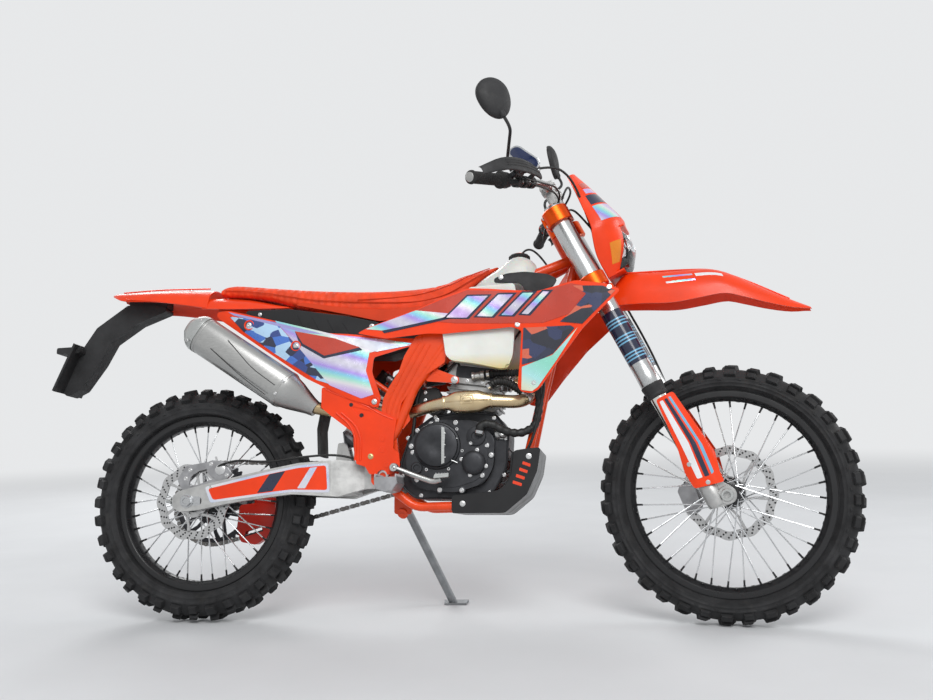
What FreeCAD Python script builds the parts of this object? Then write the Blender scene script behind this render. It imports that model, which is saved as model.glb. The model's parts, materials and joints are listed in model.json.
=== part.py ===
import FreeCAD, Part
import math
import os

Vector = FreeCAD.Vector
Rotation = FreeCAD.Rotation
Placement = FreeCAD.Placement

# Enduro motorcycle parked on its side stand, in millimetres.
# It is drawn upright first: x forward from the rear axle of the standard swingarm, y to the left,
# z up from the ground. The steered group is drawn straight ahead in the fork's own frame, with u
# forward at right angles to the steering axis and w up along it, from the middle of the head tube.
# At the end the steered group is turned, and the whole machine is leaned onto its stand.

# Stance
lean_angle = 8.1
steering_turn = 9.1

# Chassis geometry
pivot_x = 560.0
pivot_z = 400.0
swingarm_run = 560.0
axle_drop = 64.0
head_x = 1083.7
head_z = 1040.0
rake_angle = 26.5
fork_reach = 802.0
fork_lead = 54.0
clamp_offset = 22.0
fork_spacing = 206.0

# Running fits and seats
running_gap = 0.05
bearing_gap = 1.0
seat_gap = 0.3
moving_gap = 5.0

# Tyres
rear_tyre_radius = 336.0
rear_tyre_width = 120.0
rear_sidewall = 94.7
front_tyre_radius = 346.5
front_tyre_width = 90.0
front_sidewall = 79.8
rear_lug_height = 15.0
front_lug_height = 12.0
lug_pitches = 18

# Rims, hubs and spokes
rear_rim_width = 55.0
front_rim_width = 41.0
rim_depth = 19.0
rim_flange_height = 9.0
rim_flange_wall = 3.0
spoke_count = 36
spoke_radius = 1.9
rear_hub_width = 116.0
front_hub_width = 96.0
hub_flange_radius = 32.0
hub_barrel_radius = 22.0

# Axles
rear_axle_radius = 12.5
rear_axle_half_length = 124.0
front_axle_radius = 13.0
front_axle_bore_radius = 9.0

# Brakes
rear_disc_radius = 110.0
front_disc_radius = 130.0
disc_band_width = 26.0
disc_thickness = 3.0
rear_disc_y = -77.0
front_disc_y = 62.0
disc_bolt_circle = 38.0

# Chain drive
chain_pitch = 15.875
chain_line_y = 72.0
rear_sprocket_teeth = 48
front_sprocket_teeth = 13
sprocket_thickness = 6.0
sprocket_tip = 3.4
chain_plate_height = 15.0
chain_plate_thickness = 2.0
chain_inner_width = 8.4
countershaft_x = 632.0
countershaft_z = 412.0

# Fork
fork_outer_radius = 29.0
fork_inner_radius = 24.0
fork_top_w = 110.0
fork_outer_bottom_w = -458.0
fork_overlap = 60.0
stem_radius = 15.0
head_tube_radius = 31.0
head_tube_low_w = -114.0
head_tube_high_w = 57.0
top_clamp_height = 46.0
lower_clamp_height = 40.0
clamp_wall = 9.0

# Handlebar
bar_radius = 14.0
bar_end_radius = 11.0
bar_clamp_u = 36.0
bar_clamp_w = 185.0
bar_half_width = 400.0
bar_sweep = 140.0
bar_bend_y = 120.0
bar_rise = 12.0
grip_length = 125.0
grip_radius = 16.5

# Frame tubes
spar_radius = 14.0
down_tube_radius = 12.0
cradle_half_width = 100.0
spar_web_inset = 8.0
pivot_bolt_radius = 8.5

# Shock absorber
shock_top_x = 598.0
shock_top_z = 700.0
shock_foot_x = 420.0
shock_foot_z = 487.0
shock_pin_radius = 6.0

# Engine
case_left_y = 62.0

# Panels
panel_thickness = 3.0
seat_half_width = 74.0

# Lamp, in the fork's frame
lamp_low_w = -132.0
lamp_high_w = -22.0
lamp_half_width = 62.0

# Silencer
silencer_start = Vector(365, -140, 587)
silencer_length = 441.0
silencer_rise = 33.4
silencer_nose_shift = 32.0

# Side stand
stand_tube_radius = 12.0
stand_pivot_x = 578.0
stand_pivot_z = 318.0
stand_pivot_y = 118.0
stand_pivot_radius = 6.0
stand_knuckle_half = 12.0
stand_reach_x = 118.0
stand_reach_y = 104.0
stand_folded_spread = 0.14
stand_folded_rise = 0.12


def side_points(points, y=0.0):
    return [Vector(x, y, z) for x, z in points]


def bent_path(points, radius, closed=False):
    """Straight runs joined by tangent arcs; an arc takes at most 0.45 of its shorter run."""
    count = len(points)
    corners = range(count) if closed else range(1, count - 1)
    starts = {}
    ends = {}
    arcs = {}
    for i in corners:
        here = points[i]
        back = points[i - 1] - here
        ahead = points[(i + 1) % count] - here
        turn = math.pi - back.getAngle(ahead)
        if turn < 0.02:
            starts[i] = here
            ends[i] = here
            continue
        setback = min(radius * math.tan(turn / 2), 0.45 * min(back.Length, ahead.Length))
        back.normalize()
        ahead.normalize()
        bend = setback / math.tan(turn / 2)
        starts[i] = here + back * setback
        ends[i] = here + ahead * setback
        inward = back + ahead
        inward.normalize()
        depth = bend / math.cos(turn / 2) - bend
        arcs[i] = Part.Arc(starts[i], here + inward * depth, ends[i]).toShape()
    edges = []
    for i in range(count if closed else count - 1):
        after = (i + 1) % count
        if i in arcs:
            edges.append(arcs[i])
        first = ends.get(i, points[i])
        last = starts.get(after, points[after])
        if (last - first).Length > 0.01:
            edges.append(Part.LineSegment(first, last).toShape())
    return Part.Wire(edges)


def polygon(points):
    return Part.makePolygon(list(points) + [points[0]])


def plate(points, y_low, y_high, corner=0.0):
    """A side-view outline, given as (x, z) pairs, made solid from y_low to y_high."""
    corners = side_points(points, y_low)
    wire = bent_path(corners, corner, closed=True) if corner else polygon(corners)
    return Part.Face(wire).extrude(Vector(0, y_high - y_low, 0))


def plan_block(points, z_low, z_high):
    """A plan-view outline, given as (x, y) pairs, made solid from z_low to z_high."""
    corners = [Vector(x, y, z_low) for x, y in points]
    return Part.Face(polygon(corners)).extrude(Vector(0, 0, z_high - z_low))


def turned(profile, base, direction):
    """A lathe shape: profile is a closed list of (distance along the axis, radius)."""
    corners = [Vector(r, 0, a) for a, r in profile]
    solid = Part.Face(polygon(corners)).revolve(Vector(0, 0, 0), Vector(0, 0, 1), 360)
    solid.Placement = Placement(base, Rotation(Vector(0, 0, 1), direction))
    return solid


def rod(start, end, radius):
    return Part.makeCylinder(radius, (end - start).Length, start, end - start)


def tube(points, radius, bend):
    """A round bar along straight runs and tangent arcs."""
    path = bent_path(points, bend)
    ahead = points[1] - points[0]
    ring = Part.Wire(Part.makeCircle(radius, points[0], ahead))
    return path.makePipeShell([ring], True, False)


def prism_between(start, end, radius, sides=6):
    """A slim bar with flat sides, such as a spoke."""
    turn = Rotation(Vector(0, 0, 1), end - start)
    corners = []
    for k in range(sides):
        angle = 2 * math.pi * k / sides
        corners.append(turn.multVec(Vector(radius * math.cos(angle), radius * math.sin(angle), 0)) + start)
    return Part.Face(polygon(corners)).extrude(end - start)


def six_sided(low, high):
    """A block from four low and four high corners, each face flat."""
    faces = [low, high]
    for k in range(4):
        n = (k + 1) % 4
        faces.append([low[k], low[n], high[n], high[k]])
    return Part.makeSolid(Part.makeShell([Part.Face(polygon(face)) for face in faces]))


def loft(sections, ruled=False):
    return Part.makeLoft([polygon(section) for section in sections], True, ruled)


def mirrored(shape):
    return shape.mirror(Vector(0, 0, 0), Vector(0, 1, 0))


def pair(shape):
    """The shape and its mirror image, as separate solids."""
    return Part.makeCompound([shape, mirrored(shape)])


def fused(shapes):
    whole = shapes[0].multiFuse(shapes[1:])
    return whole.removeSplitter()


rear_axle = Vector(pivot_x - swingarm_run, 0, pivot_z - axle_drop)
rear_bead_radius = rear_tyre_radius - rear_sidewall
front_bead_radius = front_tyre_radius - front_sidewall
spar_half_width = cradle_half_width + 3
left = Vector(0, 1, 0)
up = Vector(0, 0, 1)
forward = Vector(1, 0, 0)
leg_y = fork_spacing / 2
axle_u = fork_lead
axle_w = -fork_reach
bracket_face = cradle_half_width + 17
stand_pivot = Vector(stand_pivot_x, stand_pivot_y, stand_pivot_z)
stand_folded_run = Vector(-1, stand_folded_spread, stand_folded_rise)
guard_face = spar_half_width + spar_radius + seat_gap + 4


# Wheels, drawn about their own axle, which runs along y

def ring_point(radius, y, angle):
    return Vector(radius * math.cos(angle), y, radius * math.sin(angle))


def facet_ring(profile, sides):
    """A closed (y, radius) outline carried round the axle in flat facets."""
    faces = []
    step = 2 * math.pi / sides
    for k in range(sides):
        low = (k - 0.5) * step
        high = (k + 0.5) * step
        for i, (y, radius) in enumerate(profile):
            back_y, back_radius = profile[i - 1]
            faces.append(Part.Face(polygon([
                ring_point(back_radius, back_y, low), ring_point(back_radius, back_y, high),
                ring_point(radius, y, high), ring_point(radius, y, low),
            ])))
    shell = Part.makeShell(faces)
    shell.sewShape()
    return Part.makeSolid(shell)


def lug(ring_radius, crown_radius, height, low, high, angle, half_turn):
    """One tread block between two crown angles, in radians, centred on a wheel angle."""
    def corners(reach):
        near = (ring_radius + reach * math.cos(low), reach * math.sin(low))
        far = (ring_radius + reach * math.cos(high), reach * math.sin(high))
        return [
            ring_point(near[0], near[1], angle - half_turn),
            ring_point(near[0], near[1], angle + half_turn),
            ring_point(far[0], far[1], angle + half_turn),
            ring_point(far[0], far[1], angle - half_turn),
        ]
    return six_sided(corners(crown_radius - height - 6), corners(crown_radius))


def tyre(radius, width, bead_radius, rim_width, lug_height):
    """A carcass with two flat facets to a tread pitch: centre blocks on one, shoulder blocks on the next."""
    crown_radius = width / 2
    ring_radius = radius - crown_radius
    carcass = crown_radius - lug_height
    bead_half = rim_width / 2 - rim_flange_wall - seat_gap
    flat = math.cos(math.pi / (2 * lug_pitches))
    bead = (bead_radius + seat_gap) / flat
    lip = (bead_radius + rim_flange_height + 2) / flat
    half = [(bead_half, bead), (bead_half, lip)]
    for degrees in (110, 74, 32):
        angle = math.radians(degrees)
        half.append((carcass * math.sin(angle), ring_radius + carcass * math.cos(angle)))
    profile = half + [(-y, r) for y, r in reversed(half)]
    body = facet_ring(profile, 2 * lug_pitches)
    lugs = []
    step = 2 * math.pi / lug_pitches
    for k in range(lug_pitches):
        angle = k * step
        for side in (-1, 1):
            centre = sorted((side * math.radians(5), side * math.radians(28)))
            shoulder = sorted((side * math.radians(40), side * math.radians(66)))
            lugs.append(lug(ring_radius, crown_radius, lug_height, centre[0], centre[1], angle, 0.19 * step))
            lugs.append(lug(ring_radius, crown_radius, lug_height, shoulder[0], shoulder[1],
                            angle + step / 2, 0.19 * step))
    return body.multiFuse(lugs)


def rim(bead_radius, rim_width):
    half = rim_width / 2
    well = half - 12
    wall = rim_flange_wall
    outer = [
        (half, bead_radius + rim_flange_height),
        (half - wall, bead_radius + rim_flange_height),
        (half - wall, bead_radius),
    ]
    inner = [(well, bead_radius - rim_depth), (half, bead_radius - 8)]
    profile = outer + [(-y, r) for y, r in reversed(outer)]
    profile += [(-y, r) for y, r in reversed(inner)] + inner
    return turned(profile, Vector(0, 0, 0), left)


def spoked_hub(hub_width, bead_radius, bore_radius, seats):
    """Hub with crossed spokes that end just short of the rim well; seats are (y, radius) faces for discs."""
    half = hub_width / 2
    flange = half - 14
    profile = [
        (-half, bore_radius), (-half, hub_barrel_radius), (-flange - 5, hub_barrel_radius),
        (-flange - 5, hub_flange_radius), (-flange + 3, hub_flange_radius),
        (-flange + 8, hub_barrel_radius), (flange - 8, hub_barrel_radius),
        (flange - 3, hub_flange_radius), (flange + 5, hub_flange_radius),
        (flange + 5, hub_barrel_radius), (half, hub_barrel_radius), (half, bore_radius),
    ]
    pieces = [turned(profile, Vector(0, 0, 0), left)]
    for seat, reach in seats:
        side = math.copysign(1, seat)
        carrier = [(flange, bore_radius + 6), (flange, reach), (abs(seat), reach), (abs(seat), bore_radius + 6)]
        pieces.append(turned([(side * a, r) for a, r in carrier], Vector(0, 0, 0), left))
    tip = bead_radius - rim_depth - seat_gap - spoke_radius / 2
    sweep = math.radians(62)
    for k in range(spoke_count):
        side = 1 if k % 2 else -1
        inside = (k // 2) % 2
        lay = 1 if inside else -1
        angle = 2 * math.pi * k / spoke_count
        start_y = side * (flange - 2.5 if inside else flange + 4)
        start = ring_point(hub_flange_radius - 3, start_y, angle - lay * sweep)
        end = ring_point(tip, side * 5, angle)
        pieces.append(prism_between(start, end, spoke_radius, 4))
    return fused(pieces)


def wave_disc(radius, y):
    """Brake disc: a scalloped band on six arms round a bolted ring."""
    low = y - disc_thickness / 2
    band_inner = radius - disc_band_width

    def washer(outer, inner):
        return turned([(0, inner), (disc_thickness, inner), (disc_thickness, outer), (0, outer)],
                      Vector(0, low, 0), left)

    band = washer(radius, band_inner)
    scallops = []
    for k in range(12):
        centre = ring_point(radius + 16, low - 1, 2 * math.pi * k / 12)
        scallops.append(Part.makeCylinder(20, disc_thickness + 2, centre, left))
    band = band.cut(Part.makeCompound(scallops))
    ring = washer(disc_bolt_circle + 7, hub_barrel_radius + 3)
    arms = []
    for k in range(6):
        angle = 2 * math.pi * k / 6
        lead = angle + math.radians(24)
        inner_near = ring_point(disc_bolt_circle + 3, low, angle - 0.16)
        inner_far = ring_point(disc_bolt_circle + 3, low, angle + 0.16)
        outer_near = ring_point(band_inner + 5, low, lead - 0.09)
        outer_far = ring_point(band_inner + 5, low, lead + 0.09)
        face = Part.Face(polygon([inner_near, inner_far, outer_far, outer_near]))
        arms.append(face.extrude(Vector(0, disc_thickness, 0)))
    holes = []
    for k in range(6):
        centre = ring_point(disc_bolt_circle, low - 1, 2 * math.pi * k / 6)
        holes.append(Part.makeCylinder(3.2, disc_thickness + 2, centre, left))
    return fused([band, ring] + arms).cut(Part.makeCompound(holes))


def sprocket(teeth, centre, bore_radius, window_count):
    pitch_radius = chain_pitch / (2 * math.sin(math.pi / teeth))
    low = centre.y - sprocket_thickness / 2
    root = pitch_radius - 4.6
    tip = pitch_radius + sprocket_tip
    corners = []
    for k in range(teeth):
        step = 2 * math.pi / teeth
        for share, radius in ((-0.34, root), (-0.14, tip), (0.14, tip), (0.34, root)):
            corners.append(ring_point(radius, 0, (k + share) * step) + Vector(centre.x, low, centre.z))
    body = Part.Face(polygon(corners)).extrude(Vector(0, sprocket_thickness, 0))
    cuts = [Part.makeCylinder(bore_radius, sprocket_thickness + 2, Vector(centre.x, low - 1, centre.z), left)]
    window = (root + bore_radius) / 2
    for k in range(window_count):
        spot = ring_point(window, 0, 2 * math.pi * k / window_count) + Vector(centre.x, low - 1, centre.z)
        cuts.append(Part.makeCylinder(0.3 * (root - bore_radius), sprocket_thickness + 2, spot, left))
    return body.cut(Part.makeCompound(cuts))


# Chain, a fixed loop of two rows of side plates with rollers on its straight runs

def chain_tangents(extra):
    """Ends of the upper and lower runs of a loop that lies `extra` outside the pitch line."""
    rear = rear_axle
    front = Vector(countershaft_x, 0, countershaft_z)
    r_rear = chain_pitch / (2 * math.sin(math.pi / rear_sprocket_teeth)) + extra
    r_front = chain_pitch / (2 * math.sin(math.pi / front_sprocket_teeth)) + extra
    span = front - rear
    base = math.atan2(span.z, span.x)
    spread = math.acos((r_rear - r_front) / span.Length)
    upper = base + spread
    lower = base - spread
    return {
        "upper": (rear + ring_point(r_rear, 0, upper), front + ring_point(r_front, 0, upper)),
        "lower": (rear + ring_point(r_rear, 0, lower), front + ring_point(r_front, 0, lower)),
        "rear_end": rear + ring_point(r_rear, 0, base + math.pi),
        "front_end": front + ring_point(r_front, 0, base),
    }


def chain_loop(extra, y_low, y_high):
    ends = chain_tangents(extra)
    shift = Vector(0, y_low, 0)
    upper = ends["upper"]
    lower = ends["lower"]
    edges = [
        Part.LineSegment(upper[0] + shift, upper[1] + shift).toShape(),
        Part.Arc(upper[1] + shift, ends["front_end"] + shift, lower[1] + shift).toShape(),
        Part.LineSegment(lower[1] + shift, lower[0] + shift).toShape(),
        Part.Arc(lower[0] + shift, ends["rear_end"] + shift, upper[0] + shift).toShape(),
    ]
    return Part.Face(Part.Wire(edges)).extrude(Vector(0, y_high - y_low, 0))


def drive_chain():
    half = chain_plate_height / 2
    rows = []
    for side in (-1, 1):
        inner = chain_line_y + side * chain_inner_width / 2
        outer = inner + side * chain_plate_thickness
        low, high = sorted((inner, outer))
        rows.append(chain_loop(half, low, high).cut(chain_loop(-half, low - 1, high + 1)))
    ends = chain_tangents(0)
    rollers = []
    reach = chain_inner_width / 2 + chain_plate_thickness / 2
    for run in ("upper", "lower"):
        start, end = ends[run]
        ahead = end - start
        count = int(ahead.Length / (3 * chain_pitch)) - 2
        ahead.normalize()
        for k in range(count):
            spot = start + ahead * (chain_pitch * (3 * k + 4))
            low = Vector(spot.x, chain_line_y - reach, spot.z)
            high = Vector(spot.x, chain_line_y + reach, spot.z)
            rollers.append(prism_between(low, high, 4.0, 4))
    loop = fused(rows + rollers)
    centre = Vector(countershaft_x, chain_line_y, countershaft_z)
    return Part.makeCompound([loop, sprocket(front_sprocket_teeth, centre, 11.0, 0)])


# Frame, swingarm and what hangs on them

straight_fork = Placement(Vector(head_x, 0, head_z), Rotation(left, -rake_angle))


def head_point(w, u=0.0, y=0.0):
    """A point of the fork's frame, straight ahead, in the upright machine's coordinates."""
    return straight_fork.multVec(Vector(u, y, w))


def spar_route():
    start = head_point(-30)
    return [
        Vector(start.x - 8, 20, start.z),
        Vector(start.x - 160, 62, start.z - 66),
        Vector(770, spar_half_width, 812),
        Vector(644, spar_half_width, 640),
        Vector(594, spar_half_width, 520),
        Vector(pivot_x + 6, cradle_half_width, pivot_z + 84),
    ]


def down_tube_route():
    start = head_point(-45, -12)
    return [
        Vector(start.x, 18, start.z),
        Vector(1000, 36, 640),
        Vector(958, 62, 462),
        Vector(905, cradle_half_width, 352),
        Vector(850, cradle_half_width, 318),
        Vector(650, cradle_half_width, 314),
        Vector(602, cradle_half_width, 350),
        Vector(pivot_x + 16, cradle_half_width, pivot_z - 26),
    ]


def frame_tubes(extra=0.0):
    """Both sides' spars, down tubes and cradle, with a set extra radius for clearances."""
    spar = tube(spar_route(), spar_radius + extra, 90)
    cradle = tube(down_tube_route(), down_tube_radius + extra, 70)
    return [spar, cradle, mirrored(spar), mirrored(cradle)]


def frame():
    head_axis = head_point(1) - head_point(0)
    head_tube = rod(head_point(head_tube_low_w), head_point(head_tube_high_w), head_tube_radius)
    bore = rod(head_point(head_tube_low_w - 5), head_point(head_tube_high_w + 5), stem_radius + running_gap)
    plate_low = cradle_half_width - 7
    plate_high = cradle_half_width + 5
    outline = [
        (pivot_x - 34, pivot_z - 22), (pivot_x - 34, pivot_z + 90), (pivot_x - 10, pivot_z + 130),
        (pivot_x + 34, pivot_z + 128), (pivot_x + 44, pivot_z + 40), (pivot_x + 40, pivot_z - 30),
        (pivot_x + 12, pivot_z - 42),
    ]
    pivot_plate = plate(outline, plate_low, plate_high, 16)
    gusset = plate([(1020, 900), (1084, 1000), (1104, 980), (1098, 951), (1062, 850)], -14, 14, 12)
    web = plate([
        (552, 500), (556, 588), (560, 612), (578, 648), (603, 687), (618, 730), (650, 784), (700, 806),
        (748, 790), (742, 752), (732, 708), (682, 677), (647, 648), (632, 626), (611, 598), (601, 550),
        (592, 503),
    ], spar_half_width - spar_web_inset, spar_half_width + 12, 8)
    mount = plate([(588, 512), (600, 606), (610, 610), (623, 596), (634, 552), (616, 530)],
                  spar_half_width - 7, spar_half_width - 1, 6)
    head_stay = plate([(672, 660), (706, 694), (770, 668), (770, 652)], spar_half_width - 8, spar_half_width - 2, 5)
    stay_bolt = rod(Vector(758, 66.4 + seat_gap, 661), Vector(758, spar_half_width - 4, 661), 7)
    shock_tube = rod(Vector(662, -spar_half_width, 664), Vector(662, spar_half_width, 664), 11)
    shock_lug = plate([(592, 690), (586, 708), (604, 716), (676, 676), (666, 652)], 13, 19, 6)
    shock_pin = rod(Vector(shock_top_x, -19, shock_top_z), Vector(shock_top_x, 19, shock_top_z), shock_pin_radius)
    brace_high = rod(Vector(796, -spar_half_width + 4, 834), Vector(796, spar_half_width - 4, 834), 10)
    brace_low = rod(Vector(870, -cradle_half_width, 326), Vector(870, cradle_half_width, 326), 10)
    step_bracket = plate([(566, 392), (596, 404), (618, 372), (592, 356)], plate_high - 1, bracket_face, 6)
    pivot_bolt = rod(Vector(pivot_x, -plate_high - 5, pivot_z), Vector(pivot_x, plate_high + 5, pivot_z),
                     pivot_bolt_radius)
    stand_lug = plate([(548, 300), (548, 366), (600, 366), (600, 300)], plate_low - 6, plate_low + 3, 8)
    shapes = [head_tube] + frame_tubes()
    shapes += [pivot_plate, mirrored(pivot_plate), gusset, shock_tube, brace_high, brace_low]
    for side_piece in (web, mount, head_stay, stay_bolt):
        shapes += [side_piece, mirrored(side_piece)]
    shapes += [shock_lug, mirrored(shock_lug), shock_pin]
    shapes += [step_bracket, mirrored(step_bracket), pivot_bolt, stand_lug]
    hinge = stand_hinge()
    stand_boss = rod(stand_pivot - hinge * 34, stand_pivot - hinge * (stand_knuckle_half + seat_gap), 16)
    stand_pin = rod(stand_pivot - hinge * 20, stand_pivot + hinge * (stand_knuckle_half + 4), stand_pivot_radius)
    return fused(shapes + [stand_boss, stand_pin]).cut(bore)


def frame_guards():
    outline = [
        (384, 650), (407, 641), (523, 595), (552, 577), (600, 556), (592, 503), (591, 471), (607, 461),
        (610, 429), (608, 409), (600, 402), (545, 402), (525, 404), (513, 424), (488, 432), (480, 470),
        (478, 518), (413, 566), (384, 590),
    ]
    low = guard_face - 4
    recess = plate([(467, 594), (535, 575), (495, 558)], guard_face - 2, guard_face + 1, 4)
    guard = plate(outline, low, guard_face, 6).cut(recess)
    inward = plate([(526, 440), (526, 486), (540, 486), (546, 430)], cradle_half_width + 5 + seat_gap, low + 2, 4)
    bolt_space = rod(Vector(pivot_x, 0, pivot_z), Vector(pivot_x, 200, pivot_z), pivot_bolt_radius + 6)
    return pair(guard.fuse(inward).cut(bolt_space))


def swingarm():
    ax = rear_axle.x
    outline = [
        (ax - 40, 318), (ax - 40, 352), (ax - 25, 364), (ax + 60, 384), (ax + 200, 414),
        (pivot_x - 240, 438), (pivot_x - 130, 446), (pivot_x + 8, pivot_z + 34), (pivot_x + 30, pivot_z + 12),
        (pivot_x + 30, pivot_z - 16), (pivot_x + 4, pivot_z - 32), (pivot_x - 60, pivot_z - 34),
        (pivot_x - 130, 345), (pivot_x - 260, 352), (ax + 130, 330), (ax + 40, 312), (ax - 20, 306),
    ]
    band = [
        (ax - 60, 95), (ax - 60, 121), (ax + 240, 121), (pivot_x - 150, cradle_half_width),
        (pivot_x - 60, cradle_half_width - 24), (pivot_x + 40, cradle_half_width - 24), (pivot_x + 40, 52),
        (pivot_x - 120, 56), (ax + 250, 95),
    ]
    beam = plate(outline, 40, 130, 14).common(plan_block(band, 250, 500))
    bridge = plate([(pivot_x - 166, 352), (pivot_x - 166, 430), (pivot_x - 96, 436), (pivot_x - 96, 352)],
                   -62, 62, 10)
    axle_slot = plate([(ax - 14, rear_axle.z - rear_axle_radius - seat_gap),
                       (ax - 14, rear_axle.z + rear_axle_radius + seat_gap),
                       (ax + 44, rear_axle.z + rear_axle_radius + seat_gap),
                       (ax + 44, rear_axle.z - rear_axle_radius - seat_gap)], 80, 140, 12)
    bolt_hole = rod(Vector(pivot_x, -200, pivot_z), Vector(pivot_x, 200, pivot_z), pivot_bolt_radius + seat_gap)
    chain_room = chain_loop(16, chain_line_y - 13, chain_line_y + 13).cut(
        chain_loop(-16, chain_line_y - 14, chain_line_y + 14))
    lug = plate([(398, 428), (406, 500), (424, 500), (434, 490), (452, 428)], 16, 22, 6)
    pin = rod(Vector(shock_foot_x, -22, shock_foot_z), Vector(shock_foot_x, 22, shock_foot_z), shock_pin_radius)
    beams = fused([beam, mirrored(beam), bridge, lug, mirrored(lug), pin])
    return beams.cut(Part.makeCompound([axle_slot, mirrored(axle_slot), bolt_hole, chain_room]))


def shock_absorber():
    top = Vector(shock_top_x, 0, shock_top_z)
    foot = Vector(shock_foot_x, 0, shock_foot_z)
    ahead = foot - top
    length = ahead.Length
    ahead.normalize()
    body = turned([(14, 0), (14, 20), (60, 20), (60, 24), (110, 24), (110, 9), (length - 20, 9), (length - 20, 0)],
                  top, ahead)
    tank = rod(top + ahead * 34 + Vector(-34, 0, 30), top + ahead * 124 + Vector(-34, 0, 30), 17)
    neck = rod(top + ahead * 40, top + ahead * 44 + Vector(-34, 0, 30), 12)
    eye = rod(foot + Vector(0, -15, 0), foot + Vector(0, 15, 0), 15)
    low_collar = turned([(length - 44, 0), (length - 44, 34), (length - 30, 34), (length - 10, 12), (length - 10, 0)],
                        top, ahead)
    top_collar = turned([(62, 20), (62, 34), (72, 34), (72, 20)], top, ahead)
    head_eye = rod(top - left * 12, top + left * 12, 15)
    damper = fused([body, tank, neck, eye, low_collar, top_collar, head_eye])
    bores = [rod(end - left * 40, end + left * 40, shock_pin_radius + seat_gap) for end in (top, foot)]
    damper = damper.cut(Part.makeCompound(bores))
    coils = 7
    low_end = 72 + seat_gap
    high_end = length - 44 - seat_gap
    step = (high_end - low_end) / (2 * coils)
    waves = []
    for k in range(coils):
        waves.append((low_end + 2 * k * step, 31))
        waves.append((low_end + (2 * k + 1) * step, 37))
    waves.append((high_end, 31))
    spring = turned([(low_end, 27)] + waves + [(high_end, 27)], top, ahead)
    return Part.makeCompound([damper, spring])


def subframe_bars(extra=0.0):
    """The upper rails and the cross tube below the seat, with a set extra radius for clearances."""
    rail = tube([Vector(742, 58, 836), Vector(500, 52, 862), Vector(200, 52, 884), Vector(40, 44, 900)],
                9 + extra, 60)
    return [rail, mirrored(rail), rod(Vector(500, -52, 862), Vector(500, 52, 862), 8 + extra)]


def subframe():
    strut = tube([Vector(560, 56, 640), Vector(330, 60, 800), Vector(210, 52, 884)], 8, 60)
    foot = rod(Vector(560, 56, 640), Vector(604, 90, 612), 8)
    crosses = [rod(Vector(x, -52, z), Vector(x, 52, z), 8) for x, z in ((200, 884), (60, 897))]
    joint = rod(Vector(742, 58, 836), Vector(770, 92, 812), 9)
    side = [strut, foot, joint]
    for x, z in ((200, 884), (60, 897)):
        side.append(rod(Vector(x, 30, z), Vector(x, 30, z + 16), 7))
        side.append(under_fender(fender_tongue, rod(Vector(x, 30, z + 10), Vector(x, 30, z + 80), 7)))
    whole = fused(subframe_bars() + side + [mirrored(shape) for shape in side] + crosses)
    tubes = frame_tubes(seat_gap)
    web_face = spar_half_width - spar_web_inset - seat_gap
    beyond_web = plate([(480, 500), (480, 830), (760, 830), (760, 500)], web_face, 200)
    return whole.cut(Part.makeCompound([tubes[0], tubes[2], beyond_web, mirrored(beyond_web)]))


def airbox():
    outline = [(236, 800), (230, 868), (520, 846), (640, 838), (640, 770), (560, 745), (400, 752)]
    box = plate(outline, -42, 42, 16)
    boot = rod(Vector(630, 0, 770), Vector(700, 0, 742), 27)
    cover = plate([(140, 876), (150, 883), (272, 883), (448, 855), (540, 833), (556, 772), (460, 778),
                   (340, 796), (210, 846)], 92, 97, 8)
    bridge = plate([(410, 776), (410, 836), (500, 830), (500, 768)], 40, 94, 8)
    saddle = plate([(420, 826), (420, 863), (490, 858), (490, 820)], 40, 58)
    sides = [cover, bridge, saddle]
    whole = fused([box, boot] + sides + [mirrored(shape) for shape in sides])
    return whole.cut(Part.makeCompound(subframe_bars(seat_gap)))


# Engine

def engine_cases():
    outline = [
        (600, 372), (600, 440), (628, 520), (690, 566), (780, 580), (874, 568), (908, 520), (902, 420),
        (866, 352), (760, 334), (640, 336),
    ]
    core = plate(outline, -74, case_left_y, 22)
    rear_lug = plate([(540, 388), (540, 412), (556, 422), (640, 440), (640, 372), (556, 378)], -46, 46, 10)
    bolt_hole = rod(Vector(pivot_x, -100, pivot_z), Vector(pivot_x, 100, pivot_z), pivot_bolt_radius + seat_gap)
    clutch = turned([(0, 0), (0, 66), (30, 62), (38, 54), (38, 0)], Vector(709, -73, 480), -left)
    side_block = plate([(640, 402), (650, 520), (700, 560), (846, 540), (862, 452), (800, 396)], -98, -73, 20)
    pump = turned([(0, 0), (0, 33), (14, 29), (14, 0)], Vector(810, -97, 432), -left)
    filter_cap = turned([(0, 0), (0, 27), (12, 25), (12, 0)], Vector(817, -97, 504), -left)
    small_cap = turned([(0, 0), (0, 16), (10, 14), (10, 0)], Vector(653, -97, 420), -left)
    ignition = turned([(0, 0), (0, 70), (27, 66), (35, 56), (35, 0)], Vector(800, 61, 452), left)
    fins = []
    for k in range(6):
        angle = 2 * math.pi * k / 6
        spot = Vector(709 + 50 * math.cos(angle), -100, 480 + 50 * math.sin(angle))
        fins.append(Part.makeCylinder(5, 12, spot, -left))
    cases = fused([core, rear_lug, clutch, side_block, pump, filter_cap, small_cap, ignition] + fins)
    shaft = rod(Vector(countershaft_x, 60, countershaft_z), Vector(countershaft_x, 96, countershaft_z), 10.7)
    sprocket_room = Part.makeCylinder(48, 60, Vector(countershaft_x, 62, countershaft_z), left)
    return fused([cases.cut(Part.makeCompound([sprocket_room, bolt_hole])), shaft])


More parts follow.
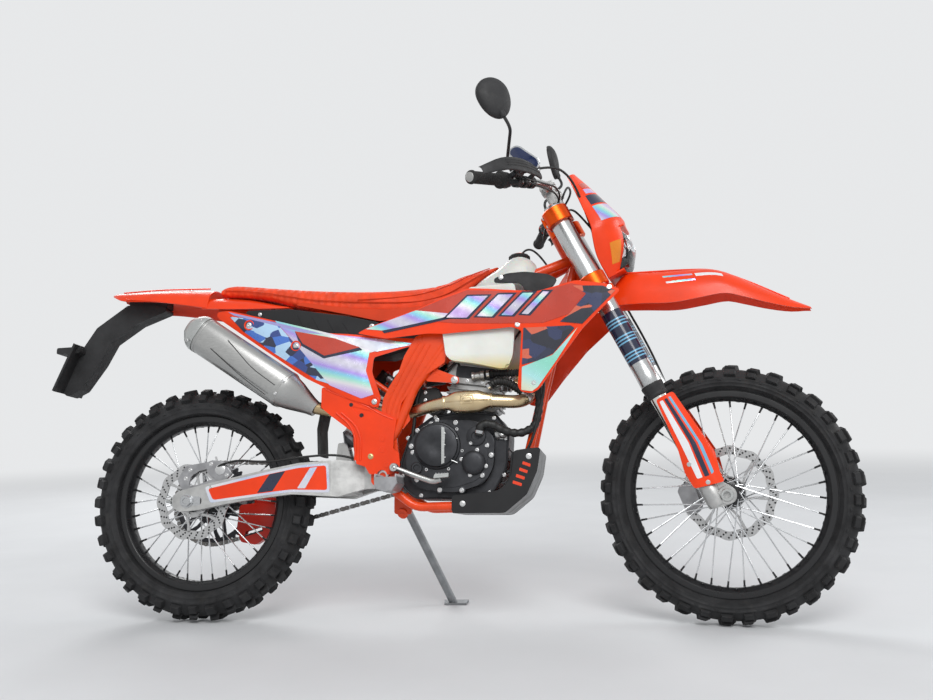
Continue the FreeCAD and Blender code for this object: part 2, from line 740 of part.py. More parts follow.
def engine_top():
    tilt = Rotation(left, 8)
    base = Vector(800, 0, 576)

    def slab(x_low, x_high, half_width, z_low, z_high, corner):
        block = plate([(x_low, z_low), (x_low, z_high), (x_high, z_high), (x_high, z_low)],
                      -half_width, half_width, corner)
        block.Placement = Placement(base, tilt)
        return block

    pieces = [slab(-72, 72, 58, 8, 76, 8)]
    pieces += [slab(-78, 78, 64, 18 + 14 * k, 22 + 14 * k, 3) for k in range(4)]
    pieces += [slab(-80, 76, 66, 76, 140, 12), slab(-66, 62, 60, 140, 176, 14)]
    port = rod(base + tilt.multVec(Vector(70, 0, 104)), base + tilt.multVec(Vector(92, 0, 100)), 27)
    intake = rod(base + tilt.multVec(Vector(-70, 0, 120)), base + tilt.multVec(Vector(-96, 0, 126)), 26)
    return fused(pieces + [port, intake])


def exhaust_route():
    tilt = Rotation(left, 8)
    port = Vector(800, 0, 576) + tilt.multVec(Vector(92.5, 0, 99.9))
    return [
        port,
        Vector(800, 0, 576) + tilt.multVec(Vector(136, 0, 92)),
        Vector(968, -46, 622),
        Vector(940, -104, 594),
        Vector(861, -122, 598),
        Vector(736, -122, 594),
        Vector(688, -104, 588),
        Vector(627, -62, 578),
        Vector(540, -62, 580),
        Vector(440, -74, 584),
        Vector(398, -86, 586),
        silencer_start + Vector(-12, silencer_nose_shift - 8, 8),
    ]


def exhaust_header():
    route = exhaust_route()
    pipe = tube(route, 18, 70)
    chamber = turned([(-3, 0), (-3, 16), (20, 29), (98, 29), (121, 16), (121, 0)], route[4], route[5] - route[4])
    return fused([pipe, chamber]).cut(silencer_cone(seat_gap))


def silencer_ahead():
    rise = math.radians(silencer_rise)
    return Vector(-math.cos(rise), 0, math.sin(rise))


def silencer_section(distance, half_width, half_height, corner, shift=0.0):
    """An eight-sided section square to the silencer's axis."""
    turn = Rotation(up, silencer_ahead())
    points = []
    for sx, sy in ((-1, -1), (1, -1), (1, 1), (-1, 1)):
        wide = Vector(sx * (half_height - corner), sy * half_width + shift, distance)
        high = Vector(sx * half_height, sy * (half_width - corner) + shift, distance)
        points += [high, wide] if sx * sy > 0 else [wide, high]
    return [turn.multVec(point) + silencer_start for point in points]


def silencer_cone(extra=0.0):
    """The silencer's front end, which leans inward to meet the pipe."""
    nose = silencer_section(-2 - extra, 22 + extra, 22 + extra, 9, silencer_nose_shift)
    return loft([nose, silencer_section(90, 52 + extra, 50 + extra, 24)], True)


def silencer():
    ahead = silencer_ahead()
    length = silencer_length
    can = loft([silencer_section(90, 52, 50, 24), silencer_section(length - 50, 52, 54, 24)], True)
    cap = loft([silencer_section(length - 50, 53, 55, 24), silencer_section(length - 22, 46, 44, 22),
                silencer_section(length, 30, 27, 14)], True)
    outlet = rod(silencer_start + ahead * (length - 60), silencer_start + ahead * (length + 20), 17)
    return fused([silencer_cone(), can, cap]).cut(outlet)


def skid_plate():
    outer = [
        (752, 297), (752, 344), (861, 353), (890, 360), (913, 388), (920, 462), (952, 466), (994, 470),
        (984, 407), (955, 344), (895, 296),
    ]
    inner = [
        (740, 301), (740, 480), (880, 520), (998, 520), (980, 409), (951, 347), (893, 300),
    ]
    half = cradle_half_width + down_tube_radius + 5
    shell = plate(outer, -half, half, 10).cut(plate(inner, -half + 3.5, half - 3.5))
    pad = plate([(790, 299), (790, 312), (830, 312), (830, 299)], cradle_half_width - 9, cradle_half_width + 9)
    pads = fused([shell, pad, mirrored(pad)])
    return pads.cut(Part.makeCompound(frame_tubes(seat_gap)))


def shroud_boss(x, z, low):
    """A mounting boss that ends just inside the radiator shroud."""
    room = behind_panel(shroud_plan, z - 20, z + 20, panel_thickness + seat_gap)
    return rod(Vector(x, low, z), Vector(x, 250, z), 7).common(room)


def radiators():
    outline = [(964, 664), (1004, 870), (1044, 862), (1004, 656)]
    core = plate(outline, 78, 128)
    tank_top = plate([(1000, 868), (1002, 890), (1048, 880), (1044, 860)], 74, 132, 6)
    louvres = []
    for k in range(9):
        z = 690 + 20 * k
        x = 1010 + (z - 660) * 0.198
        louvres.append(plate([(x - 12, z - 5), (x + 12, z - 2), (x + 12, z + 1), (x - 12, z + 3)], 80, 126))
    bosses = [shroud_boss(1024, 876, 120), shroud_boss(990, 700, 120)]
    return pair(fused([core, tank_top] + louvres + bosses))


# Bodywork

shroud_plan = [
    (480, spar_half_width + 34), (700, spar_half_width + 38), (900, spar_half_width + 45),
    (1040, spar_half_width + 63), (1140, spar_half_width + 81), (1222, spar_half_width + 93),
]


def behind_panel(plan, z_low, z_high, inset):
    """The space between the machine's middle and a bent panel, less an inset."""
    edge = [(x, y - inset) for x, y in plan]
    return plan_block([(plan[0][0], 0)] + edge + [(plan[-1][0], 0)], z_low, z_high)


def curved_panel(outline, plan, z_low, z_high, thickness, corner):
    """A side-view outline cut from a sheet that is bent as the plan shows."""
    outer = [(x, y) for x, y in plan]
    inner = [(x, y - thickness) for x, y in reversed(plan)]
    sheet = plan_block(outer + inner, z_low, z_high)
    return plate(outline, 0, 400, corner).common(sheet)


def radiator_shrouds():
    upper = [
        (488, 795), (520, 811), (664, 860), (735, 890), (801, 912), (871, 906), (995, 890), (1100, 913),
        (1181, 896), (1219, 876), (1118, 780), (1049, 695), (996, 623), (976, 612), (945, 618), (937, 634),
        (944, 696), (951, 784), (924, 795), (735, 784), (690, 787), (572, 777),
    ]
    panel = curved_panel(upper, shroud_plan, 600, 960, panel_thickness, 12)
    return pair(panel)


def fuel_tank():
    main = [
        (792, 860), (797, 934), (839, 966), (886, 996), (912, 1020), (954, 1026), (984, 1004), (996, 960),
        (985, 905), (960, 880), (900, 846),
    ]
    body = plate(main, -92, 92, 16)
    lobe = plate([(728, 800), (738, 726), (754, 711), (818, 701), (892, 684), (911, 688), (924, 720), (935, 860),
                  (900, 900), (790, 868)],
                 spar_half_width + spar_radius + 3, spar_half_width + spar_radius + 15, 14)
    bridge = plate([(800, 862), (800, 920), (930, 930), (940, 862)], 88, 130, 10)
    cap = Part.makeCylinder(28, 24, Vector(934, 0, 1014), up)
    boss = shroud_boss(830, 850, 120)
    whole = fused([body, lobe, mirrored(lobe), bridge, mirrored(bridge), cap, boss, mirrored(boss)])
    head_room = rod(head_point(-140), head_point(160), head_tube_radius + 3)
    return whole.cut(Part.makeCompound(frame_tubes(seat_gap) + [head_room]))


def seat():
    stations = [
        (36, 946, 964, 50), (60, 944, 974, 58), (120, 938, 970, 66), (200, 926, 961, 71),
        (280, 900, 953, 74), (360, 879, 946, 74), (450, 872, 940, 74), (560, 862, 938, 72),
        (640, 856, 942, 67), (710, 872, 952, 62), (770, 908, 975, 54), (800, 944, 983, 50),
        (840, 974, 994, 42), (880, 1000, 1008, 34),
    ]
    base = loft([seat_section(*station) for station in stations], True)
    skirt = plate([(282, 900), (360, 882), (441, 864), (534, 841), (640, 846), (690, 862), (690, 880), (282, 910)],
                  -seat_half_width, seat_half_width)
    rail_room = plate([(200, 780), (200, 900), (280, 900), (360, 879), (450, 872), (560, 862), (640, 856),
                       (720, 876), (720, 780)], -seat_half_width + 5, seat_half_width - 5)
    trim = plan_block([(280, 74), (450, 74), (560, 72), (640, 67), (710, 62), (710, -62), (640, -67), (560, -72),
                       (450, -74), (280, -74)], 780, 920)
    cushion = fused([base, skirt.common(trim).cut(rail_room)])
    return cushion.cut(Part.makeCompound(subframe_bars(seat_gap)))


def seat_section(x, z_low, z_high, half):
    """Cross-section of the cushion: flat below, with rounded shoulders."""
    rise = z_high - z_low
    side = [(half, z_low), (half, z_low + 0.55 * rise), (0.72 * half, z_low + 0.9 * rise), (0.3 * half, z_high)]
    return [Vector(x, -y, z) for y, z in side] + [Vector(x, y, z) for y, z in reversed(side)]


def side_panels():
    right = [
        (52, 872), (60, 862), (336, 675), (462, 613), (548, 584), (557, 612), (529, 687), (533, 728),
        (623, 755), (704, 771), (643, 780), (560, 788), (459, 798), (391, 803), (348, 816), (92, 884),
        (56, 882),
    ]
    plan = [(50, 96), (200, 118), (400, 130), (560, 131), (720, 131)]
    panel = curved_panel(right, plan, 560, 900, panel_thickness, 6)
    boss = rod(Vector(365, 67.4 + seat_gap, 776), Vector(365, 200, 776), 7)
    boss = boss.common(behind_panel(plan, 760, 790, 1))
    return pair(panel.fuse(boss))


def arch_section(station, inset):
    """Cross-section of a mudguard at one (x, crown height, edge height, half width) station."""
    x, crown, edge, half = station
    drop = crown - edge
    top = crown - inset
    side = [(half - inset, edge), (0.86 * half - inset, top - 0.35 * drop), (0.5 * half, top)]
    return [Vector(x, -y, z) for y, z in side] + [Vector(x, y, z) for y, z in reversed(side)]


def arched_shell(stations, thickness):
    return loft([arch_section(s, 0) + arch_section(s, thickness)[::-1] for s in stations])


def arched_room(stations, inset):
    """The space under a mudguard, which what carries it fills up to its underside."""
    return loft([arch_section(s, inset) for s in stations])


fender_tail = [
    (-305, 966, 957, 44), (-250, 968, 931, 88), (-140, 970, 921, 98), (-40, 968, 906, 102), (24, 965, 893, 102),
]
fender_tongue = [(8, 940, 893, 102), (60, 937, 891, 101), (140, 929, 889, 97), (268, 898, 888, 90)]


def rear_fender():
    return fused([arched_shell(fender_tail, panel_thickness), arched_shell(fender_tongue, panel_thickness)])


def under_fender(stations, shape):
    """Trims what carries the rear mudguard so that it ends just under its inner side."""
    return shape.common(arched_room(stations, panel_thickness + seat_gap))


def plate_holder():
    arm = [
        (-120, 916), (-231, 874), (-312, 819), (-346, 754), (-401, 676), (-442, 656), (-456, 666), (-455, 681),
        (-400, 807), (-362, 865), (-266, 932), (-182, 930),
    ]
    body = plate(arm, -26, 26, 10)
    saddle = under_fender(fender_tail, plate([(-140, 900), (-140, 990), (-262, 990), (-262, 915)], -22, 22))
    lamp = plate([(-468, 781), (-468, 800), (-396, 802), (-392, 784)], -60, 60, 5)
    panel = plate([(-463, 668), (-457, 665), (-398, 806), (-404, 810)], -78, 78)
    return fused([body, saddle, lamp, panel])


# Controls and small pieces

def footpegs():
    inner = -bracket_face - 5
    peg = plate([(566, 358), (560, 376), (562, 391), (622, 391), (624, 374), (610, 354), (590, 350)],
                inner - 96, inner, 5)
    hollow = plate([(574, 362), (572, 420), (612, 420), (614, 362)], inner - 88, inner - 12, 4)
    teeth = []
    for k in range(6):
        y = inner - 86 + 16 * k
        teeth.append(plan_block([(565, y), (620, y), (620, y + 5), (565, y + 5)], 384, 398))
    arm = rod(Vector(594, inner - 4, 380), Vector(594, -bracket_face - seat_gap, 380), 9)
    return pair(fused([peg.cut(hollow), arm] + teeth))


def brake_pedal():
    y = -guard_face - 11
    route = [Vector(596, y, 420), Vector(658, y, 396), Vector(705, y - 4, 380), Vector(730, y - 8, 386)]
    lever = tube(route, 7.5, 60)
    toe = plate([(708, 388), (712, 400), (752, 403), (750, 390)], y - 26, y + 6, 4)
    hub = rod(Vector(596, y - 8, 420), Vector(596, -guard_face - seat_gap, 420), 12)
    return fused([lever, toe, hub])


def gear_lever():
    route = [Vector(690, 108, 372), Vector(760, 116, 366), Vector(800, 120, 372)]
    lever = tube(route, 6, 60)
    toe = rod(Vector(800, 114, 372), Vector(800, 150, 372), 8)
    hub = rod(Vector(690, case_left_y + seat_gap, 372), Vector(690, 114, 372), 9)
    return fused([lever, toe, hub])


def rear_axle_parts():
    half = rear_axle_half_length
    axle = rod(rear_axle - left * half, rear_axle + left * half, rear_axle_radius)
    low = 121 + seat_gap
    head = turned([(low, 0), (low, 20), (low + 8, 20), (low + 8, 0)], rear_axle, left)
    nut = turned([(low, 0), (low, 17), (low + 9, 17), (low + 9, 0)], rear_axle, -left)
    hub_end = rear_hub_width / 2 + bearing_gap
    spacers = []
    for side, reach in ((1, 94.5), (-1, 86 - seat_gap)):
        profile = [(side * hub_end, 0), (side * hub_end, 18), (side * reach, 18), (side * reach, 0)]
        spacers.append(turned(profile, rear_axle, left))
    return fused([axle, head, nut] + spacers)


def rear_caliper():
    ax = rear_axle.x
    az = rear_axle.z
    bracket = plate([(ax - 20, az + 16), (ax - 44, az + 60), (ax - 20, az + 100), (ax + 50, az + 112),
                     (ax + 110, az + 98), (ax + 100, az + 62), (ax + 24, az + 50), (ax + 22, az + 16)],
                    -94, -86, 10)
    ring = turned([(86, rear_axle_radius + seat_gap), (86, 26), (94, 26), (94, rear_axle_radius + seat_gap)],
                  Vector(ax, 0, az), -left)
    window = Part.makeCylinder(14, 20, Vector(ax + 30, -100, az + 74), left)
    body = plate([(ax + 40, az + 84), (ax + 48, az + 116), (ax + 92, az + 112), (ax + 122, az + 76),
                  (ax + 96, az + 52), (ax + 62, az + 62)], -95, -62, 8)
    slot = turned([(72, 60), (72, rear_disc_radius + 5), (82, rear_disc_radius + 5), (82, 60)],
                  Vector(ax, 0, az), -left)
    return fused([bracket, ring, body]).cut(Part.makeCompound([window, slot]))


def chain_guides():
    guide = plate([(84, 330), (78, 262), (92, 222), (138, 214), (180, 240), (196, 286), (196, 330), (140, 336)],
                  chain_line_y - 11, chain_line_y + 17, 12)
    room = chain_loop(16, chain_line_y - 10, chain_line_y + 10).cut(
        chain_loop(-16, chain_line_y - 11, chain_line_y + 11))
    window = plate([(104, 240), (104, 252), (156, 268), (156, 254)], 0, 200, 5)
    bracket = plate([(120, 300), (120, 352), (186, 352), (186, 300)], chain_line_y + 14, 95 - seat_gap)
    tip_radius = chain_pitch / (2 * math.sin(math.pi / rear_sprocket_teeth)) + sprocket_tip
    wheel_room = Part.makeCylinder(tip_radius + moving_gap, 18, Vector(rear_axle.x, chain_line_y - 9, rear_axle.z), left)
    return guide.fuse(bracket).cut(Part.makeCompound([room, window, wheel_room]))


def mud_flap():
    x = rear_axle.x + rear_tyre_radius + 12
    outline = [
        (x + 4, 462), (x, 540), (x + 18, 640), (408, 745), (420, 751 - seat_gap), (456, 749.4 - seat_gap), (456, 743),
        (414, 741), (x + 26, 636), (x + 8, 538), (x + 12, 462),
    ]
    return plate(outline, -40, 40)


# Steered group, drawn in the fork's own frame: u as x, w as z

def leg_centre(w):
    return Vector(clamp_offset, -leg_y, w)


def triple_clamps():
    top_low = head_tube_high_w + bearing_gap
    low_high = head_tube_low_w - bearing_gap
    grip_radius_out = fork_outer_radius + clamp_wall

    def clamp(w_low, height):
        leg = [Part.makeCylinder(grip_radius_out, height, Vector(clamp_offset, side * leg_y, w_low), up)
               for side in (-1, 1)]
        boss = Part.makeCylinder(30, height, Vector(0, 0, w_low), up)
        bridge = plan_block([(-17, -12), (-17, 12), (2, 100), (44, 92), (40, 0), (44, -92), (2, -100)],
                            w_low + 4, w_low + height - 4)
        bores = [Part.makeCylinder(fork_outer_radius + running_gap, height + 2,
                                   Vector(clamp_offset, side * leg_y, w_low - 1), up) for side in (-1, 1)]
        return fused(leg + [boss, bridge]).cut(Part.makeCompound(bores))

    stem_low = low_high - lower_clamp_height
    stem = Part.makeCylinder(stem_radius, top_low + top_clamp_height + 8 - stem_low, Vector(0, 0, stem_low), up)
    nut = Part.makeCylinder(17, 12, Vector(0, 0, top_low + top_clamp_height - 1), up)
    riser_low = top_low + top_clamp_height - 6
    risers = []
    for y in (-44, 44):
        risers.append(plate([(bar_clamp_u - 20, riser_low), (bar_clamp_u - 17, bar_clamp_w - 6),
                             (bar_clamp_u + 17, bar_clamp_w - 6), (bar_clamp_u + 20, riser_low)], y - 14, y + 14))
        risers.append(plate([(bar_clamp_u - 24, bar_clamp_w - 10), (bar_clamp_u - 24, bar_clamp_w + 22),
                             (bar_clamp_u + 24, bar_clamp_w + 22), (bar_clamp_u + 24, bar_clamp_w - 10)],
                            y - 14, y + 14, 6))
    bar_room = rod(Vector(bar_clamp_u, -80, bar_clamp_w), Vector(bar_clamp_u, 80, bar_clamp_w),
                   bar_radius + running_gap)
    whole = fused([clamp(top_low, top_clamp_height), clamp(stem_low, lower_clamp_height), stem, nut] + risers)
    return whole.cut(bar_room)


def fork_outer_tubes():
    top = fork_top_w
    low = fork_outer_bottom_w
    profile = [
        (low, fork_inner_radius + running_gap), (low, fork_outer_radius), (top, fork_outer_radius),
        (top, fork_outer_radius - 8), (top + 6, fork_outer_radius - 11), (top + 6, 0), (low + fork_overlap, 0),
        (low + fork_overlap, fork_inner_radius + running_gap),
    ]
    return pair(turned(profile, leg_centre(0), up))


def fork_legs():
    tube_low = axle_w + 40
    tube_high = fork_outer_bottom_w + fork_overlap - 2
    inner = Part.makeCylinder(fork_inner_radius, tube_high - tube_low, leg_centre(tube_low), up)
    seal = turned([(fork_outer_bottom_w - 38, fork_inner_radius - 1), (fork_outer_bottom_w - 38, 28),
                   (fork_outer_bottom_w - 8, 31), (fork_outer_bottom_w - seat_gap, 31),
                   (fork_outer_bottom_w - seat_gap, fork_inner_radius - 1)], leg_centre(0), up)
    foot = Part.makeCylinder(fork_inner_radius + 3, 66, leg_centre(axle_w - 14), up)
    inner_y = -leg_y + 22
    outer_y = -leg_y - 16
    lug_plate = plate([(clamp_offset - 22, axle_w - 14), (clamp_offset - 20, axle_w + 46),
                       (clamp_offset + 20, axle_w + 46), (axle_u + 24, axle_w + 8), (axle_u + 16, axle_w - 20),
                       (axle_u - 10, axle_w - 24)], outer_y, inner_y, 12)
    boss = rod(Vector(axle_u, outer_y - 6, axle_w), Vector(axle_u, inner_y + 4, axle_w), 24)
    bore = rod(Vector(axle_u, -200, axle_w), Vector(axle_u, 0, axle_w), front_axle_radius + running_gap)
    return pair(fused([inner, seal, foot, lug_plate, boss]).cut(bore))


def front_axle():
    half = leg_y + 24
    profile = [
        (-half, front_axle_bore_radius), (-half, front_axle_radius), (half, front_axle_radius),
        (half, front_axle_bore_radius),
    ]
    axle = turned(profile, Vector(axle_u, 0, axle_w), left)
    spacer_low = front_hub_width / 2 + bearing_gap
    spacer = turned([(spacer_low, front_axle_radius - 1), (spacer_low, 18), (leg_y - 26.5, 18),
                     (leg_y - 26.5, front_axle_radius - 1)], Vector(axle_u, 0, axle_w), left)
    return fused([axle, spacer, mirrored(spacer)])


def fork_guards():
    high = fork_outer_bottom_w - 44
    outline = [
        (14, high), (64, high), (81, axle_w + 112), (66, axle_w + 56), (66, axle_w + 32), (-12, axle_w + 52),
        (-14, axle_w + 99), (2, axle_w + 161),
    ]
    centre = -leg_y
    outer = plan_block([(-16, centre - 27), (4, centre - 34), (46, centre - 34), (70, centre - 22),
                        (84, centre - 4), (84, centre + 6), (64, centre + 24), (40, centre + 30),
                        (34, centre - 12), (-16, centre - 12)], axle_w + 12, high + 7)
    inner = plan_block([(-20, centre - 24), (4, centre - 31), (45, centre - 31), (68, centre - 20),
                        (80, centre - 3), (80, centre + 4), (62, centre + 21), (40, centre + 27),
                        (30, centre + 40), (-20, centre + 40)], axle_w + 2, high + 22)
    shell = outer.cut(inner)
    side = plate(outline, centre - 50, centre + 50, 8).common(shell)
    clip = plate([(20, axle_w + 38), (40, axle_w + 38), (40, axle_w + 54), (20, axle_w + 54)],
                 centre - 32, centre - 20)
    foot_room = Part.makeCylinder(fork_inner_radius + 3 + seat_gap, 200, leg_centre(axle_w - 60), up)
    return pair(side.fuse(clip).cut(foot_room))


def front_fender():
    seat_w = head_tube_low_w - bearing_gap - lower_clamp_height - seat_gap
    stations = [
        (4, seat_w, -196, 44), (50, seat_w - 1, -216, 54), (104, -139, -244, 66), (180, -176, -286, 74),
        (252, -213, -312, 76), (312, -246, -334, 74), (344, -276, -362, 70), (392, -342, -408, 60),
        (440, -410, -448, 44), (484, -466, -474, 22),
    ]
    return arched_shell(stations, panel_thickness)


def mask_section(w, front, rear, half, inset):
    """Plan outline of the lamp mask at one height, from its rear right edge to its rear left edge."""
    depth = front - rear
    side = [
        Vector(rear, half - inset, w),
        Vector(rear + 0.5 * depth, 0.92 * half - inset, w),
        Vector(rear + 0.86 * depth - inset, 0.55 * half - 0.4 * inset, w),
    ]
    return side + [Vector(front - inset, 0, w)] + [Vector(p.x, -p.y, p.z) for p in side[::-1]]


def headlight_mask():
    stations = [
        (-138, 112, 62, 74), (-72, 160, 66, 100), (-14, 172, 84, 112), (4, 176, 92, 112), (60, 162, 96, 96),
        (130, 142, 100, 74), (197, 121, 100, 26),
    ]
    sections = []
    for w, front, rear, half in stations:
        outer = mask_section(w, front, rear, half, 0)
        inner = mask_section(w, front, rear, half, panel_thickness)
        sections.append(outer + inner[::-1])
    shell = loft(sections, True)
    low = lamp_low_w - seat_gap
    high = lamp_high_w + seat_gap
    half = lamp_half_width + seat_gap
    window = plate([(100, low), (100, high), (220, high), (220, low)], -half, half)
    return shell.cut(window)


def headlight():
    face = [(112, lamp_low_w), (112, lamp_high_w), (158, lamp_high_w), (166, -50), (166, -80), (160, -94),
            (130, lamp_low_w)]
    body = plate(face, -lamp_half_width, lamp_half_width, 8)
    mount = plate([(86, -84), (86, -44), (113, -44), (113, -84)], -30, 30, 6)
    return body.fuse(mount)


def bar_route():
    end_u = bar_clamp_u - bar_sweep
    half = bar_half_width
    side = [
        Vector(bar_clamp_u, 0, bar_clamp_w),
        Vector(bar_clamp_u, bar_bend_y - 30, bar_clamp_w),
        Vector(bar_clamp_u - 10, bar_bend_y + 10, bar_clamp_w),
        Vector(end_u, half, bar_clamp_w + bar_rise),
    ]
    return side


def handlebar():
    route = bar_route()
    half = tube(route, bar_end_radius, 90)
    sleeve = rod(Vector(bar_clamp_u, 0, bar_clamp_w), Vector(bar_clamp_u, bar_bend_y - 44, bar_clamp_w), bar_radius)
    return fused([half, sleeve, mirrored(half), mirrored(sleeve)])


def grip_ends():
    """Start and end of the straight outer run of the left half of the bar."""
    inner, outer = bar_route()[-2:]
    ahead = outer - inner
    ahead.normalize()
    return outer - ahead * grip_length, outer, ahead


def grips():
    start, end, ahead = grip_ends()
    length = grip_length
    profile = [(0, 11), (0, 24), (5, 24), (5, grip_radius), (length - 3, grip_radius - 0.5), (length - 3, 19),
               (length + 3, 17), (length + 3, 0), (length + seat_gap, 0), (length + seat_gap, 11)]
    profile = [(a, max(r, bar_end_radius + running_gap) if a <= length else r) for a, r in profile]
    return pair(turned(profile, start, ahead))


def control_levers():
    start, end, ahead = grip_ends()
    clamp_at = start - ahead * 34
    ring = turned([(0, bar_end_radius + running_gap), (0, 19), (26, 19), (26, bar_end_radius + running_gap)],
                  clamp_at, ahead)
    body = rod(clamp_at + Vector(36, -8, 4), clamp_at + Vector(38, 44, 2), 13)
    stalk = rod(clamp_at + ahead * 13 + Vector(15, 0, 2), clamp_at + ahead * 13 + Vector(34, 4, 3), 11)
    blade = tube([clamp_at + Vector(34, 30, 2), clamp_at + Vector(32, 76, -4), clamp_at + Vector(-6, 134, -6)],
                 5.5, 60)
    return pair(fused([ring, body, stalk, blade]))


def hand_guards():
    stations = [(186, 40, 22), (240, 36, 30), (320, 16, 30), (388, -18, 24), (424, -72, 14)]
    sections = []
    for y, u, half in stations:
        w = bar_clamp_w + 8
        sections.append([Vector(u, y, w - half), Vector(u + 6, y, w), Vector(u, y, w + half),
                         Vector(u - 3, y, w + half), Vector(u + 3, y, w), Vector(u - 3, y, w - half)])
    ring, middle = bar_ring(197, 8, 17)
    arm = rod(middle + Vector(14, 0, 0), Vector(43, 204, bar_clamp_w + 6), 6)
    return pair(fused([loft(sections), ring, arm]))


def bar_ring(y, half_length, radius):
    """A clamp ring round the straight outer run of the left half of the bar, and its middle."""
    inner, outer = bar_route()[-2:]
    ahead = outer - inner
    middle = inner + ahead * ((y - inner.y) / ahead.y)
    bore = bar_end_radius + running_gap
    profile = [(-half_length, bore), (-half_length, radius), (half_length, radius), (half_length, bore)]
    return turned(profile, middle, ahead), middle


def mirrors():
    def mirror(side, centre, facing):
        ring, middle = bar_ring(226, 9, 17)
        if side < 0:
            ring = mirrored(ring)
            middle = Vector(middle.x, -middle.y, middle.z)
        base = middle + Vector(3, 0, 15)
        stem = tube([base, base + Vector(4, side * 6, 50), centre - Vector(0, side * 20, 30), centre], 4.5, 40)
        head = turned([(-8, 0), (-8, 30), (0, 48), (9, 46), (9, 0)], centre, facing)
        return fused([ring, stem, head])

    right = mirror(-1, Vector(48, -372, bar_clamp_w + 189), Vector(-0.6, -0.75, 0.2))
    return Part.makeCompound([right, mirror(1, Vector(78, 352, bar_clamp_w + 226), Vector(-1, 0, 0.3))])


def display_unit():
    outline = [(30, 18), (48, 22), (54, 38), (22, 106), (8, 110), (-2, 98), (6, 60)]
    body = plate([(u, bar_clamp_w + rise) for u, rise in outline], -182, -152, 12)
    ring, middle = bar_ring(168, 8, 17)
    foot = Vector(middle.x, -middle.y, middle.z)
    arm = rod(foot + Vector(10, 0, 12), Vector(36, -168, bar_clamp_w + 30), 6)
    return fused([body, mirrored(ring), arm])


def front_caliper():
    inner = front_disc_y - 15
    outer = front_disc_y + 18
    body = plate([(-72, axle_w - 10), (-62, axle_w + 78), (-18, axle_w + 80), (-14, axle_w + 54),
                  (-24, axle_w + 2)], inner, outer, 10)
    arm = plate([(-30, axle_w + 12), (-30, axle_w + 44), (12, axle_w + 44), (12, axle_w + 12)],
                leg_y - 33, leg_y - 22 - seat_gap)
    slot = turned([(front_disc_y - 4.5, 60), (front_disc_y - 4.5, front_disc_radius + 5),
                   (front_disc_y + 4.5, front_disc_radius + 5), (front_disc_y + 4.5, 60)],
                  Vector(axle_u, 0, axle_w), left)
    foot = Part.makeCylinder(fork_inner_radius + 3 + seat_gap, 200, Vector(clamp_offset, leg_y, axle_w - 50), up)
    return fused([body, arm]).cut(Part.makeCompound([slot, foot]))


# Side stand, drawn as it stands, in the upright machine's coordinates

def side_stand():
    foot = stand_foot()
    ahead = foot - stand_pivot
    ahead.normalize()
    hinge = stand_hinge()
    knuckle = rod(stand_pivot - hinge * stand_knuckle_half, stand_pivot + hinge * stand_knuckle_half, 17)
    leg = rod(stand_pivot + ahead * 8, foot, stand_tube_radius)
    pad = plan_block([(-26, -22), (-34, 30), (40, 34), (40, -20)], 0, 6)
    pad.transformShape(stand_pad_place(foot).toMatrix())
    whole = fused([knuckle, leg])
    below = Part.makeBox(600, 600, 200, Vector(-300, -300, -200))
    below.transformShape(stand_pad_place(foot).toMatrix())
    bore = rod(stand_pivot - hinge * 30, stand_pivot + hinge * 30, stand_pivot_radius + running_gap)
    return fused([whole.cut(below), pad]).cut(bore)


def stand_hinge():
    """Hinge line of the stand: square to the leg both as it stands and as it is folded back."""
    deployed = stand_foot() - stand_pivot
    hinge = deployed.cross(stand_folded_run)
    hinge.normalize()
    return hinge


def stand_foot():
    """Where the stand meets the ground, in the upright machine's coordinates."""
    world = parked.multVec(stand_pivot)
    target = Vector(world.x + stand_reach_x, world.y + stand_reach_y, 0)
    return parked.inverse().multVec(target)


def stand_pad_place(foot):
    """The foot pad lies flat on the ground, so its frame is the ground's."""
    return Placement(foot, parked.inverse().Rotation)


# How the machine stands: both tyres and the stand's foot on the ground

def lowest(hub, axle, radius, width):
    crown = width / 2
    return hub.z - (radius - crown) * math.sqrt(1 - axle.z ** 2) - crown


def steer_placement(turn):
    return Placement(Vector(head_x, 0, head_z), straight_fork.Rotation * Rotation(up, turn))


def stand_placement():
    pitch = 0.0
    steered = steer_placement(-steering_turn)
    front_hub = steered.multVec(Vector(axle_u, 0, axle_w))
    for _ in range(6):
        turn = Rotation(left, pitch) * Rotation(forward, -lean_angle)
        rear_low = lowest(turn.multVec(rear_axle), turn.multVec(left), rear_tyre_radius, rear_tyre_width)
        front_low = lowest(turn.multVec(front_hub), turn.multVec(steered.Rotation.multVec(left)),
                           front_tyre_radius, front_tyre_width)
        pitch += math.degrees((front_low - rear_low) / (front_hub.x - rear_axle.x))
    return Placement(Vector(0, 0, -rear_low), turn)


parked = stand_placement()
steered_fork = steer_placement(-steering_turn)


def upright_nodes():
    """Everything on the frame, in the upright machine's coordinates."""
    return {
        "frame": frame(),
        "frame_guards": frame_guards(),
        "swingarm": swingarm(),
        "shock_absorber": shock_absorber(),
        "subframe": subframe(),
        "airbox": airbox(),
        "engine_cases": engine_cases(),
        "engine_top": engine_top(),
        "exhaust_header": exhaust_header(),
        "silencer": silencer(),
        "skid_plate": skid_plate(),
        "radiators": radiators(),
        "radiator_shrouds": radiator_shrouds(),
        "fuel_tank": fuel_tank(),
        "seat": seat(),
        "side_panels": side_panels(),
        "rear_fender": rear_fender(),
        "plate_holder": plate_holder(),
        "footpegs": footpegs(),
        "brake_pedal": brake_pedal(),
        "gear_lever": gear_lever(),
        "drive_chain": drive_chain(),
        "chain_guide": chain_guides(),
        "rear_caliper": rear_caliper(),
        "rear_axle": rear_axle_parts(),
        "mud_flap": mud_flap(),
        "side_stand": side_stand(),
    }


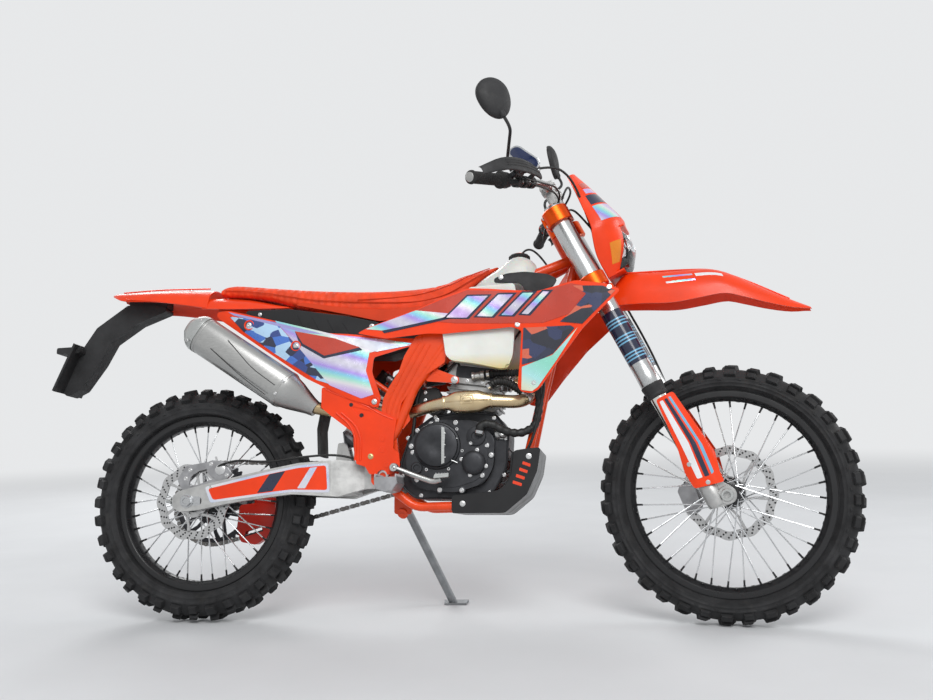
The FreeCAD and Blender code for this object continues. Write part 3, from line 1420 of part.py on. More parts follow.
def steered_nodes():
    """Everything that turns with the fork, in the fork's own frame."""
    return {
        "triple_clamps": triple_clamps(),
        "fork_outer_tubes": fork_outer_tubes(),
        "fork_legs": fork_legs(),
        "fork_guards": fork_guards(),
        "front_axle": front_axle(),
        "front_caliper": front_caliper(),
        "front_fender": front_fender(),
        "headlight_mask": headlight_mask(),
        "headlight": headlight(),
        "handlebar": handlebar(),
        "grips": grips(),
        "control_levers": control_levers(),
        "hand_guards": hand_guards(),
        "mirrors": mirrors(),
        "display_unit": display_unit(),
    }


def wheel_nodes(name, radius, width, bead_radius, rim_width, lug_height, hub_width, bore, disc_radius, disc_y):
    """One wheel about its own axle."""
    seats = [(math.copysign(abs(disc_y) - disc_thickness / 2 - seat_gap, disc_y), disc_bolt_circle + 6)]
    if name == "rear":
        seats.append((chain_line_y - sprocket_thickness / 2 - seat_gap, disc_bolt_circle + 16))
    return {
        name + "_tyre": tyre(radius, width, bead_radius, rim_width, lug_height),
        name + "_rim": rim(bead_radius, rim_width),
        name + "_hub_spokes": spoked_hub(hub_width, bead_radius, bore, seats),
        name + "_disc": wave_disc(disc_radius, disc_y),
    }


def placed_nodes():
    nodes = {}
    for name, shape in upright_nodes().items():
        nodes[name] = (shape, parked)
    for name, shape in steered_nodes().items():
        nodes[name] = (shape, parked * steered_fork)
    rear = wheel_nodes("rear", rear_tyre_radius, rear_tyre_width, rear_bead_radius, rear_rim_width,
                       rear_lug_height, rear_hub_width, rear_axle_radius + running_gap,
                       rear_disc_radius, rear_disc_y)
    rear["rear_sprocket"] = sprocket(rear_sprocket_teeth, Vector(0, chain_line_y, 0), disc_bolt_circle + 8, 8)
    front = wheel_nodes("front", front_tyre_radius, front_tyre_width, front_bead_radius, front_rim_width,
                        front_lug_height, front_hub_width, front_axle_radius + running_gap,
                        front_disc_radius, front_disc_y)
    rear_place = parked * Placement(rear_axle, Rotation())
    front_place = parked * steered_fork * Placement(Vector(axle_u, 0, axle_w), Rotation())
    for name, shape in rear.items():
        nodes[name] = (shape, rear_place)
    for name, shape in front.items():
        nodes[name] = (shape, front_place)
    return nodes


def settled_nodes():
    """Every node where it ends up, and the shift that brings the middle of the plan box to the origin."""
    settled = {}
    xs = []
    ys = []
    for name, (shape, place) in placed_nodes().items():
        shape.transformShape(place.toMatrix())
        for point in shape.tessellate(0.5)[0]:
            xs.append(point.x)
            ys.append(point.y)
        settled[name] = shape
    shift = Vector(-(min(xs) + max(xs)) / 2, -(min(ys) + max(ys)) / 2, 0)
    for shape in settled.values():
        shape.translate(shift)
    return settled, shift


def main():
    os.makedirs("parts", exist_ok=True)
    for name, shape in settled_nodes()[0].items():
        shape.exportStep("parts/" + name + ".step")


if __name__ == "__main__":
    main()
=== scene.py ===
import json
import math

import bmesh
import bpy
from mathutils import Matrix, Vector


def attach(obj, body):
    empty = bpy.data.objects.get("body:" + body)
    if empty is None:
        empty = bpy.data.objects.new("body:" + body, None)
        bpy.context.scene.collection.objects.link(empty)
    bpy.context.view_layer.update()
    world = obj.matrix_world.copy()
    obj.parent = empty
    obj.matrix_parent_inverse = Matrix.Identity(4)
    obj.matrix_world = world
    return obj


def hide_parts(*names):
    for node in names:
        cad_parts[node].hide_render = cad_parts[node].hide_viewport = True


bl_info = {
    "name": "Enduro motorcycle looks",
    "version": (1, 0, 0),
    "blender": (4, 5, 0),
    "location": "View3D > Sidebar > Enduro",
    "description": "Dresses the enduro motorcycle with its detailed pieces and finishes",
    "category": "Object",
}

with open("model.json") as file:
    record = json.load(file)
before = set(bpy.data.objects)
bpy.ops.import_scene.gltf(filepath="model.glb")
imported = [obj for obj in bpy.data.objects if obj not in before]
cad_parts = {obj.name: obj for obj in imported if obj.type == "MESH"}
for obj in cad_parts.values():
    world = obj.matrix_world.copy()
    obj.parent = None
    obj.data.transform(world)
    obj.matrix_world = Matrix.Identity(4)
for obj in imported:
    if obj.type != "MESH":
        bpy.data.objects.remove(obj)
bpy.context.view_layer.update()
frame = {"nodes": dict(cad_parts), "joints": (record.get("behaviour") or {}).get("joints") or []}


# Where things are drawn. Shapes are in millimetres, in one of these places:
# machine: x forward from the rear axle, y left, z up from the tyres' foot, as if it stood upright
# fork: x forward at right angles to the steering axis, z up along it, from the middle of the head tube
# rear_wheel and front_wheel: about the axle, which runs along y

rake = math.radians(26.5)
rear_tyre_radius = 336.0
front_tyre_radius = 346.5


def along_axes(forward, left, up, origin):
    """A place with its own three axes, scaled from millimetres to metres."""
    place = Matrix((forward, left, up)).transposed().to_4x4()
    place.translation = origin
    return place @ Matrix.Scale(0.001, 4)


def working_places():
    """The four drawing places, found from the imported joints."""
    joints = {joint["name"]: joint for joint in frame["joints"]}

    def line(name):
        return Vector(joints[name]["pos_m"]), Vector(joints[name]["axis"]).normalized()

    rear_hub, left = line("rear_wheel_spin")
    front_hub, turned_left = line("front_wheel_spin")
    head, steering = line("steering_turn")
    level = left.cross(steering)
    forward = level * math.cos(rake) - steering * math.sin(rake)
    up = level * math.sin(rake) + steering * math.cos(rake)
    across = turned_left.cross(steering)
    return {
        "machine": along_axes(forward, left, up, rear_hub - up * rear_tyre_radius / 1000),
        "fork": along_axes(across, turned_left, steering, head),
        "rear_wheel": along_axes(forward, left, up, rear_hub),
        "front_wheel": along_axes(across, turned_left, steering, front_hub),
    }


places = working_places()
riding_body = {"machine": "chassis", "fork": "steering", "rear_wheel": "rear_wheel", "front_wheel": "front_wheel"}


# Drawing

to_left, to_right, upward = (0, 1, 0), (0, -1, 0), (0, 0, 1)


def smoothed(table, at):
    """A value, or several, read off a table of (position, value, ...) rows by smooth curves."""
    rows = sorted(table)
    count = len(rows)
    at = min(max(at, rows[0][0]), rows[-1][0])
    i = 0
    while i < count - 2 and at > rows[i + 1][0]:
        i += 1
    low, high = rows[i], rows[i + 1]
    before, after = rows[max(i - 1, 0)], rows[min(i + 2, count - 1)]
    span = high[0] - low[0]
    t = (at - low[0]) / span
    values = []
    for k in range(1, len(low)):
        slope_low = (high[k] - before[k]) / (high[0] - before[0]) * span
        slope_high = (after[k] - low[k]) / (after[0] - low[0]) * span
        values.append(
            (2 * t ** 3 - 3 * t ** 2 + 1) * low[k] + (t ** 3 - 2 * t ** 2 + t) * slope_low
            + (3 * t ** 2 - 2 * t ** 3) * high[k] + (t ** 3 - t ** 2) * slope_high
        )
    return values[0] if len(values) == 1 else values


def softened(points, radius, steps=4, closed=True):
    """The same line with its corners rounded, for points in the plane or in space."""
    points = [Vector(p) for p in points]
    count = len(points)
    line = []
    for i, here in enumerate(points):
        if not closed and i in (0, count - 1):
            line.append(here)
            continue
        back = points[i - 1] - here
        ahead = points[(i + 1) % count] - here
        reach = min(radius, 0.45 * back.length, 0.45 * ahead.length)
        start = here + back.normalized() * reach
        end = here + ahead.normalized() * reach
        for k in range(steps + 1):
            t = k / steps
            line.append(start * (1 - t) ** 2 + here * 2 * t * (1 - t) + end * t ** 2)
    return line


def around(centre, axis, radius, count, first=0.0):
    """Points spaced evenly round an axis."""
    axis = Vector(axis).normalized()
    side = axis.orthogonal().normalized()
    other = axis.cross(side)
    turns = [first + math.tau * k / count for k in range(count)]
    return [Vector(centre) + (side * math.cos(a) + other * math.sin(a)) * radius for a in turns]


def polar(radius, y, turn):
    """A point of a wheel's plan: so far from the axle, so far to the left, so far round."""
    return Vector((radius * math.cos(turn), y, radius * math.sin(turn)))


def squared_circle(count, across, upright):
    """Points round a circle pressed towards a square by two powers, as shares of its half width and height."""
    points = []
    for k in range(count):
        c, s = math.cos(math.tau * k / count), math.sin(math.tau * k / count)
        points.append((math.copysign(abs(c) ** across, c), math.copysign(abs(s) ** upright, s)))
    return points


def lengths_along(line):
    """How far along a line each of its points is."""
    lengths = [0.0]
    for a, b in zip(line, line[1:]):
        lengths.append(lengths[-1] + (b - a).length)
    return lengths


def arm_section(reach, turn, wide, low, high):
    """A cross-section of an arm between y low and high, so far out from the axle."""
    return [polar(reach, level, turn + s * wide) for s, level in ((-1, low), (-1, high), (1, high), (1, low))]


class Drawing:
    """A mesh in millimetres, drawn with a workshop's moves: turn, cut, bend, loft and bolt."""

    def __init__(self, coat):
        self.mesh = bmesh.new()
        self.coats = []
        self.use(coat)

    def use(self, coat):
        """Gives whatever is drawn next this finish."""
        if coat not in self.coats:
            self.coats.append(coat)
        self.number = self.coats.index(coat)

    def face(self, corners):
        if len(set(corners)) < 3:
            return
        made = self.mesh.faces.new(corners)
        made.material_index = self.number

    def bridge(self, rings, caps=True, looped=False):
        """Joins rings of corners, each to the next, and the last to the first if they are looped."""
        count = len(rings[0])
        for i in range(len(rings) if looped else len(rings) - 1):
            near, far = rings[i], rings[(i + 1) % len(rings)]
            for k in range(count):
                n = (k + 1) % count
                self.face([near[k], near[n], far[n], far[k]])
        if caps and not looped:
            self.face(rings[0][::-1])
            self.face(rings[-1])
        return [corner for ring in rings for corner in ring]

    def corners(self, points):
        return [self.mesh.verts.new(Vector(p)) for p in points]

    def turn(self, profile, centre, axis, steps=48, closed=True):
        """Turns a profile of (distance along the axis, radius) round an axis; one that reaches it stays open."""
        axis = Vector(axis).normalized()
        rings = []
        for along, radius in profile:
            spots = around(Vector(centre) + axis * along, axis, max(radius, 0.001), steps)
            rings.append(self.corners(spots))
        closed = closed and min(profile[0][1], profile[-1][1]) > 0
        return self.bridge(rings, caps=False, looped=closed)

    def collar(self, low, high, inner, outer, edge, centre, axis, steps=32):
        """A ring from low to high along its axis, with broken outer edges."""
        return self.turn([(low, inner), (low, outer - edge), (low + edge, outer), (high - edge, outer),
                          (high, outer - edge), (high, inner)], centre, axis, steps)

    def rod(self, start, end, radius, steps=16):
        """A round bar with slightly broken ends."""
        length = (Vector(end) - Vector(start)).length
        edge = min(0.6, radius / 3, length / 3)
        profile = [(0, 0), (0, radius - edge), (edge, radius), (length - edge, radius), (length, radius - edge),
                   (length, 0)]
        return self.turn(profile, start, Vector(end) - Vector(start), steps)

    def plate(self, outline, low, high, edge=0.0, corner=0.0, steps=3):
        """A side-view outline of (x, z) made solid between two levels of y."""
        low, high = sorted((low, high))
        line = softened(outline, corner, steps) if corner else [Vector(p) for p in outline]
        near = self.corners([(p[0], low, p[1]) for p in line])
        far = self.corners([(p[0], high, p[1]) for p in line])
        made = self.bridge([near, far])
        if edge:
            rims = [self.mesh.edges.get((ring[k - 1], ring[k])) for ring in (near, far) for k in range(len(ring))]
            cut = bmesh.ops.bevel(self.mesh, material=self.number, geom=rims, offset=edge, segments=2,
                                  affect="EDGES", clamp_overlap=True)
            made = list({v for v in made if v.is_valid} | set(cut["verts"]))
        return made

    def loft(self, sections):
        return self.bridge([self.corners(section) for section in sections])

    def pipe(self, points, radius, bend=20.0, sides=12, steps=5, closed=False):
        """A round bar, or one of changing radius, along a bent line."""
        line = softened(points, bend, steps, closed) if bend else [Vector(p) for p in points]
        radii = radius if callable(radius) else lambda share: radius
        count = len(line)
        ahead = (line[1] - line[0]).normalized()
        side = ahead.orthogonal().normalized()
        rings = []
        for i, here in enumerate(line):
            before = line[i - 1] if i or closed else here
            after = line[(i + 1) % count] if i < count - 1 or closed else here
            now = (after - before).normalized()
            side = (side - now * side.dot(now)).normalized()
            other = now.cross(side)
            r = radii(i / (count - 1))
            rings.append(self.corners([
                here + (side * math.cos(a) + other * math.sin(a)) * r
                for a in (math.tau * k / sides for k in range(sides))
            ]))
        return self.bridge(rings, looped=closed)

    def bolt(self, spot, axis, radius=4.0, height=4.0):
        """A flanged screw with a six-sided socket in its round head."""
        axis = Vector(axis).normalized()
        flange = 0.3 * height
        made = self.turn([(-0.5, 0), (-0.5, 1.35 * radius), (flange, 1.3 * radius), (flange + 0.2, radius),
                          (0.85 * height, radius), (height, 0.85 * radius), (height, 0.5 * radius)],
                         spot, axis, 18)
        made += self.turn([(height, 0.5 * radius), (0.4 * height, 0.48 * radius), (0.4 * height, 0)],
                          spot, axis, 18)
        return made

    def side_bolts(self, spots, y, radius=4.0, height=4.0):
        """Screws at the same (x, z) spots on both sides of the machine."""
        for side in (-1, 1):
            for x, z in spots:
                self.bolt((x, side * y, z), (0, side, 0), radius, height)

    def nut(self, spot, axis, radius=6.0, height=6.0):
        """A six-sided nut or head on a round washer."""
        made = self.turn([(-0.5, 0), (-0.5, 1.35 * radius), (1.2, 1.35 * radius), (1.2, 0)], spot, axis, 20)
        made += self.turn([(1.2, 0), (1.2, radius), (height - 0.8, radius), (height, 0.86 * radius),
                           (height, 0.4 * radius), (0.6 * height, 0.38 * radius), (0.6 * height, 0)],
                          spot, axis, 6)
        return made

    def skin(self, outline, side_at, thickness, cell, corner):
        """A sheet cut to a side-view outline and laid at y = side_at(x, z), on both sides."""
        line = softened(outline, corner, 4)
        sheet = bmesh.new()
        sheet.faces.new([sheet.verts.new((p[0], 0, p[1])) for p in line])
        for i, normal in ((0, (1, 0, 0)), (1, (0, 0, 1))):
            low = min(p[i] for p in line)
            high = max(p[i] for p in line)
            cuts = max(1, round((high - low) / cell))
            for k in range(1, cuts):
                level = low + (high - low) * k / cuts
                spot = (level, 0, 0) if i == 0 else (0, 0, level)
                bmesh.ops.bisect_plane(sheet, geom=sheet.verts[:] + sheet.edges[:] + sheet.faces[:],
                                       plane_co=spot, plane_no=normal, dist=0.01)
        for side in (-1, 1):
            pairs = {}
            for v in sheet.verts:
                y = side_at(v.co.x, v.co.z)
                outer = self.mesh.verts.new((v.co.x, side * y, v.co.z))
                inner = self.mesh.verts.new((v.co.x, side * (y - thickness), v.co.z))
                pairs[v] = (outer, inner)
            for f in sheet.faces:
                self.face([pairs[v][0] for v in f.verts])
                self.face([pairs[v][1] for v in reversed(f.verts[:])])
            for e in sheet.edges:
                if len(e.link_faces) == 1:
                    a, b = e.verts
                    self.face([pairs[a][0], pairs[b][0], pairs[b][1], pairs[a][1]])
        sheet.free()

    def move(self, corners, place):
        bmesh.ops.transform(self.mesh, matrix=place, verts=[v for v in corners if v.is_valid])

    def build(self, name, place, stands_for=(), sharp=34):
        """Makes the piece, puts it in its place and fixes it to its body, with its finishes in the order they were
        first used.
        """
        bmesh.ops.remove_doubles(self.mesh, verts=self.mesh.verts[:], dist=0.004)
        bmesh.ops.recalc_face_normals(self.mesh, faces=self.mesh.faces[:])
        mesh = bpy.data.meshes.new(name)
        self.mesh.to_mesh(mesh)
        self.mesh.free()
        mesh.transform(places[place])
        for coat in self.coats:
            mesh.materials.append(finishes[coat])
        mesh.shade_smooth()
        mesh.set_sharp_from_angle(angle=math.radians(sharp))
        made = bpy.data.objects.new(name, mesh)
        bpy.context.scene.collection.objects.link(made)
        return settle(made, place, stands_for)


def settle(made, place, stands_for=()):
    """Fixes a piece to the body that carries it and hides the solids it stands for."""
    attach(made, riding_body[place])
    if stands_for:
        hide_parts(*stands_for)
    return made


def line_piece(name, place, points, radius):
    """A rubber hose, cable or wire that runs smoothly past its points."""
    curve = bpy.data.curves.new(name, "CURVE")
    curve.dimensions = "3D"
    curve.bevel_depth = radius / 1000
    curve.bevel_resolution = 4
    curve.resolution_u = 8
    curve.use_fill_caps = True
    spline = curve.splines.new("NURBS")
    spline.points.add(len(points) - 1)
    for knot, point in zip(spline.points, points):
        knot.co = (*(places[place] @ Vector(point)), 1)
    spline.order_u = 3
    spline.use_endpoint_u = True
    curve.materials.append(finishes["hose_rubber"])
    made = bpy.data.objects.new(name, curve)
    bpy.context.scene.collection.objects.link(made)
    return settle(made, place)


# Finishes

class Nodes:
    """Adds nodes with their settings and links in one step."""

    def __init__(self, tree):
        self.nodes = tree.nodes
        self.links = tree.links

    def node(self, kind, links=None, **settings):
        made = self.nodes.new("ShaderNode" + kind)
        for key, value in settings.items():
            setattr(made, key, value)
        for key, source in (links or {}).items():
            if isinstance(source, bpy.types.NodeSocket):
                self.links.new(source, made.inputs[key])
            else:
                made.inputs[key].default_value = source
        return made

    def seen_directly(self):
        """1 for what the camera, a mirror or a lens sees, 0 for light that falls on things."""
        rays = self.node("LightPath").outputs
        share = self.node("Math", {0: rays["Is Camera Ray"], 1: rays["Is Glossy Ray"]}, operation="MAXIMUM")
        return self.node("Math", {0: share.outputs[0], 1: rays["Is Transmission Ray"]},
                         operation="MAXIMUM").outputs[0]


class Finish(Nodes):
    """One procedural material, put together from short steps."""

    def __init__(self, name, colour, metallic, roughness, **sockets):
        self.material = bpy.data.materials.new(name)
        self.material.use_nodes = True
        super().__init__(self.material.node_tree)
        self.shader = self.nodes["Principled BSDF"]
        self.spot = self.nodes.new("ShaderNodeTexCoord").outputs["Object"]
        self.shader.inputs["Base Color"].default_value = (*colour, 1)
        self.shader.inputs["Metallic"].default_value = metallic
        self.shader.inputs["Roughness"].default_value = roughness
        for socket, value in sockets.items():
            self.shader.inputs[socket.replace("_", " ")].default_value = value
        self.normal = None
        self.colour = None

    def stretched(self, stretch):
        return self.node("Mapping", {"Vector": self.spot, "Scale": stretch}).outputs[0]

    def noise(self, scale, detail=3.0, stretch=None):
        where = self.stretched(stretch) if stretch else self.spot
        return self.node("TexNoise", {"Vector": where, "Scale": scale, "Detail": detail,
                                      "Roughness": 0.55}).outputs[0]

    def cells(self, scale, stretch=None):
        where = self.stretched(stretch) if stretch else self.spot
        return self.node("TexVoronoi", {"Vector": where, "Scale": scale})

    def ramp(self, source, stops, sudden=False):
        """Colours along a value from 0 to 1."""
        made = self.node("ValToRGB", {0: source})
        made.color_ramp.interpolation = "CONSTANT" if sudden else "LINEAR"
        marks = made.color_ramp.elements
        while len(marks) < len(stops):
            marks.new(0.5)
        for mark, (at, colour) in zip(marks, stops):
            mark.position = at
            mark.color = (*colour, 1)
        return made.outputs[0]

    def mixed(self, share, first, second):
        made = self.node("Mix", data_type="RGBA")
        for k, source in ((0, share), (6, first), (7, second)):
            if isinstance(source, bpy.types.NodeSocket):
                self.links.new(source, made.inputs[k])
            else:
                made.inputs[k].default_value = (*source, 1) if k else source
        return made.outputs[2]

    def paint(self, source):
        self.colour = source
        self.links.new(source, self.shader.inputs["Base Color"])
        return self

    def mottle(self, colour, dark, light, scale, stretch=None):
        """A colour that drifts between a darker and a lighter share of itself."""
        return self.paint(self.ramp(self.noise(scale, 4.0, stretch), [(0.35, scaled(colour, dark)),
                                                                      (0.65, scaled(colour, light))]))

    def soil(self, tone, scale, low=0.55, high=0.8, amount=0.5):
        """Dust or wear of another tone, in patches over the colour so far."""
        patches = self.node("MapRange", {0: self.noise(scale, 6.0), 1: low, 2: high, 3: 0.0, 4: amount}).outputs[0]
        return self.paint(self.mixed(patches, self.colour, tone))

    def sheen_spread(self, low, high, scale, stretch=None):
        """Roughness that varies over the surface."""
        spread = self.node("MapRange", {0: self.noise(scale, 4.0, stretch), 1: 0.3, 2: 0.7, 3: low, 4: high})
        self.links.new(spread.outputs[0], self.shader.inputs["Roughness"])
        return self

    def relief(self, height, strength, distance):
        """Bumps of a height given in metres at full strength."""
        links = {"Strength": strength, "Distance": distance, "Height": height}
        if self.normal:
            links["Normal"] = self.normal
        self.normal = self.node("Bump", links).outputs[0]
        self.links.new(self.normal, self.shader.inputs["Normal"])
        return self

    def grain(self, scale, strength=0.3, distance=0.0003, detail=3.0, stretch=None):
        return self.relief(self.noise(scale, detail, stretch), strength, distance)


def scaled(colour, factor):
    return tuple(min(1.0, channel * factor) for channel in colour)


def moulded(name, colour, roughness=0.38, coat=0.0):
    """Injection-moulded plastic with a faint ripple and slight colour drift."""
    made = Finish(name, colour, 0.0, roughness, Coat_Weight=coat, Coat_Roughness=0.12, Specular_IOR_Level=0.3)
    made.mottle(colour, 0.9, 1.06, 9.0)
    made.soil(scaled(colour, 0.62), 38.0, 0.62, 0.9, 0.25)
    made.sheen_spread(roughness - 0.08, roughness + 0.1, 22.0)
    made.grain(900.0, 0.12, 0.00015).grain(38.0, 0.08, 0.0006)
    return made.material


def pebbled(name, colour, roughness=0.62):
    """Textured plastic or rubber with a fine pebble grain."""
    made = Finish(name, colour, 0.0, roughness, Specular_IOR_Level=0.4)
    made.mottle(colour, 0.75, 1.35, 16.0)
    made.soil((0.10, 0.092, 0.08), 55.0, 0.6, 0.95, 0.22)
    made.sheen_spread(roughness - 0.1, roughness + 0.12, 30.0)
    made.relief(made.cells(1500.0).outputs[0], 0.35, 0.0004)
    return made.material


def cast_metal(name, colour, roughness):
    """Sand-cast or painted metal with a fine bumpy skin."""
    made = Finish(name, colour, 0.85, roughness)
    made.mottle(colour, 0.8, 1.08, 24.0)
    made.soil(scaled(colour, 0.45), 70.0, 0.55, 0.85, 0.45)
    made.sheen_spread(roughness - 0.1, roughness + 0.14, 40.0)
    made.grain(650.0, 0.35, 0.0003)
    return made.material


def brushed(name, colour, roughness=0.28, stretch=(6.0, 160.0, 160.0)):
    """Metal with fine lines from brushing or turning."""
    made = Finish(name, colour, 1.0, roughness)
    made.mottle(colour, 0.82, 1.05, 8.0, stretch=stretch)
    made.soil(scaled(colour, 0.6), 60.0, 0.6, 0.9, 0.3)
    made.sheen_spread(roughness - 0.08, roughness + 0.12, 10.0, stretch)
    made.grain(12.0, 0.12, 0.0002, 5.0, stretch)
    return made.material


def polished(name, colour, roughness=0.12):
    """Bright metal with faint smears."""
    made = Finish(name, colour, 1.0, roughness)
    made.mottle(colour, 0.9, 1.03, 30.0)
    made.sheen_spread(roughness, roughness + 0.12, 45.0)
    made.grain(160.0, 0.06, 0.0001)
    return made.material


def painted_steel(name, colour):
    """Powder coat with orange-peel texture."""
    made = Finish(name, colour, 0.0, 0.34, Coat_Weight=0.2, Coat_Roughness=0.14, Specular_IOR_Level=0.35)
    made.mottle(colour, 0.88, 1.05, 12.0)
    made.soil(scaled(colour, 0.5), 60.0, 0.6, 0.9, 0.35)
    made.sheen_spread(0.24, 0.42, 26.0)
    made.grain(420.0, 0.22, 0.0003)
    return made.material


def foil(name, tones, scale=7.0):
    """Metallic film printed with soft bands of several tones."""
    made = Finish(name, tones[0], 0.55, 0.22, Coat_Weight=0.8, Coat_Roughness=0.06)
    bands = made.node("TexWave", {"Vector": made.stretched((1.0, 1.0, 1.6)), "Scale": scale / 4, "Distortion": 3.0,
                                  "Detail": 1.0, "Detail Scale": 0.8}, bands_direction="DIAGONAL")
    stops = [(k / (len(tones) - 1), tone) for k, tone in enumerate(tones)]
    made.paint(made.ramp(bands.outputs[1], stops))
    made.sheen_spread(0.16, 0.3, 60.0)
    made.grain(1200.0, 0.1, 0.0001)
    return made.material


def camouflage(name, tones, scale=24.0):
    """Printed film with angular patches of a few tones."""
    made = Finish(name, tones[0], 0.0, 0.3, Coat_Weight=0.7, Coat_Roughness=0.08)
    patches = made.cells(scale, (1.0, 1.0, 1.5))
    value = made.node("SeparateColor", {0: patches.outputs[1]}).outputs[0]
    stops = [(k / len(tones), tone) for k, tone in enumerate(tones)]
    made.paint(made.ramp(value, stops, sudden=True))
    made.sheen_spread(0.24, 0.36, 50.0)
    made.grain(1200.0, 0.1, 0.0001)
    return made.material


def tyre_rubber(name, colour):
    made = Finish(name, colour, 0.0, 0.75, Specular_IOR_Level=0.35)
    made.mottle(colour, 0.7, 1.5, 20.0)
    made.soil((0.085, 0.078, 0.068), 34.0, 0.55, 0.9, 0.28)
    made.sheen_spread(0.62, 0.88, 28.0)
    made.grain(320.0, 0.35, 0.0006).grain(1500.0, 0.2, 0.0002)
    return made.material


def milky_tank(name, colour, low_colour):
    """Natural nylon: pale above, with the fuel showing through lower down."""
    made = Finish(name, colour, 0.0, 0.36, Subsurface_Weight=0.25, Subsurface_Scale=0.03)
    height = made.node("SeparateXYZ", {0: made.spot}).outputs[2]
    level = made.node("MapRange", {0: height, 1: 0.70, 2: 0.74, 3: 1.0, 4: 0.0}).outputs[0]
    cloudy = made.ramp(made.noise(12.0, 4.0), [(0.35, scaled(colour, 0.93)), (0.65, scaled(colour, 1.03))])
    made.paint(made.mixed(level, cloudy, low_colour))
    made.sheen_spread(0.28, 0.44, 18.0)
    made.grain(500.0, 0.15, 0.0002)
    return made.material


def heat_tinted(name, colour):
    """Bare exhaust pipe, straw to brown where it gets hot."""
    made = Finish(name, colour, 1.0, 0.26)
    drift = made.noise(7.0, 3.0)
    made.paint(made.ramp(drift, [(0.3, (0.42, 0.30, 0.16)), (0.5, colour), (0.72, (0.62, 0.58, 0.48))]))
    made.soil((0.20, 0.13, 0.09), 60.0, 0.58, 0.9, 0.35)
    made.sheen_spread(0.2, 0.38, 30.0)
    made.grain(200.0, 0.1, 0.0002)
    return made.material


def clear_lens(name):
    made = Finish(name, (0.97, 0.98, 1.0), 0.0, 0.03, Transmission_Weight=1.0, IOR=1.45)
    made.paint(made.ramp(made.noise(30.0, 4.0), [(0.35, (0.93, 0.95, 0.97)), (0.65, (0.99, 1.0, 1.0))]))
    made.grain(90.0, 0.04, 0.0001)
    return made.material


def woven_seat(name, colour):
    """Gripper cover: a fine weave, with raised ribs across its rear half."""
    made = Finish(name, colour, 0.0, 0.7, Sheen_Weight=0.06, Sheen_Roughness=0.4)
    made.mottle(colour, 0.82, 1.08, 30.0)
    made.soil(scaled(colour, 0.5), 26.0, 0.6, 0.9, 0.3)
    made.sheen_spread(0.6, 0.82, 40.0)
    weave = made.node("TexChecker", {"Vector": made.spot, "Scale": 900.0}).outputs[1]
    made.relief(weave, 0.25, 0.0003)
    ribs = made.node("TexWave", {"Vector": made.spot, "Scale": 15.0}, bands_direction="X").outputs[1]
    along = made.node("SeparateXYZ", {0: made.spot}).outputs[0]
    behind = made.node("MapRange", {0: along, 1: -0.22, 2: -0.26}).outputs[0]
    made.relief(made.node("Math", {0: ribs, 1: behind}, operation="MULTIPLY").outputs[0], 0.7, 0.003)
    made.grain(260.0, 0.3, 0.0004)
    return made.material


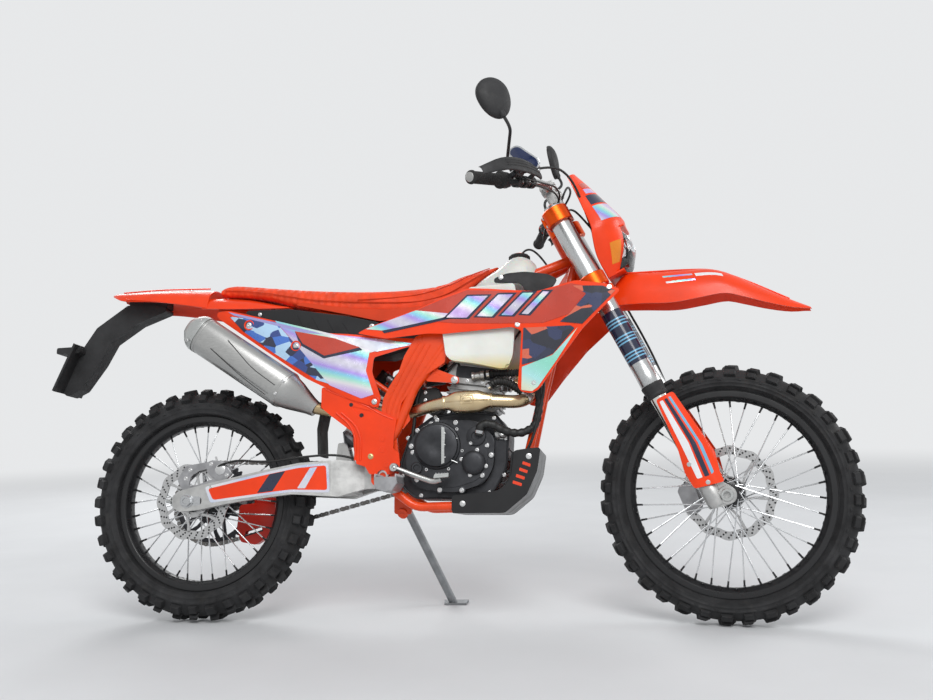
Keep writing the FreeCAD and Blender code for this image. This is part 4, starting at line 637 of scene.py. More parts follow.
def all_finishes(colours):
    """Every finish of the machine, by the name of what it covers."""
    orange = tuple(colours.plastic_orange)
    silver = (0.50, 0.50, 0.49)
    return {
        "orange_plastic": moulded("Orange plastic", orange, 0.36, 0.14),
        "frame_paint": painted_steel("Orange frame paint", tuple(colours.frame_orange)),
        "seat_cover": woven_seat("Seat cover", tuple(colours.seat_orange)),
        "seat_plain": moulded("Seat edge", scaled(tuple(colours.seat_orange), 0.8), 0.5),
        "black_plastic": pebbled("Black textured plastic", (0.016, 0.016, 0.017)),
        "gloss_black_plastic": moulded("Gloss black plastic", (0.009, 0.009, 0.010), 0.36, 0.15),
        "grip_rubber": pebbled("Grip rubber", (0.018, 0.018, 0.018), 0.75),
        "flap_rubber": pebbled("Flap rubber", (0.022, 0.022, 0.022), 0.7),
        "tyre_rubber": tyre_rubber("Tyre rubber", (0.017, 0.017, 0.018)),
        "tank_plastic": milky_tank("Tank plastic", tuple(colours.tank_white), (0.62, 0.52, 0.22)),
        "cast_alloy": cast_metal("Cast alloy", silver, 0.36),
        "alloy_rail": brushed("Rail alloy", (0.50, 0.51, 0.50), 0.32),
        "engine_metal": cast_metal("Engine black", (0.045, 0.046, 0.05), 0.44),
        "engine_silver": cast_metal("Engine silver", (0.34, 0.34, 0.335), 0.42),
        "header_metal": heat_tinted("Header steel", (0.58, 0.46, 0.28)),
        "silencer_metal": brushed("Silencer alloy", (0.44, 0.44, 0.43), 0.34),
        "radiator_alloy": cast_metal("Radiator alloy", (0.30, 0.30, 0.31), 0.5),
        "peg_steel": cast_metal("Peg steel", (0.34, 0.34, 0.35), 0.48),
        "chain_steel": brushed("Chain steel", (0.20, 0.19, 0.18), 0.42),
        "caliper_metal": cast_metal("Caliper metal", (0.36, 0.36, 0.37), 0.4),
        "axle_steel": brushed("Axle steel", (0.52, 0.53, 0.54), 0.27),
        "stand_metal": cast_metal("Stand metal", (0.27, 0.28, 0.29), 0.46),
        "orange_anodised": brushed("Orange anodised", tuple(colours.anodised_orange), 0.3),
        "fork_alloy": brushed("Fork tube alloy", (0.56, 0.57, 0.57), 0.26, (160.0, 160.0, 6.0)),
        "chrome_tube": polished("Chromed fork leg", (0.80, 0.79, 0.74), 0.08),
        "lamp_lens": clear_lens("Lamp lens"),
        "bar_alloy": brushed("Bar alloy", (0.46, 0.46, 0.45), 0.32, (160.0, 6.0, 160.0)),
        "lever_metal": cast_metal("Lever black", (0.03, 0.03, 0.032), 0.4),
        "gloss_blue_plastic": moulded("Dark blue gloss", (0.012, 0.022, 0.075), 0.1, 0.9),
        "black_rim": painted_steel("Black rim", (0.010, 0.010, 0.011)),
        "spoke_steel": polished("Spoke steel", (0.66, 0.67, 0.68), 0.2),
        "disc_steel": brushed("Disc steel", (0.52, 0.52, 0.52), 0.3, (90.0, 90.0, 90.0)),
        "sprocket_alloy": cast_metal("Sprocket alloy", (0.05, 0.05, 0.055), 0.4),
        "shock_steel": cast_metal("Shock body", (0.30, 0.30, 0.32), 0.36),
        "spring_steel": painted_steel("Spring paint", (0.66, 0.66, 0.62)),
        "guide_red": moulded("Red guide plastic", (0.55, 0.02, 0.008), 0.36, 0.2),
        "tail_red": moulded("Tail lamp red", (0.30, 0.008, 0.006), 0.2, 0.8),
        "mirror_glass": polished("Mirror glass", (0.78, 0.80, 0.82), 0.02),
        "bolt_steel": polished("Bolt steel", (0.62, 0.62, 0.62), 0.22),
        "hose_rubber": pebbled("Hose rubber", (0.012, 0.012, 0.012), 0.5),
        "brass_bits": brushed("Straw plated bits", (0.60, 0.47, 0.24), 0.3),
        "white_film": moulded("White film", (0.78, 0.79, 0.80), 0.24, 0.7),
        "navy_film": moulded("Navy film", (0.010, 0.016, 0.045), 0.24, 0.7),
        "blue_film": moulded("Light blue film", (0.16, 0.42, 0.62), 0.24, 0.7),
        "red_film": moulded("Brick red film", (0.50, 0.045, 0.022), 0.24, 0.7),
        "amber_film": moulded("Amber film", (0.72, 0.22, 0.01), 0.24, 0.4),
        "orange_film": moulded("Orange film", scaled(orange, 0.95), 0.24, 0.7),
        "foil": foil("Rainbow foil", [(0.62, 0.60, 0.70), (0.42, 0.30, 0.78), (0.25, 0.62, 0.80),
                                      (0.42, 0.80, 0.66), (0.80, 0.78, 0.80), (0.60, 0.42, 0.80)]),
        "violet_foil": foil("Violet foil", [(0.30, 0.20, 0.48), (0.52, 0.42, 0.72), (0.36, 0.34, 0.66)], 5.0),
        "pale_foil": foil("Pale foil", [(0.70, 0.70, 0.78), (0.52, 0.60, 0.80), (0.78, 0.78, 0.80)], 5.0),
        "green_foil": foil("Sea green foil", [(0.30, 0.75, 0.60), (0.45, 0.82, 0.82), (0.74, 0.80, 0.62),
                                              (0.82, 0.60, 0.34)], 4.0),
        "shroud_camo": camouflage("Navy and coral camouflage", [(0.012, 0.018, 0.05), (0.02, 0.03, 0.09),
                                                                (0.62, 0.12, 0.06), (0.008, 0.010, 0.022)]),
        "panel_camo": camouflage("Blue camouflage", [(0.05, 0.16, 0.55), (0.010, 0.016, 0.05),
                                                     (0.42, 0.62, 0.82), (0.02, 0.05, 0.22)], 30.0),
    }


finishes = {}


# Sizes and colours that a user would change

def colour_value(name, note, default):
    return bpy.props.FloatVectorProperty(name=name, description=note, default=default, min=0, max=1, size=3,
                                         subtype="COLOR")


def length_value(name, note, default, low=0.0, high=500.0):
    return bpy.props.FloatProperty(name=name, description=note + ", in millimetres", default=default, min=low,
                                   max=high)


class EnduroColours(bpy.types.PropertyGroup):
    """Main colours of the machine"""

    plastic_orange: colour_value("Plastics", "Shrouds, mudguards, mask and side panels", (0.84, 0.047, 0.003))
    frame_orange: colour_value("Frame", "Powder coat of the frame", (0.80, 0.060, 0.004))
    seat_orange: colour_value("Seat", "Seat cover", (0.82, 0.056, 0.005))
    anodised_orange: colour_value("Clamps", "Triple clamps", (0.78, 0.090, 0.012))
    tank_white: colour_value("Tank", "Natural nylon of the fuel tank", (0.74, 0.75, 0.70))


class EnduroWheelSizes(bpy.types.PropertyGroup):
    """Sizes of the wheels' detail"""

    knob_rows: bpy.props.IntProperty(name="Knob rows", description="Rows of tread blocks round each tyre",
                                     default=36, min=12, max=60)
    rear_knob: length_value("Rear knob height", "Height of the rear tread blocks", 15.0)
    front_knob: length_value("Front knob height", "Height of the front tread blocks", 12.0)
    spoke: length_value("Spoke radius", "Radius of a spoke", 1.9, 1.0, 4.0)
    nipple: length_value("Nipple length", "Length of a spoke nipple", 17.0)


class EnduroStage(bpy.types.PropertyGroup):
    """Floor, lamps and camera"""

    floor_tone: colour_value("Floor", "Colour of the floor", (0.66, 0.67, 0.68))
    backdrop_tone: colour_value("Backdrop", "Colour behind the machine", (0.80, 0.81, 0.82))
    lamp_power: bpy.props.FloatProperty(name="Lamps", description="Share of the lamps' usual power", default=1.0,
                                        min=0.0, max=4.0, subtype="FACTOR")


def colours():
    return bpy.context.scene.enduro_colours


def wheel_sizes():
    return bpy.context.scene.enduro_wheels


# Wheels

rear_bead, front_bead = 241.3, 266.7
rear_rim_width, front_rim_width = 55, 41
spoke_count = 36
rear_disc_y, front_disc_y = -77, 62


def tyre(name, radius, width, bead_radius, rim_width, knob, wheel):
    """A knobbly tyre: carcass with moulded sidewall rings, and rows of chamfered blocks."""
    made = Drawing("tyre_rubber")
    crown = width / 2
    ring = radius - crown
    carcass = crown - knob
    bead_half = rim_width / 2 - 3.3
    profile = [(bead_half - 5, bead_radius + 1), (bead_half - 0.4, bead_radius + 3), (bead_half, bead_radius + 11)]
    wall = [(118, 0.0), (113, 1.6), (109, 0.2), (100, 0.3), (97, 1.3), (94, 0.3), (84, 0.4), (81, 1.5), (76, 1.5),
            (73, 0.2), (62, 0.0), (50, 0.0), (36, 0.0), (22, 0.0), (8, 0.0)]
    for degrees, lift in wall:
        a = math.radians(degrees)
        profile.append(((carcass + lift) * math.sin(a), ring + (carcass + lift) * math.cos(a)))
    profile = profile + [(-y, r) for y, r in reversed(profile)]
    made.turn(profile, (0, 0, 0), to_left, 144)
    rows = wheel_sizes().knob_rows
    step = math.tau / rows

    def block(turn, low, high, half_turn, height, lean=0.0):
        """One tread block between two crown angles, narrower at its top."""
        low, high = sorted((low, high))

        def layer(reach, inset):
            corners = []
            for degrees, share in ((low + inset, -1), (low + inset, 1), (high - inset, 1), (high - inset, -1)):
                a = math.radians(degrees)
                spin = turn + share * (half_turn - math.radians(inset) * 0.35) + lean * (degrees - low)
                corners.append(polar(ring + reach * math.cos(a), reach * math.sin(a), spin))
            return corners

        top = crown - knob + height
        made.loft([layer(carcass - 1.5, -0.9), layer(carcass + 0.35 * height, 0.0), layer(top - 1.3, 0.9),
                   layer(top, 2.0)])

    for row in range(rows):
        turn = row * step
        wide = row % 2 == 0
        for side in (-1, 1):
            if wide:
                block(turn, side * 4.5, side * 27, 0.25 * step, knob, side * 0.0011)
                block(turn, side * 43, side * 68, 0.27 * step, knob * 0.97)
            else:
                block(turn, side * 23, side * 41, 0.24 * step, knob, side * 0.0012)
                block(turn, side * 50, side * 72, 0.23 * step, knob * 0.86)
    for row in range(rows):
        for side in (-1, 1):
            block(row * step + step / 2, side * 76, side * 88, 0.12 * step, 2.4)
    return made.build(name + "_tread", wheel, [name], 28)


def rim(name, bead_radius, rim_width, wheel):
    """A drop-centre rim with rolled flanges, and a dimple at every spoke."""
    made = Drawing("black_rim")
    half = rim_width / 2
    outer = [(half - 2.6, bead_radius), (half - 3.0, bead_radius + 6), (half - 2.6, bead_radius + 8.4),
             (half - 1.4, bead_radius + 9), (half - 0.3, bead_radius + 8), (half, bead_radius + 5),
             (half - 0.2, bead_radius - 6)]
    inner = [(half - 3, bead_radius - 10), (half - 9, bead_radius - 13), (half - 14, bead_radius - 18),
             (half - 18, bead_radius - 19), (4, bead_radius - 19.3)]
    well = [(half - 18, bead_radius - 14), (half - 12, bead_radius - 4), (half - 8, bead_radius - 1)]
    upper = well + outer + inner
    profile = upper + [(-y, r) for y, r in reversed(upper)]
    made.turn(profile, (0, 0, 0), to_left, 120)
    for k, spot in enumerate(around((0, 0, 0), to_left, bead_radius - 16.5, spoke_count)):
        side = 1 if k % 2 else -1
        inward = -Vector(spot).normalized()
        made.turn([(0, 7), (2.4, 6.2), (3.6, 4.6), (3.6, 0)], spot + Vector((0, side * 5, 0)), inward, 12)
    return made.build(name + "_flanges", wheel, [name], 30)


def hub_and_spokes(name, hub_width, bead_radius, wheel, disc_y, carrier_y=0.0):
    """A machined hub with drilled flanges, crossed spokes and their nipples."""
    made = Drawing("black_rim")
    half = hub_width / 2
    flange = half - 14
    axis = to_left
    barrel = [(-half, 14), (-half, 19), (-half + 1.2, 21), (-flange - 6, 22), (-flange - 5, 31), (-flange - 4, 33),
              (-flange + 2, 33), (-flange + 3, 31), (-flange + 8, 23.5), (-flange + 14, 21), (0, 19.5),
              (flange - 14, 21), (flange - 8, 23.5), (flange - 3, 31), (flange - 2, 33), (flange + 4, 33),
              (flange + 5, 31), (flange + 6, 22), (half - 1.2, 21), (half, 19), (half, 14)]
    made.turn(barrel, (0, 0, 0), axis, 64)
    for side in (-1, 1):
        made.use("bolt_steel")
        made.turn([(side * (half - 0.5), 12.8), (side * (half + 0.4), 14.5), (side * (half + 0.4), 17.5),
                   (side * (half - 0.5), 18.5)], (0, 0, 0), axis, 40)
        made.use("black_rim")
        for spot in around((0, side * (flange + 0.5), 0), axis, 26.5, 9, 0.2):
            made.turn([(4.4, 0), (4.4, 2.4), (4.9, 2.8), (4.9, 3.6), (4.3, 3.8)], spot, (0, side, 0), 12)
    if disc_y:
        side = math.copysign(1, disc_y)
        seat = abs(disc_y) - 1.9
        made.turn([(side * (flange + 3), 22), (side * (flange + 3), 42), (side * (seat - 1), 44.5),
                   (side * seat, 44), (side * seat, 22)], (0, 0, 0), axis, 60)
        made.use("bolt_steel")
        for spot in around((0, side * (abs(disc_y) + 1.4), 0), axis, 38, 6, math.pi / 2):
            made.bolt(spot, (0, side, 0), 4.6, 4.2)
        made.use("black_rim")
    if carrier_y:
        made.turn([(flange + 3, 22), (flange + 3, 30), (flange + 6, 50), (carrier_y - 5, 54), (carrier_y, 54),
                   (carrier_y, 22)], (0, 0, 0), axis, 60)
    sizes = wheel_sizes()
    tip = bead_radius - 19.4
    sweep = math.radians(62)
    for k in range(spoke_count):
        side = 1 if k % 2 else -1
        inside = (k // 2) % 2
        lay = 1 if inside else -1
        angle = math.tau * k / spoke_count
        start_y = side * (flange - 4.5 if inside else flange + 6)
        start = polar(29, start_y, angle - lay * sweep)
        end = polar(tip, side * 5, angle)
        elbow = polar(29, side * (flange + 1), angle - lay * sweep)
        made.use("spoke_steel")
        made.pipe([elbow, start, end - (end - start).normalized() * 4], sizes.spoke, 5, 8, 3)
        made.turn([(0, 0), (0, 3.4), (1.6, 3.0), (2.2, 1.6)], elbow, (0, -side if inside else side, 0), 10)
        made.use("black_rim")
        inward = (start - end).normalized()
        base = end + inward * 0.2
        long = sizes.nipple
        made.turn([(0, 0), (0, 3.4), (4, 3.4), (4.6, 2.9), (long - 1, 2.9), (long, 2.2), (long, 0)],
                  base, inward, 6)
    return made.build(name + "_laced", wheel, [name], 32)


def brake_disc(name, radius, y, wheel, lobes):
    """A wave disc: scalloped band with long drillings shown as black dots of painted shade, curved arms and a bolted
    ring.
    """
    made = Drawing("disc_steel")
    low, high = y - 1.5, y + 1.5
    steps = lobes * 12
    band = 25

    rings = []
    for level, inner in ((low, 0), (high, 0), (high, 1), (low, 1)):
        ring = []
        for k in range(steps):
            turn = math.tau * k / steps
            base, swing = (radius - band - 2, 2.2) if inner else (radius - 3, 3.0)
            ring.append(polar(base + swing * math.cos(lobes * turn), level, turn))
        rings.append(made.corners(ring))
    made.bridge(rings, caps=False, looped=True)
    made.turn([(low, 30), (low, 45), (high, 45), (high, 30)], (0, 0, 0), to_left, 60)
    for k in range(6):
        base = math.tau * k / 6
        sections = []
        for share, reach in ((0, 41), (0.35, 52), (0.7, 68), (1, radius - band + 1)):
            turn = base + 0.42 * share + 0.1 * math.sin(math.pi * share)
            wide = (11 - 4 * math.sin(math.pi * share * 0.9)) / reach / 2
            sections.append(arm_section(reach, turn, wide, low, high))
        made.loft(sections)
    # Painted shade: the drillings are not cut; thin black dots on both faces stand for the dark of the holes.
    made.use("black_rim")
    for k in range(steps // 4):
        turn = math.tau * k / (steps // 4)
        for reach, slide in ((radius - 8, 0.0), (radius - 15, 0.05), (radius - 21, 0.1)):
            for level, way in ((low, -1), (high, 1)):
                made.turn([(0.05, 0), (0.05, 2.7), (-0.1, 2.9)], polar(reach, level, turn + slide), (0, way, 0), 10)
    return made.build(name + "_drilled", wheel, [name], 30)


class ENDURO_OT_wheels(bpy.types.Operator):
    """Add the tyres, rims, hubs with spokes, and brake discs"""

    bl_idname = "enduro.wheels"
    bl_label = "Wheels"

    def execute(self, context):
        sizes = wheel_sizes()
        tyre("rear_tyre", rear_tyre_radius, 120, rear_bead, rear_rim_width, sizes.rear_knob, "rear_wheel")
        tyre("front_tyre", front_tyre_radius, 90, front_bead, front_rim_width, sizes.front_knob, "front_wheel")
        rim("rear_rim", rear_bead, rear_rim_width, "rear_wheel")
        rim("front_rim", front_bead, front_rim_width, "front_wheel")
        hub_and_spokes("rear_hub_spokes", 116, rear_bead, "rear_wheel", rear_disc_y, 68.5)
        hub_and_spokes("front_hub_spokes", 96, front_bead, "front_wheel", front_disc_y)
        brake_disc("rear_disc", 110, rear_disc_y, "rear_wheel", 10)
        brake_disc("front_disc", 130, front_disc_y, "front_wheel", 12)
        return {"FINISHED"}

# Bodywork

shroud_plan = ((480, 137), (700, 141), (900, 148), (1040, 166), (1140, 184), (1222, 196))
panel_plan = ((50, 96), (200, 118), (400, 130), (560, 131), (720, 131))
shroud_ridge = ((480, 795), (700, 830), (900, 850), (1100, 850), (1222, 880))


def along(table, at):
    """A value read off (position, value) rows in straight steps."""
    if at <= table[0][0]:
        return table[0][1]
    for (low, first), (high, last) in zip(table, table[1:]):
        if at <= high:
            return first + (last - first) * (at - low) / (high - low)
    return table[-1][1]


def shroud_side(x, z):
    """How far out the shroud stands: it folds inward above and well below its ridge."""
    above = z - along(shroud_ridge, x)
    return along(shroud_plan, x) - 0.10 * max(0.0, above) - 0.07 * max(0.0, -above - 40)


def panel_side(x, z):
    line = 905 - 0.55 * x
    return along(panel_plan, x) - 0.10 * abs(z - line - 20)


def film(made, coat, outline, side_at, lift=0.5):
    """A printed film laid on a bent panel, on both sides of the machine."""
    made.use(coat)
    made.skin(outline, lambda x, z: side_at(x, z) + lift + 0.7, 1.4, 12, 2)
    made.use("orange_plastic")


def radiator_shrouds():
    """Shrouds with a rolled edge, their printed films and screws."""
    made = Drawing("orange_plastic")
    outline = [
        (488, 795), (520, 811), (664, 860), (735, 890), (801, 912), (871, 906), (995, 890), (1100, 913),
        (1181, 896), (1219, 876), (1118, 780), (1049, 695), (996, 623), (976, 612), (945, 618), (937, 634),
        (944, 696), (951, 784), (924, 795), (735, 784), (690, 787), (572, 777),
    ]
    made.skin(outline, shroud_side, 3.0, 12, 9)
    film(made, "red_film", [(640, 848), (735, 885), (800, 906), (872, 900), (990, 885), (1088, 905), (1140, 890),
                            (1082, 820), (1010, 800), (900, 806), (770, 812), (690, 822)], shroud_side)
    film(made, "foil", [(512, 806), (655, 854), (768, 838), (700, 822), (560, 800)], shroud_side, 0.8)
    film(made, "navy_film", [(560, 799), (770, 836), (772, 829), (566, 792)], shroud_side, 0.9)
    for x, wide in ((738, 66), (824, 50), (892, 38), (948, 26)):
        rim = [(x - 6, 826), (x + 62, 893), (x + 66 + wide, 890), (x + wide + 2, 822)]
        inside = [(x + 4, 829), (x + 64, 888), (x + 55 + wide, 886), (x + wide - 4, 826)]
        film(made, "navy_film", rim, shroud_side, 0.9)
        film(made, "foil", inside, shroud_side, 1.5)
    film(made, "shroud_camo", [(1092, 898), (1172, 890), (1206, 874), (1116, 790), (1056, 800), (1084, 822),
                               (1128, 872)], shroud_side, 1.0)
    film(made, "shroud_camo", [(956, 790), (1084, 788), (1095, 780), (1036, 716), (1000, 700), (950, 690)],
         shroud_side, 0.7)
    film(made, "green_foil", [(1104, 782), (1034, 712), (950, 684), (947, 622), (976, 617), (992, 628), (1045, 698)],
         shroud_side, 0.9)
    for x, z in ((1190, 884), (982, 640), (940, 800)):
        for side in (-1, 1):
            made.use("bolt_steel")
            made.bolt((x, side * shroud_side(x, z), z), (0, side, 0), 5.5, 3.5)
    return made.build("shroud_skins", "machine", ["radiator_shrouds"], 30)


def side_panels():
    """Side panels with deep pockets for the screws, and their films."""
    made = Drawing("orange_plastic")
    outline = [
        (52, 872), (60, 862), (336, 675), (462, 613), (548, 584), (557, 612), (529, 687), (533, 728),
        (623, 755), (704, 771), (643, 780), (560, 786), (459, 798), (391, 803), (348, 816), (92, 884), (56, 882),
    ]
    made.skin(outline, panel_side, 3.0, 12, 7)
    film(made, "violet_foil", [(90, 880), (345, 812), (388, 799), (330, 806), (110, 868)], panel_side, 0.9)
    film(made, "panel_camo", [(96, 866), (240, 842), (330, 745), (410, 655), (370, 668), (240, 750), (140, 820)],
         panel_side, 0.6)
    film(made, "foil", [(238, 846), (420, 797), (560, 780), (640, 766), (520, 742), (512, 690), (536, 622), (500, 612),
                        (408, 652), (326, 750)], panel_side, 0.7)
    film(made, "red_film", [(300, 812), (420, 786), (492, 758), (392, 736), (326, 774)], panel_side, 1.4)
    film(made, "navy_film", [(300, 812), (326, 774), (392, 736), (492, 758), (500, 750), (390, 728), (318, 770)],
         panel_side, 1.2)
    film(made, "pale_foil", [(440, 792), (590, 764), (640, 762), (540, 744), (470, 770)], panel_side, 1.1)
    for x, z in ((160, 836), (306, 768), (538, 602)):
        for side in (-1, 1):
            y = side * (panel_side(x, z) + 0.8)
            made.use("orange_plastic")
            made.turn([(-1, 15), (1.5, 15), (1.8, 13.5), (0.2, 11), (-1, 11)], (x, y, z), (0, side, 0), 28)
            made.use("bolt_steel")
            made.bolt((x, y, z), (0, side, 0), 6, 3)
    return made.build("side_panel_skins", "machine", ["side_panels"], 30)


arch_steps = 13


def arched_line(crown, edge, half, crease, dish=0.0):
    """Half of a mudguard's cross-section, from its middle to its edge, as (y, height) pairs."""
    drop = crown - edge
    line = []
    for k in range(arch_steps + 1):
        share = k / arch_steps
        if share < 0.72:
            t = share / 0.72
            line.append((half * 0.86 * t, crown - crease * drop * t ** 3 + dish * math.sin(math.pi * t)))
        else:
            t = (share - 0.72) / 0.28
            line.append((half * (0.86 + 0.14 * t ** 0.7), crown - drop * (crease + (1 - crease) * t)))
    return line


def mudguard(made, stations, spots, crease=0.42, dish=0.0):
    """A shell that follows (position, crown, edge, half width) stations, with a rolled edge."""
    thickness = 3.0
    sections = []
    for at in spots:
        crown, edge, half = smoothed(stations, at)
        right = arched_line(crown, edge, half, crease=crease, dish=dish)
        outer = [(-y, z) for y, z in right[::-1]] + right[1:]
        inner = [(y * (1 - thickness / half), z - thickness) for y, z in outer[1:-1]]
        rolled = [(outer[-1][0] - thickness, outer[-1][1] - 0.5), (outer[0][0] + thickness, outer[0][1] - 0.5)]
        ring = outer + [rolled[0]] + inner[::-1] + [rolled[1]]
        sections.append([(at, y, z) for y, z in ring])
    made.loft(sections)


def spread(low, high, count):
    return [low + (high - low) * k / count for k in range(count + 1)]


def rear_mudguard():
    """Rear mudguard: the tail, the lower tongue that runs on under the seat, and stiffening ribs."""
    made = Drawing("orange_plastic")
    tail = ((-305, 966, 957, 44), (-285, 968, 946, 68), (-250, 969, 931, 86), (-140, 970, 921, 98),
            (-40, 968, 906, 102), (24, 965, 893, 102))
    tongue = ((8, 940, 893, 102), (60, 937, 891, 101), (140, 929, 889, 97), (268, 898, 888, 90))
    mudguard(made, tail, spread(-305, 24, 22), dish=-1.2)
    mudguard(made, tongue, spread(8, 268, 12))
    for side in (-1, 1):
        made.pipe([(-270, side * 44, 967), (-140, side * 50, 970), (10, side * 52, 966)], 2.2, 60, 8)
        made.pipe([(-236, side * 92, 934), (-120, side * 99, 921), (20, side * 102.5, 896)], 1.6, 40, 8)
    made.use("bolt_steel")
    for side in (-1, 1):
        for x in (-60, -190):
            made.bolt((x, side * 30, 968.4), upward, 5, 3)
    return made.build("rear_mudguard", "machine", ["rear_fender"], 40)


def front_mudguard():
    """Front mudguard with raised spine lines, side films and its four screws."""
    made = Drawing("orange_plastic")
    seat = -155.4
    stations = ((4, seat, -196, 44), (50, seat - 1, -216, 54), (104, -139, -244, 66), (180, -176, -286, 74),
                (252, -213, -312, 76), (312, -246, -334, 74), (344, -276, -362, 70), (392, -342, -408, 60),
                (440, -410, -448, 44), (484, -466, -474, 22))
    mudguard(made, stations, spread(4, 484, 34), crease=0.5)
    for side in (-1, 1):
        spine = []
        for at in (110, 180, 250, 320, 380, 450):
            crown = smoothed(stations, at)[0]
            spine.append((at, side * (26 - at / 40), crown + 0.4))
        made.pipe(spine, 2.0, 40, 8)
        for coat, low, high, first, last in (("foil", 190, 262, 0.60, 0.70), ("white_film", 268, 330, 0.58, 0.68)):
            strips = []
            for at in spread(low, high, 6):
                crown, edge, half = smoothed(stations, at)
                line = arched_line(crown, edge, half, crease=0.5)
                a, b = line[int(first * arch_steps)], line[int(last * arch_steps)]
                strips.append([(at, side * a[0], a[1] + 0.6), (at, side * b[0], b[1] + 0.6),
                               (at, side * b[0], b[1] - 0.6), (at, side * a[0], a[1] - 0.6)])
            made.use(coat)
            made.loft(strips)
            made.use("orange_plastic")
    return made.build("front_mudguard", "fork", ["front_fender"], 40)


mask_steps = 14


def mask_line(w, low=0.0):
    """Half of the lamp mask's plan outline at one height, from its rear edge to y = low."""
    stations = ((-138, 112, 62, 74), (-72, 160, 66, 100), (-14, 172, 84, 112), (4, 176, 92, 112),
                (60, 162, 96, 96), (130, 142, 100, 74), (197, 121, 100, 26))
    front, rear, half = smoothed(stations, w)
    last = math.acos(min(1.0, (low / half) ** 1.1)) if low else math.pi / 2
    line = []
    for k in range(mask_steps + 1):
        t = last * k / mask_steps
        line.append((rear + (front - rear) * math.sin(t) ** 0.9, half * max(0.0, math.cos(t)) ** 0.91))
    return line


def lamp_mask():
    """The mask round the headlight, with its shield above, cheeks beside and chin below."""
    made = Drawing("orange_plastic")
    thick = 3.0

    def wall(line, w):
        outer = [(u, y, w) for u, y in line]
        inner = [(u - thick * 0.7, max(y - thick * 0.7, 0.0) if y else 0.0, w) for u, y in line]
        return outer, inner

    upper = []
    for w in spread(-21, 197, 20):
        outer, inner = wall(mask_line(w), w)
        ring = outer + [(u, -y, z) for u, y, z in outer[-2::-1]]
        back = inner + [(u, -y, z) for u, y, z in inner[-2::-1]]
        upper.append(ring + back[::-1])
    made.loft(upper)
    for side in (-1, 1):
        cheek = []
        for w in spread(-138, -21, 12):
            outer, inner = wall(mask_line(w, 61), w)
            cheek.append([(u, side * y, z) for u, y, z in outer + inner[::-1]])
        made.loft(cheek)
    made.plate([(60, -138), (112, -138), (112, -133), (60, -133)], -70, 70, 1.0)
    made.plate([(118, -25), (170, -24), (172, -19), (118, -19)], -60, 60, 1.2)
    made.use("black_plastic")
    for side in (-1, 1):
        made.plate([(92, 20), (92, 40), (104, 44), (104, 16)], side * 92, side * 97, 1.0)
    for coat, low, high, first, last, inset in (
        ("foil", 6, 60, 3, 11, 0), ("navy_film", 66, 100, 3, 11, 0), ("foil", 106, 124, 4, 10, 0),
        ("red_film", 128, 150, 4, 9, 0), ("amber_film", -112, -58, 6, 12, 61),
    ):
        made.use(coat)
        for side in (-1, 1):
            strips = []
            for w in spread(low, high, 6):
                line = mask_line(w, inset)
                strip = [(k, *line[k]) for k in range(first, last + 1)]
                outer = [(u + 0.7 * k / mask_steps, side * (y + 0.9 * (1 - k / mask_steps)), w) for k, u, y in strip]
                inner = [(u - 0.9 * k / mask_steps, side * (y - 0.9 * (1 - k / mask_steps)), w) for k, u, y in strip]
                strips.append(outer + inner[::-1])
            made.loft(strips)
    return made.build("lamp_mask", "fork", ["headlight_mask"], 36)


def lamp():
    """Headlight: clear cover, chromed reflector with its bulb, black bowl and side strips of light."""
    made = Drawing("lamp_lens")

    def cover_ring(u_shift, inset):
        line = [(118, -131), (132, -131), (160, -94), (166, -80), (166, -50), (158, -23), (118, -23)]
        return softened([(u - inset + u_shift, 0, w + (inset if w < -100 else -inset if w > -30 else 0))
                         for u, w in line], 6, 3)

    sections = []
    for y in spread(-61.5, 61.5, 18):
        share = abs(y) / 61.5
        ring = cover_ring(-10 * share ** 2.4, 2.0 * share ** 6)
        sections.append([(p[0], y, p[2]) for p in ring])
    made.loft(sections)
    glass = made.build("lamp_cover", "fork", sharp=40)
    made = Drawing("mirror_glass")
    made.turn([(0, 8), (3, 26), (12, 40), (26, 47), (28, 49), (24, 49), (9, 42), (-2, 26), (-4, 8)],
              (118, 0, -62), (1, 0, 0.06), 48)
    made.use("white_film")
    made.turn([(0, 0), (0, 9), (10, 9), (12, 7), (26, 6.5), (29, 4), (30, 0)], (118, 0, -62), (1, 0, 0.06), 24)
    made.use("gloss_black_plastic")
    made.plate([(88, -128), (88, -26), (120, -26), (120, -128)], -59, 59, 3)
    made.plate([(120, -124), (120, -110), (138, -110), (130, -124)], -56, 56, 1)
    for side in (-1, 1):
        made.use("white_film")
        made.plate([(120, -104), (120, -30), (132, -30), (140, -60), (140, -90), (132, -104)],
                   side * 52, side * 57, 1.2)
    inside = made.build("lamp_reflector", "fork", ["headlight"])
    return glass, inside


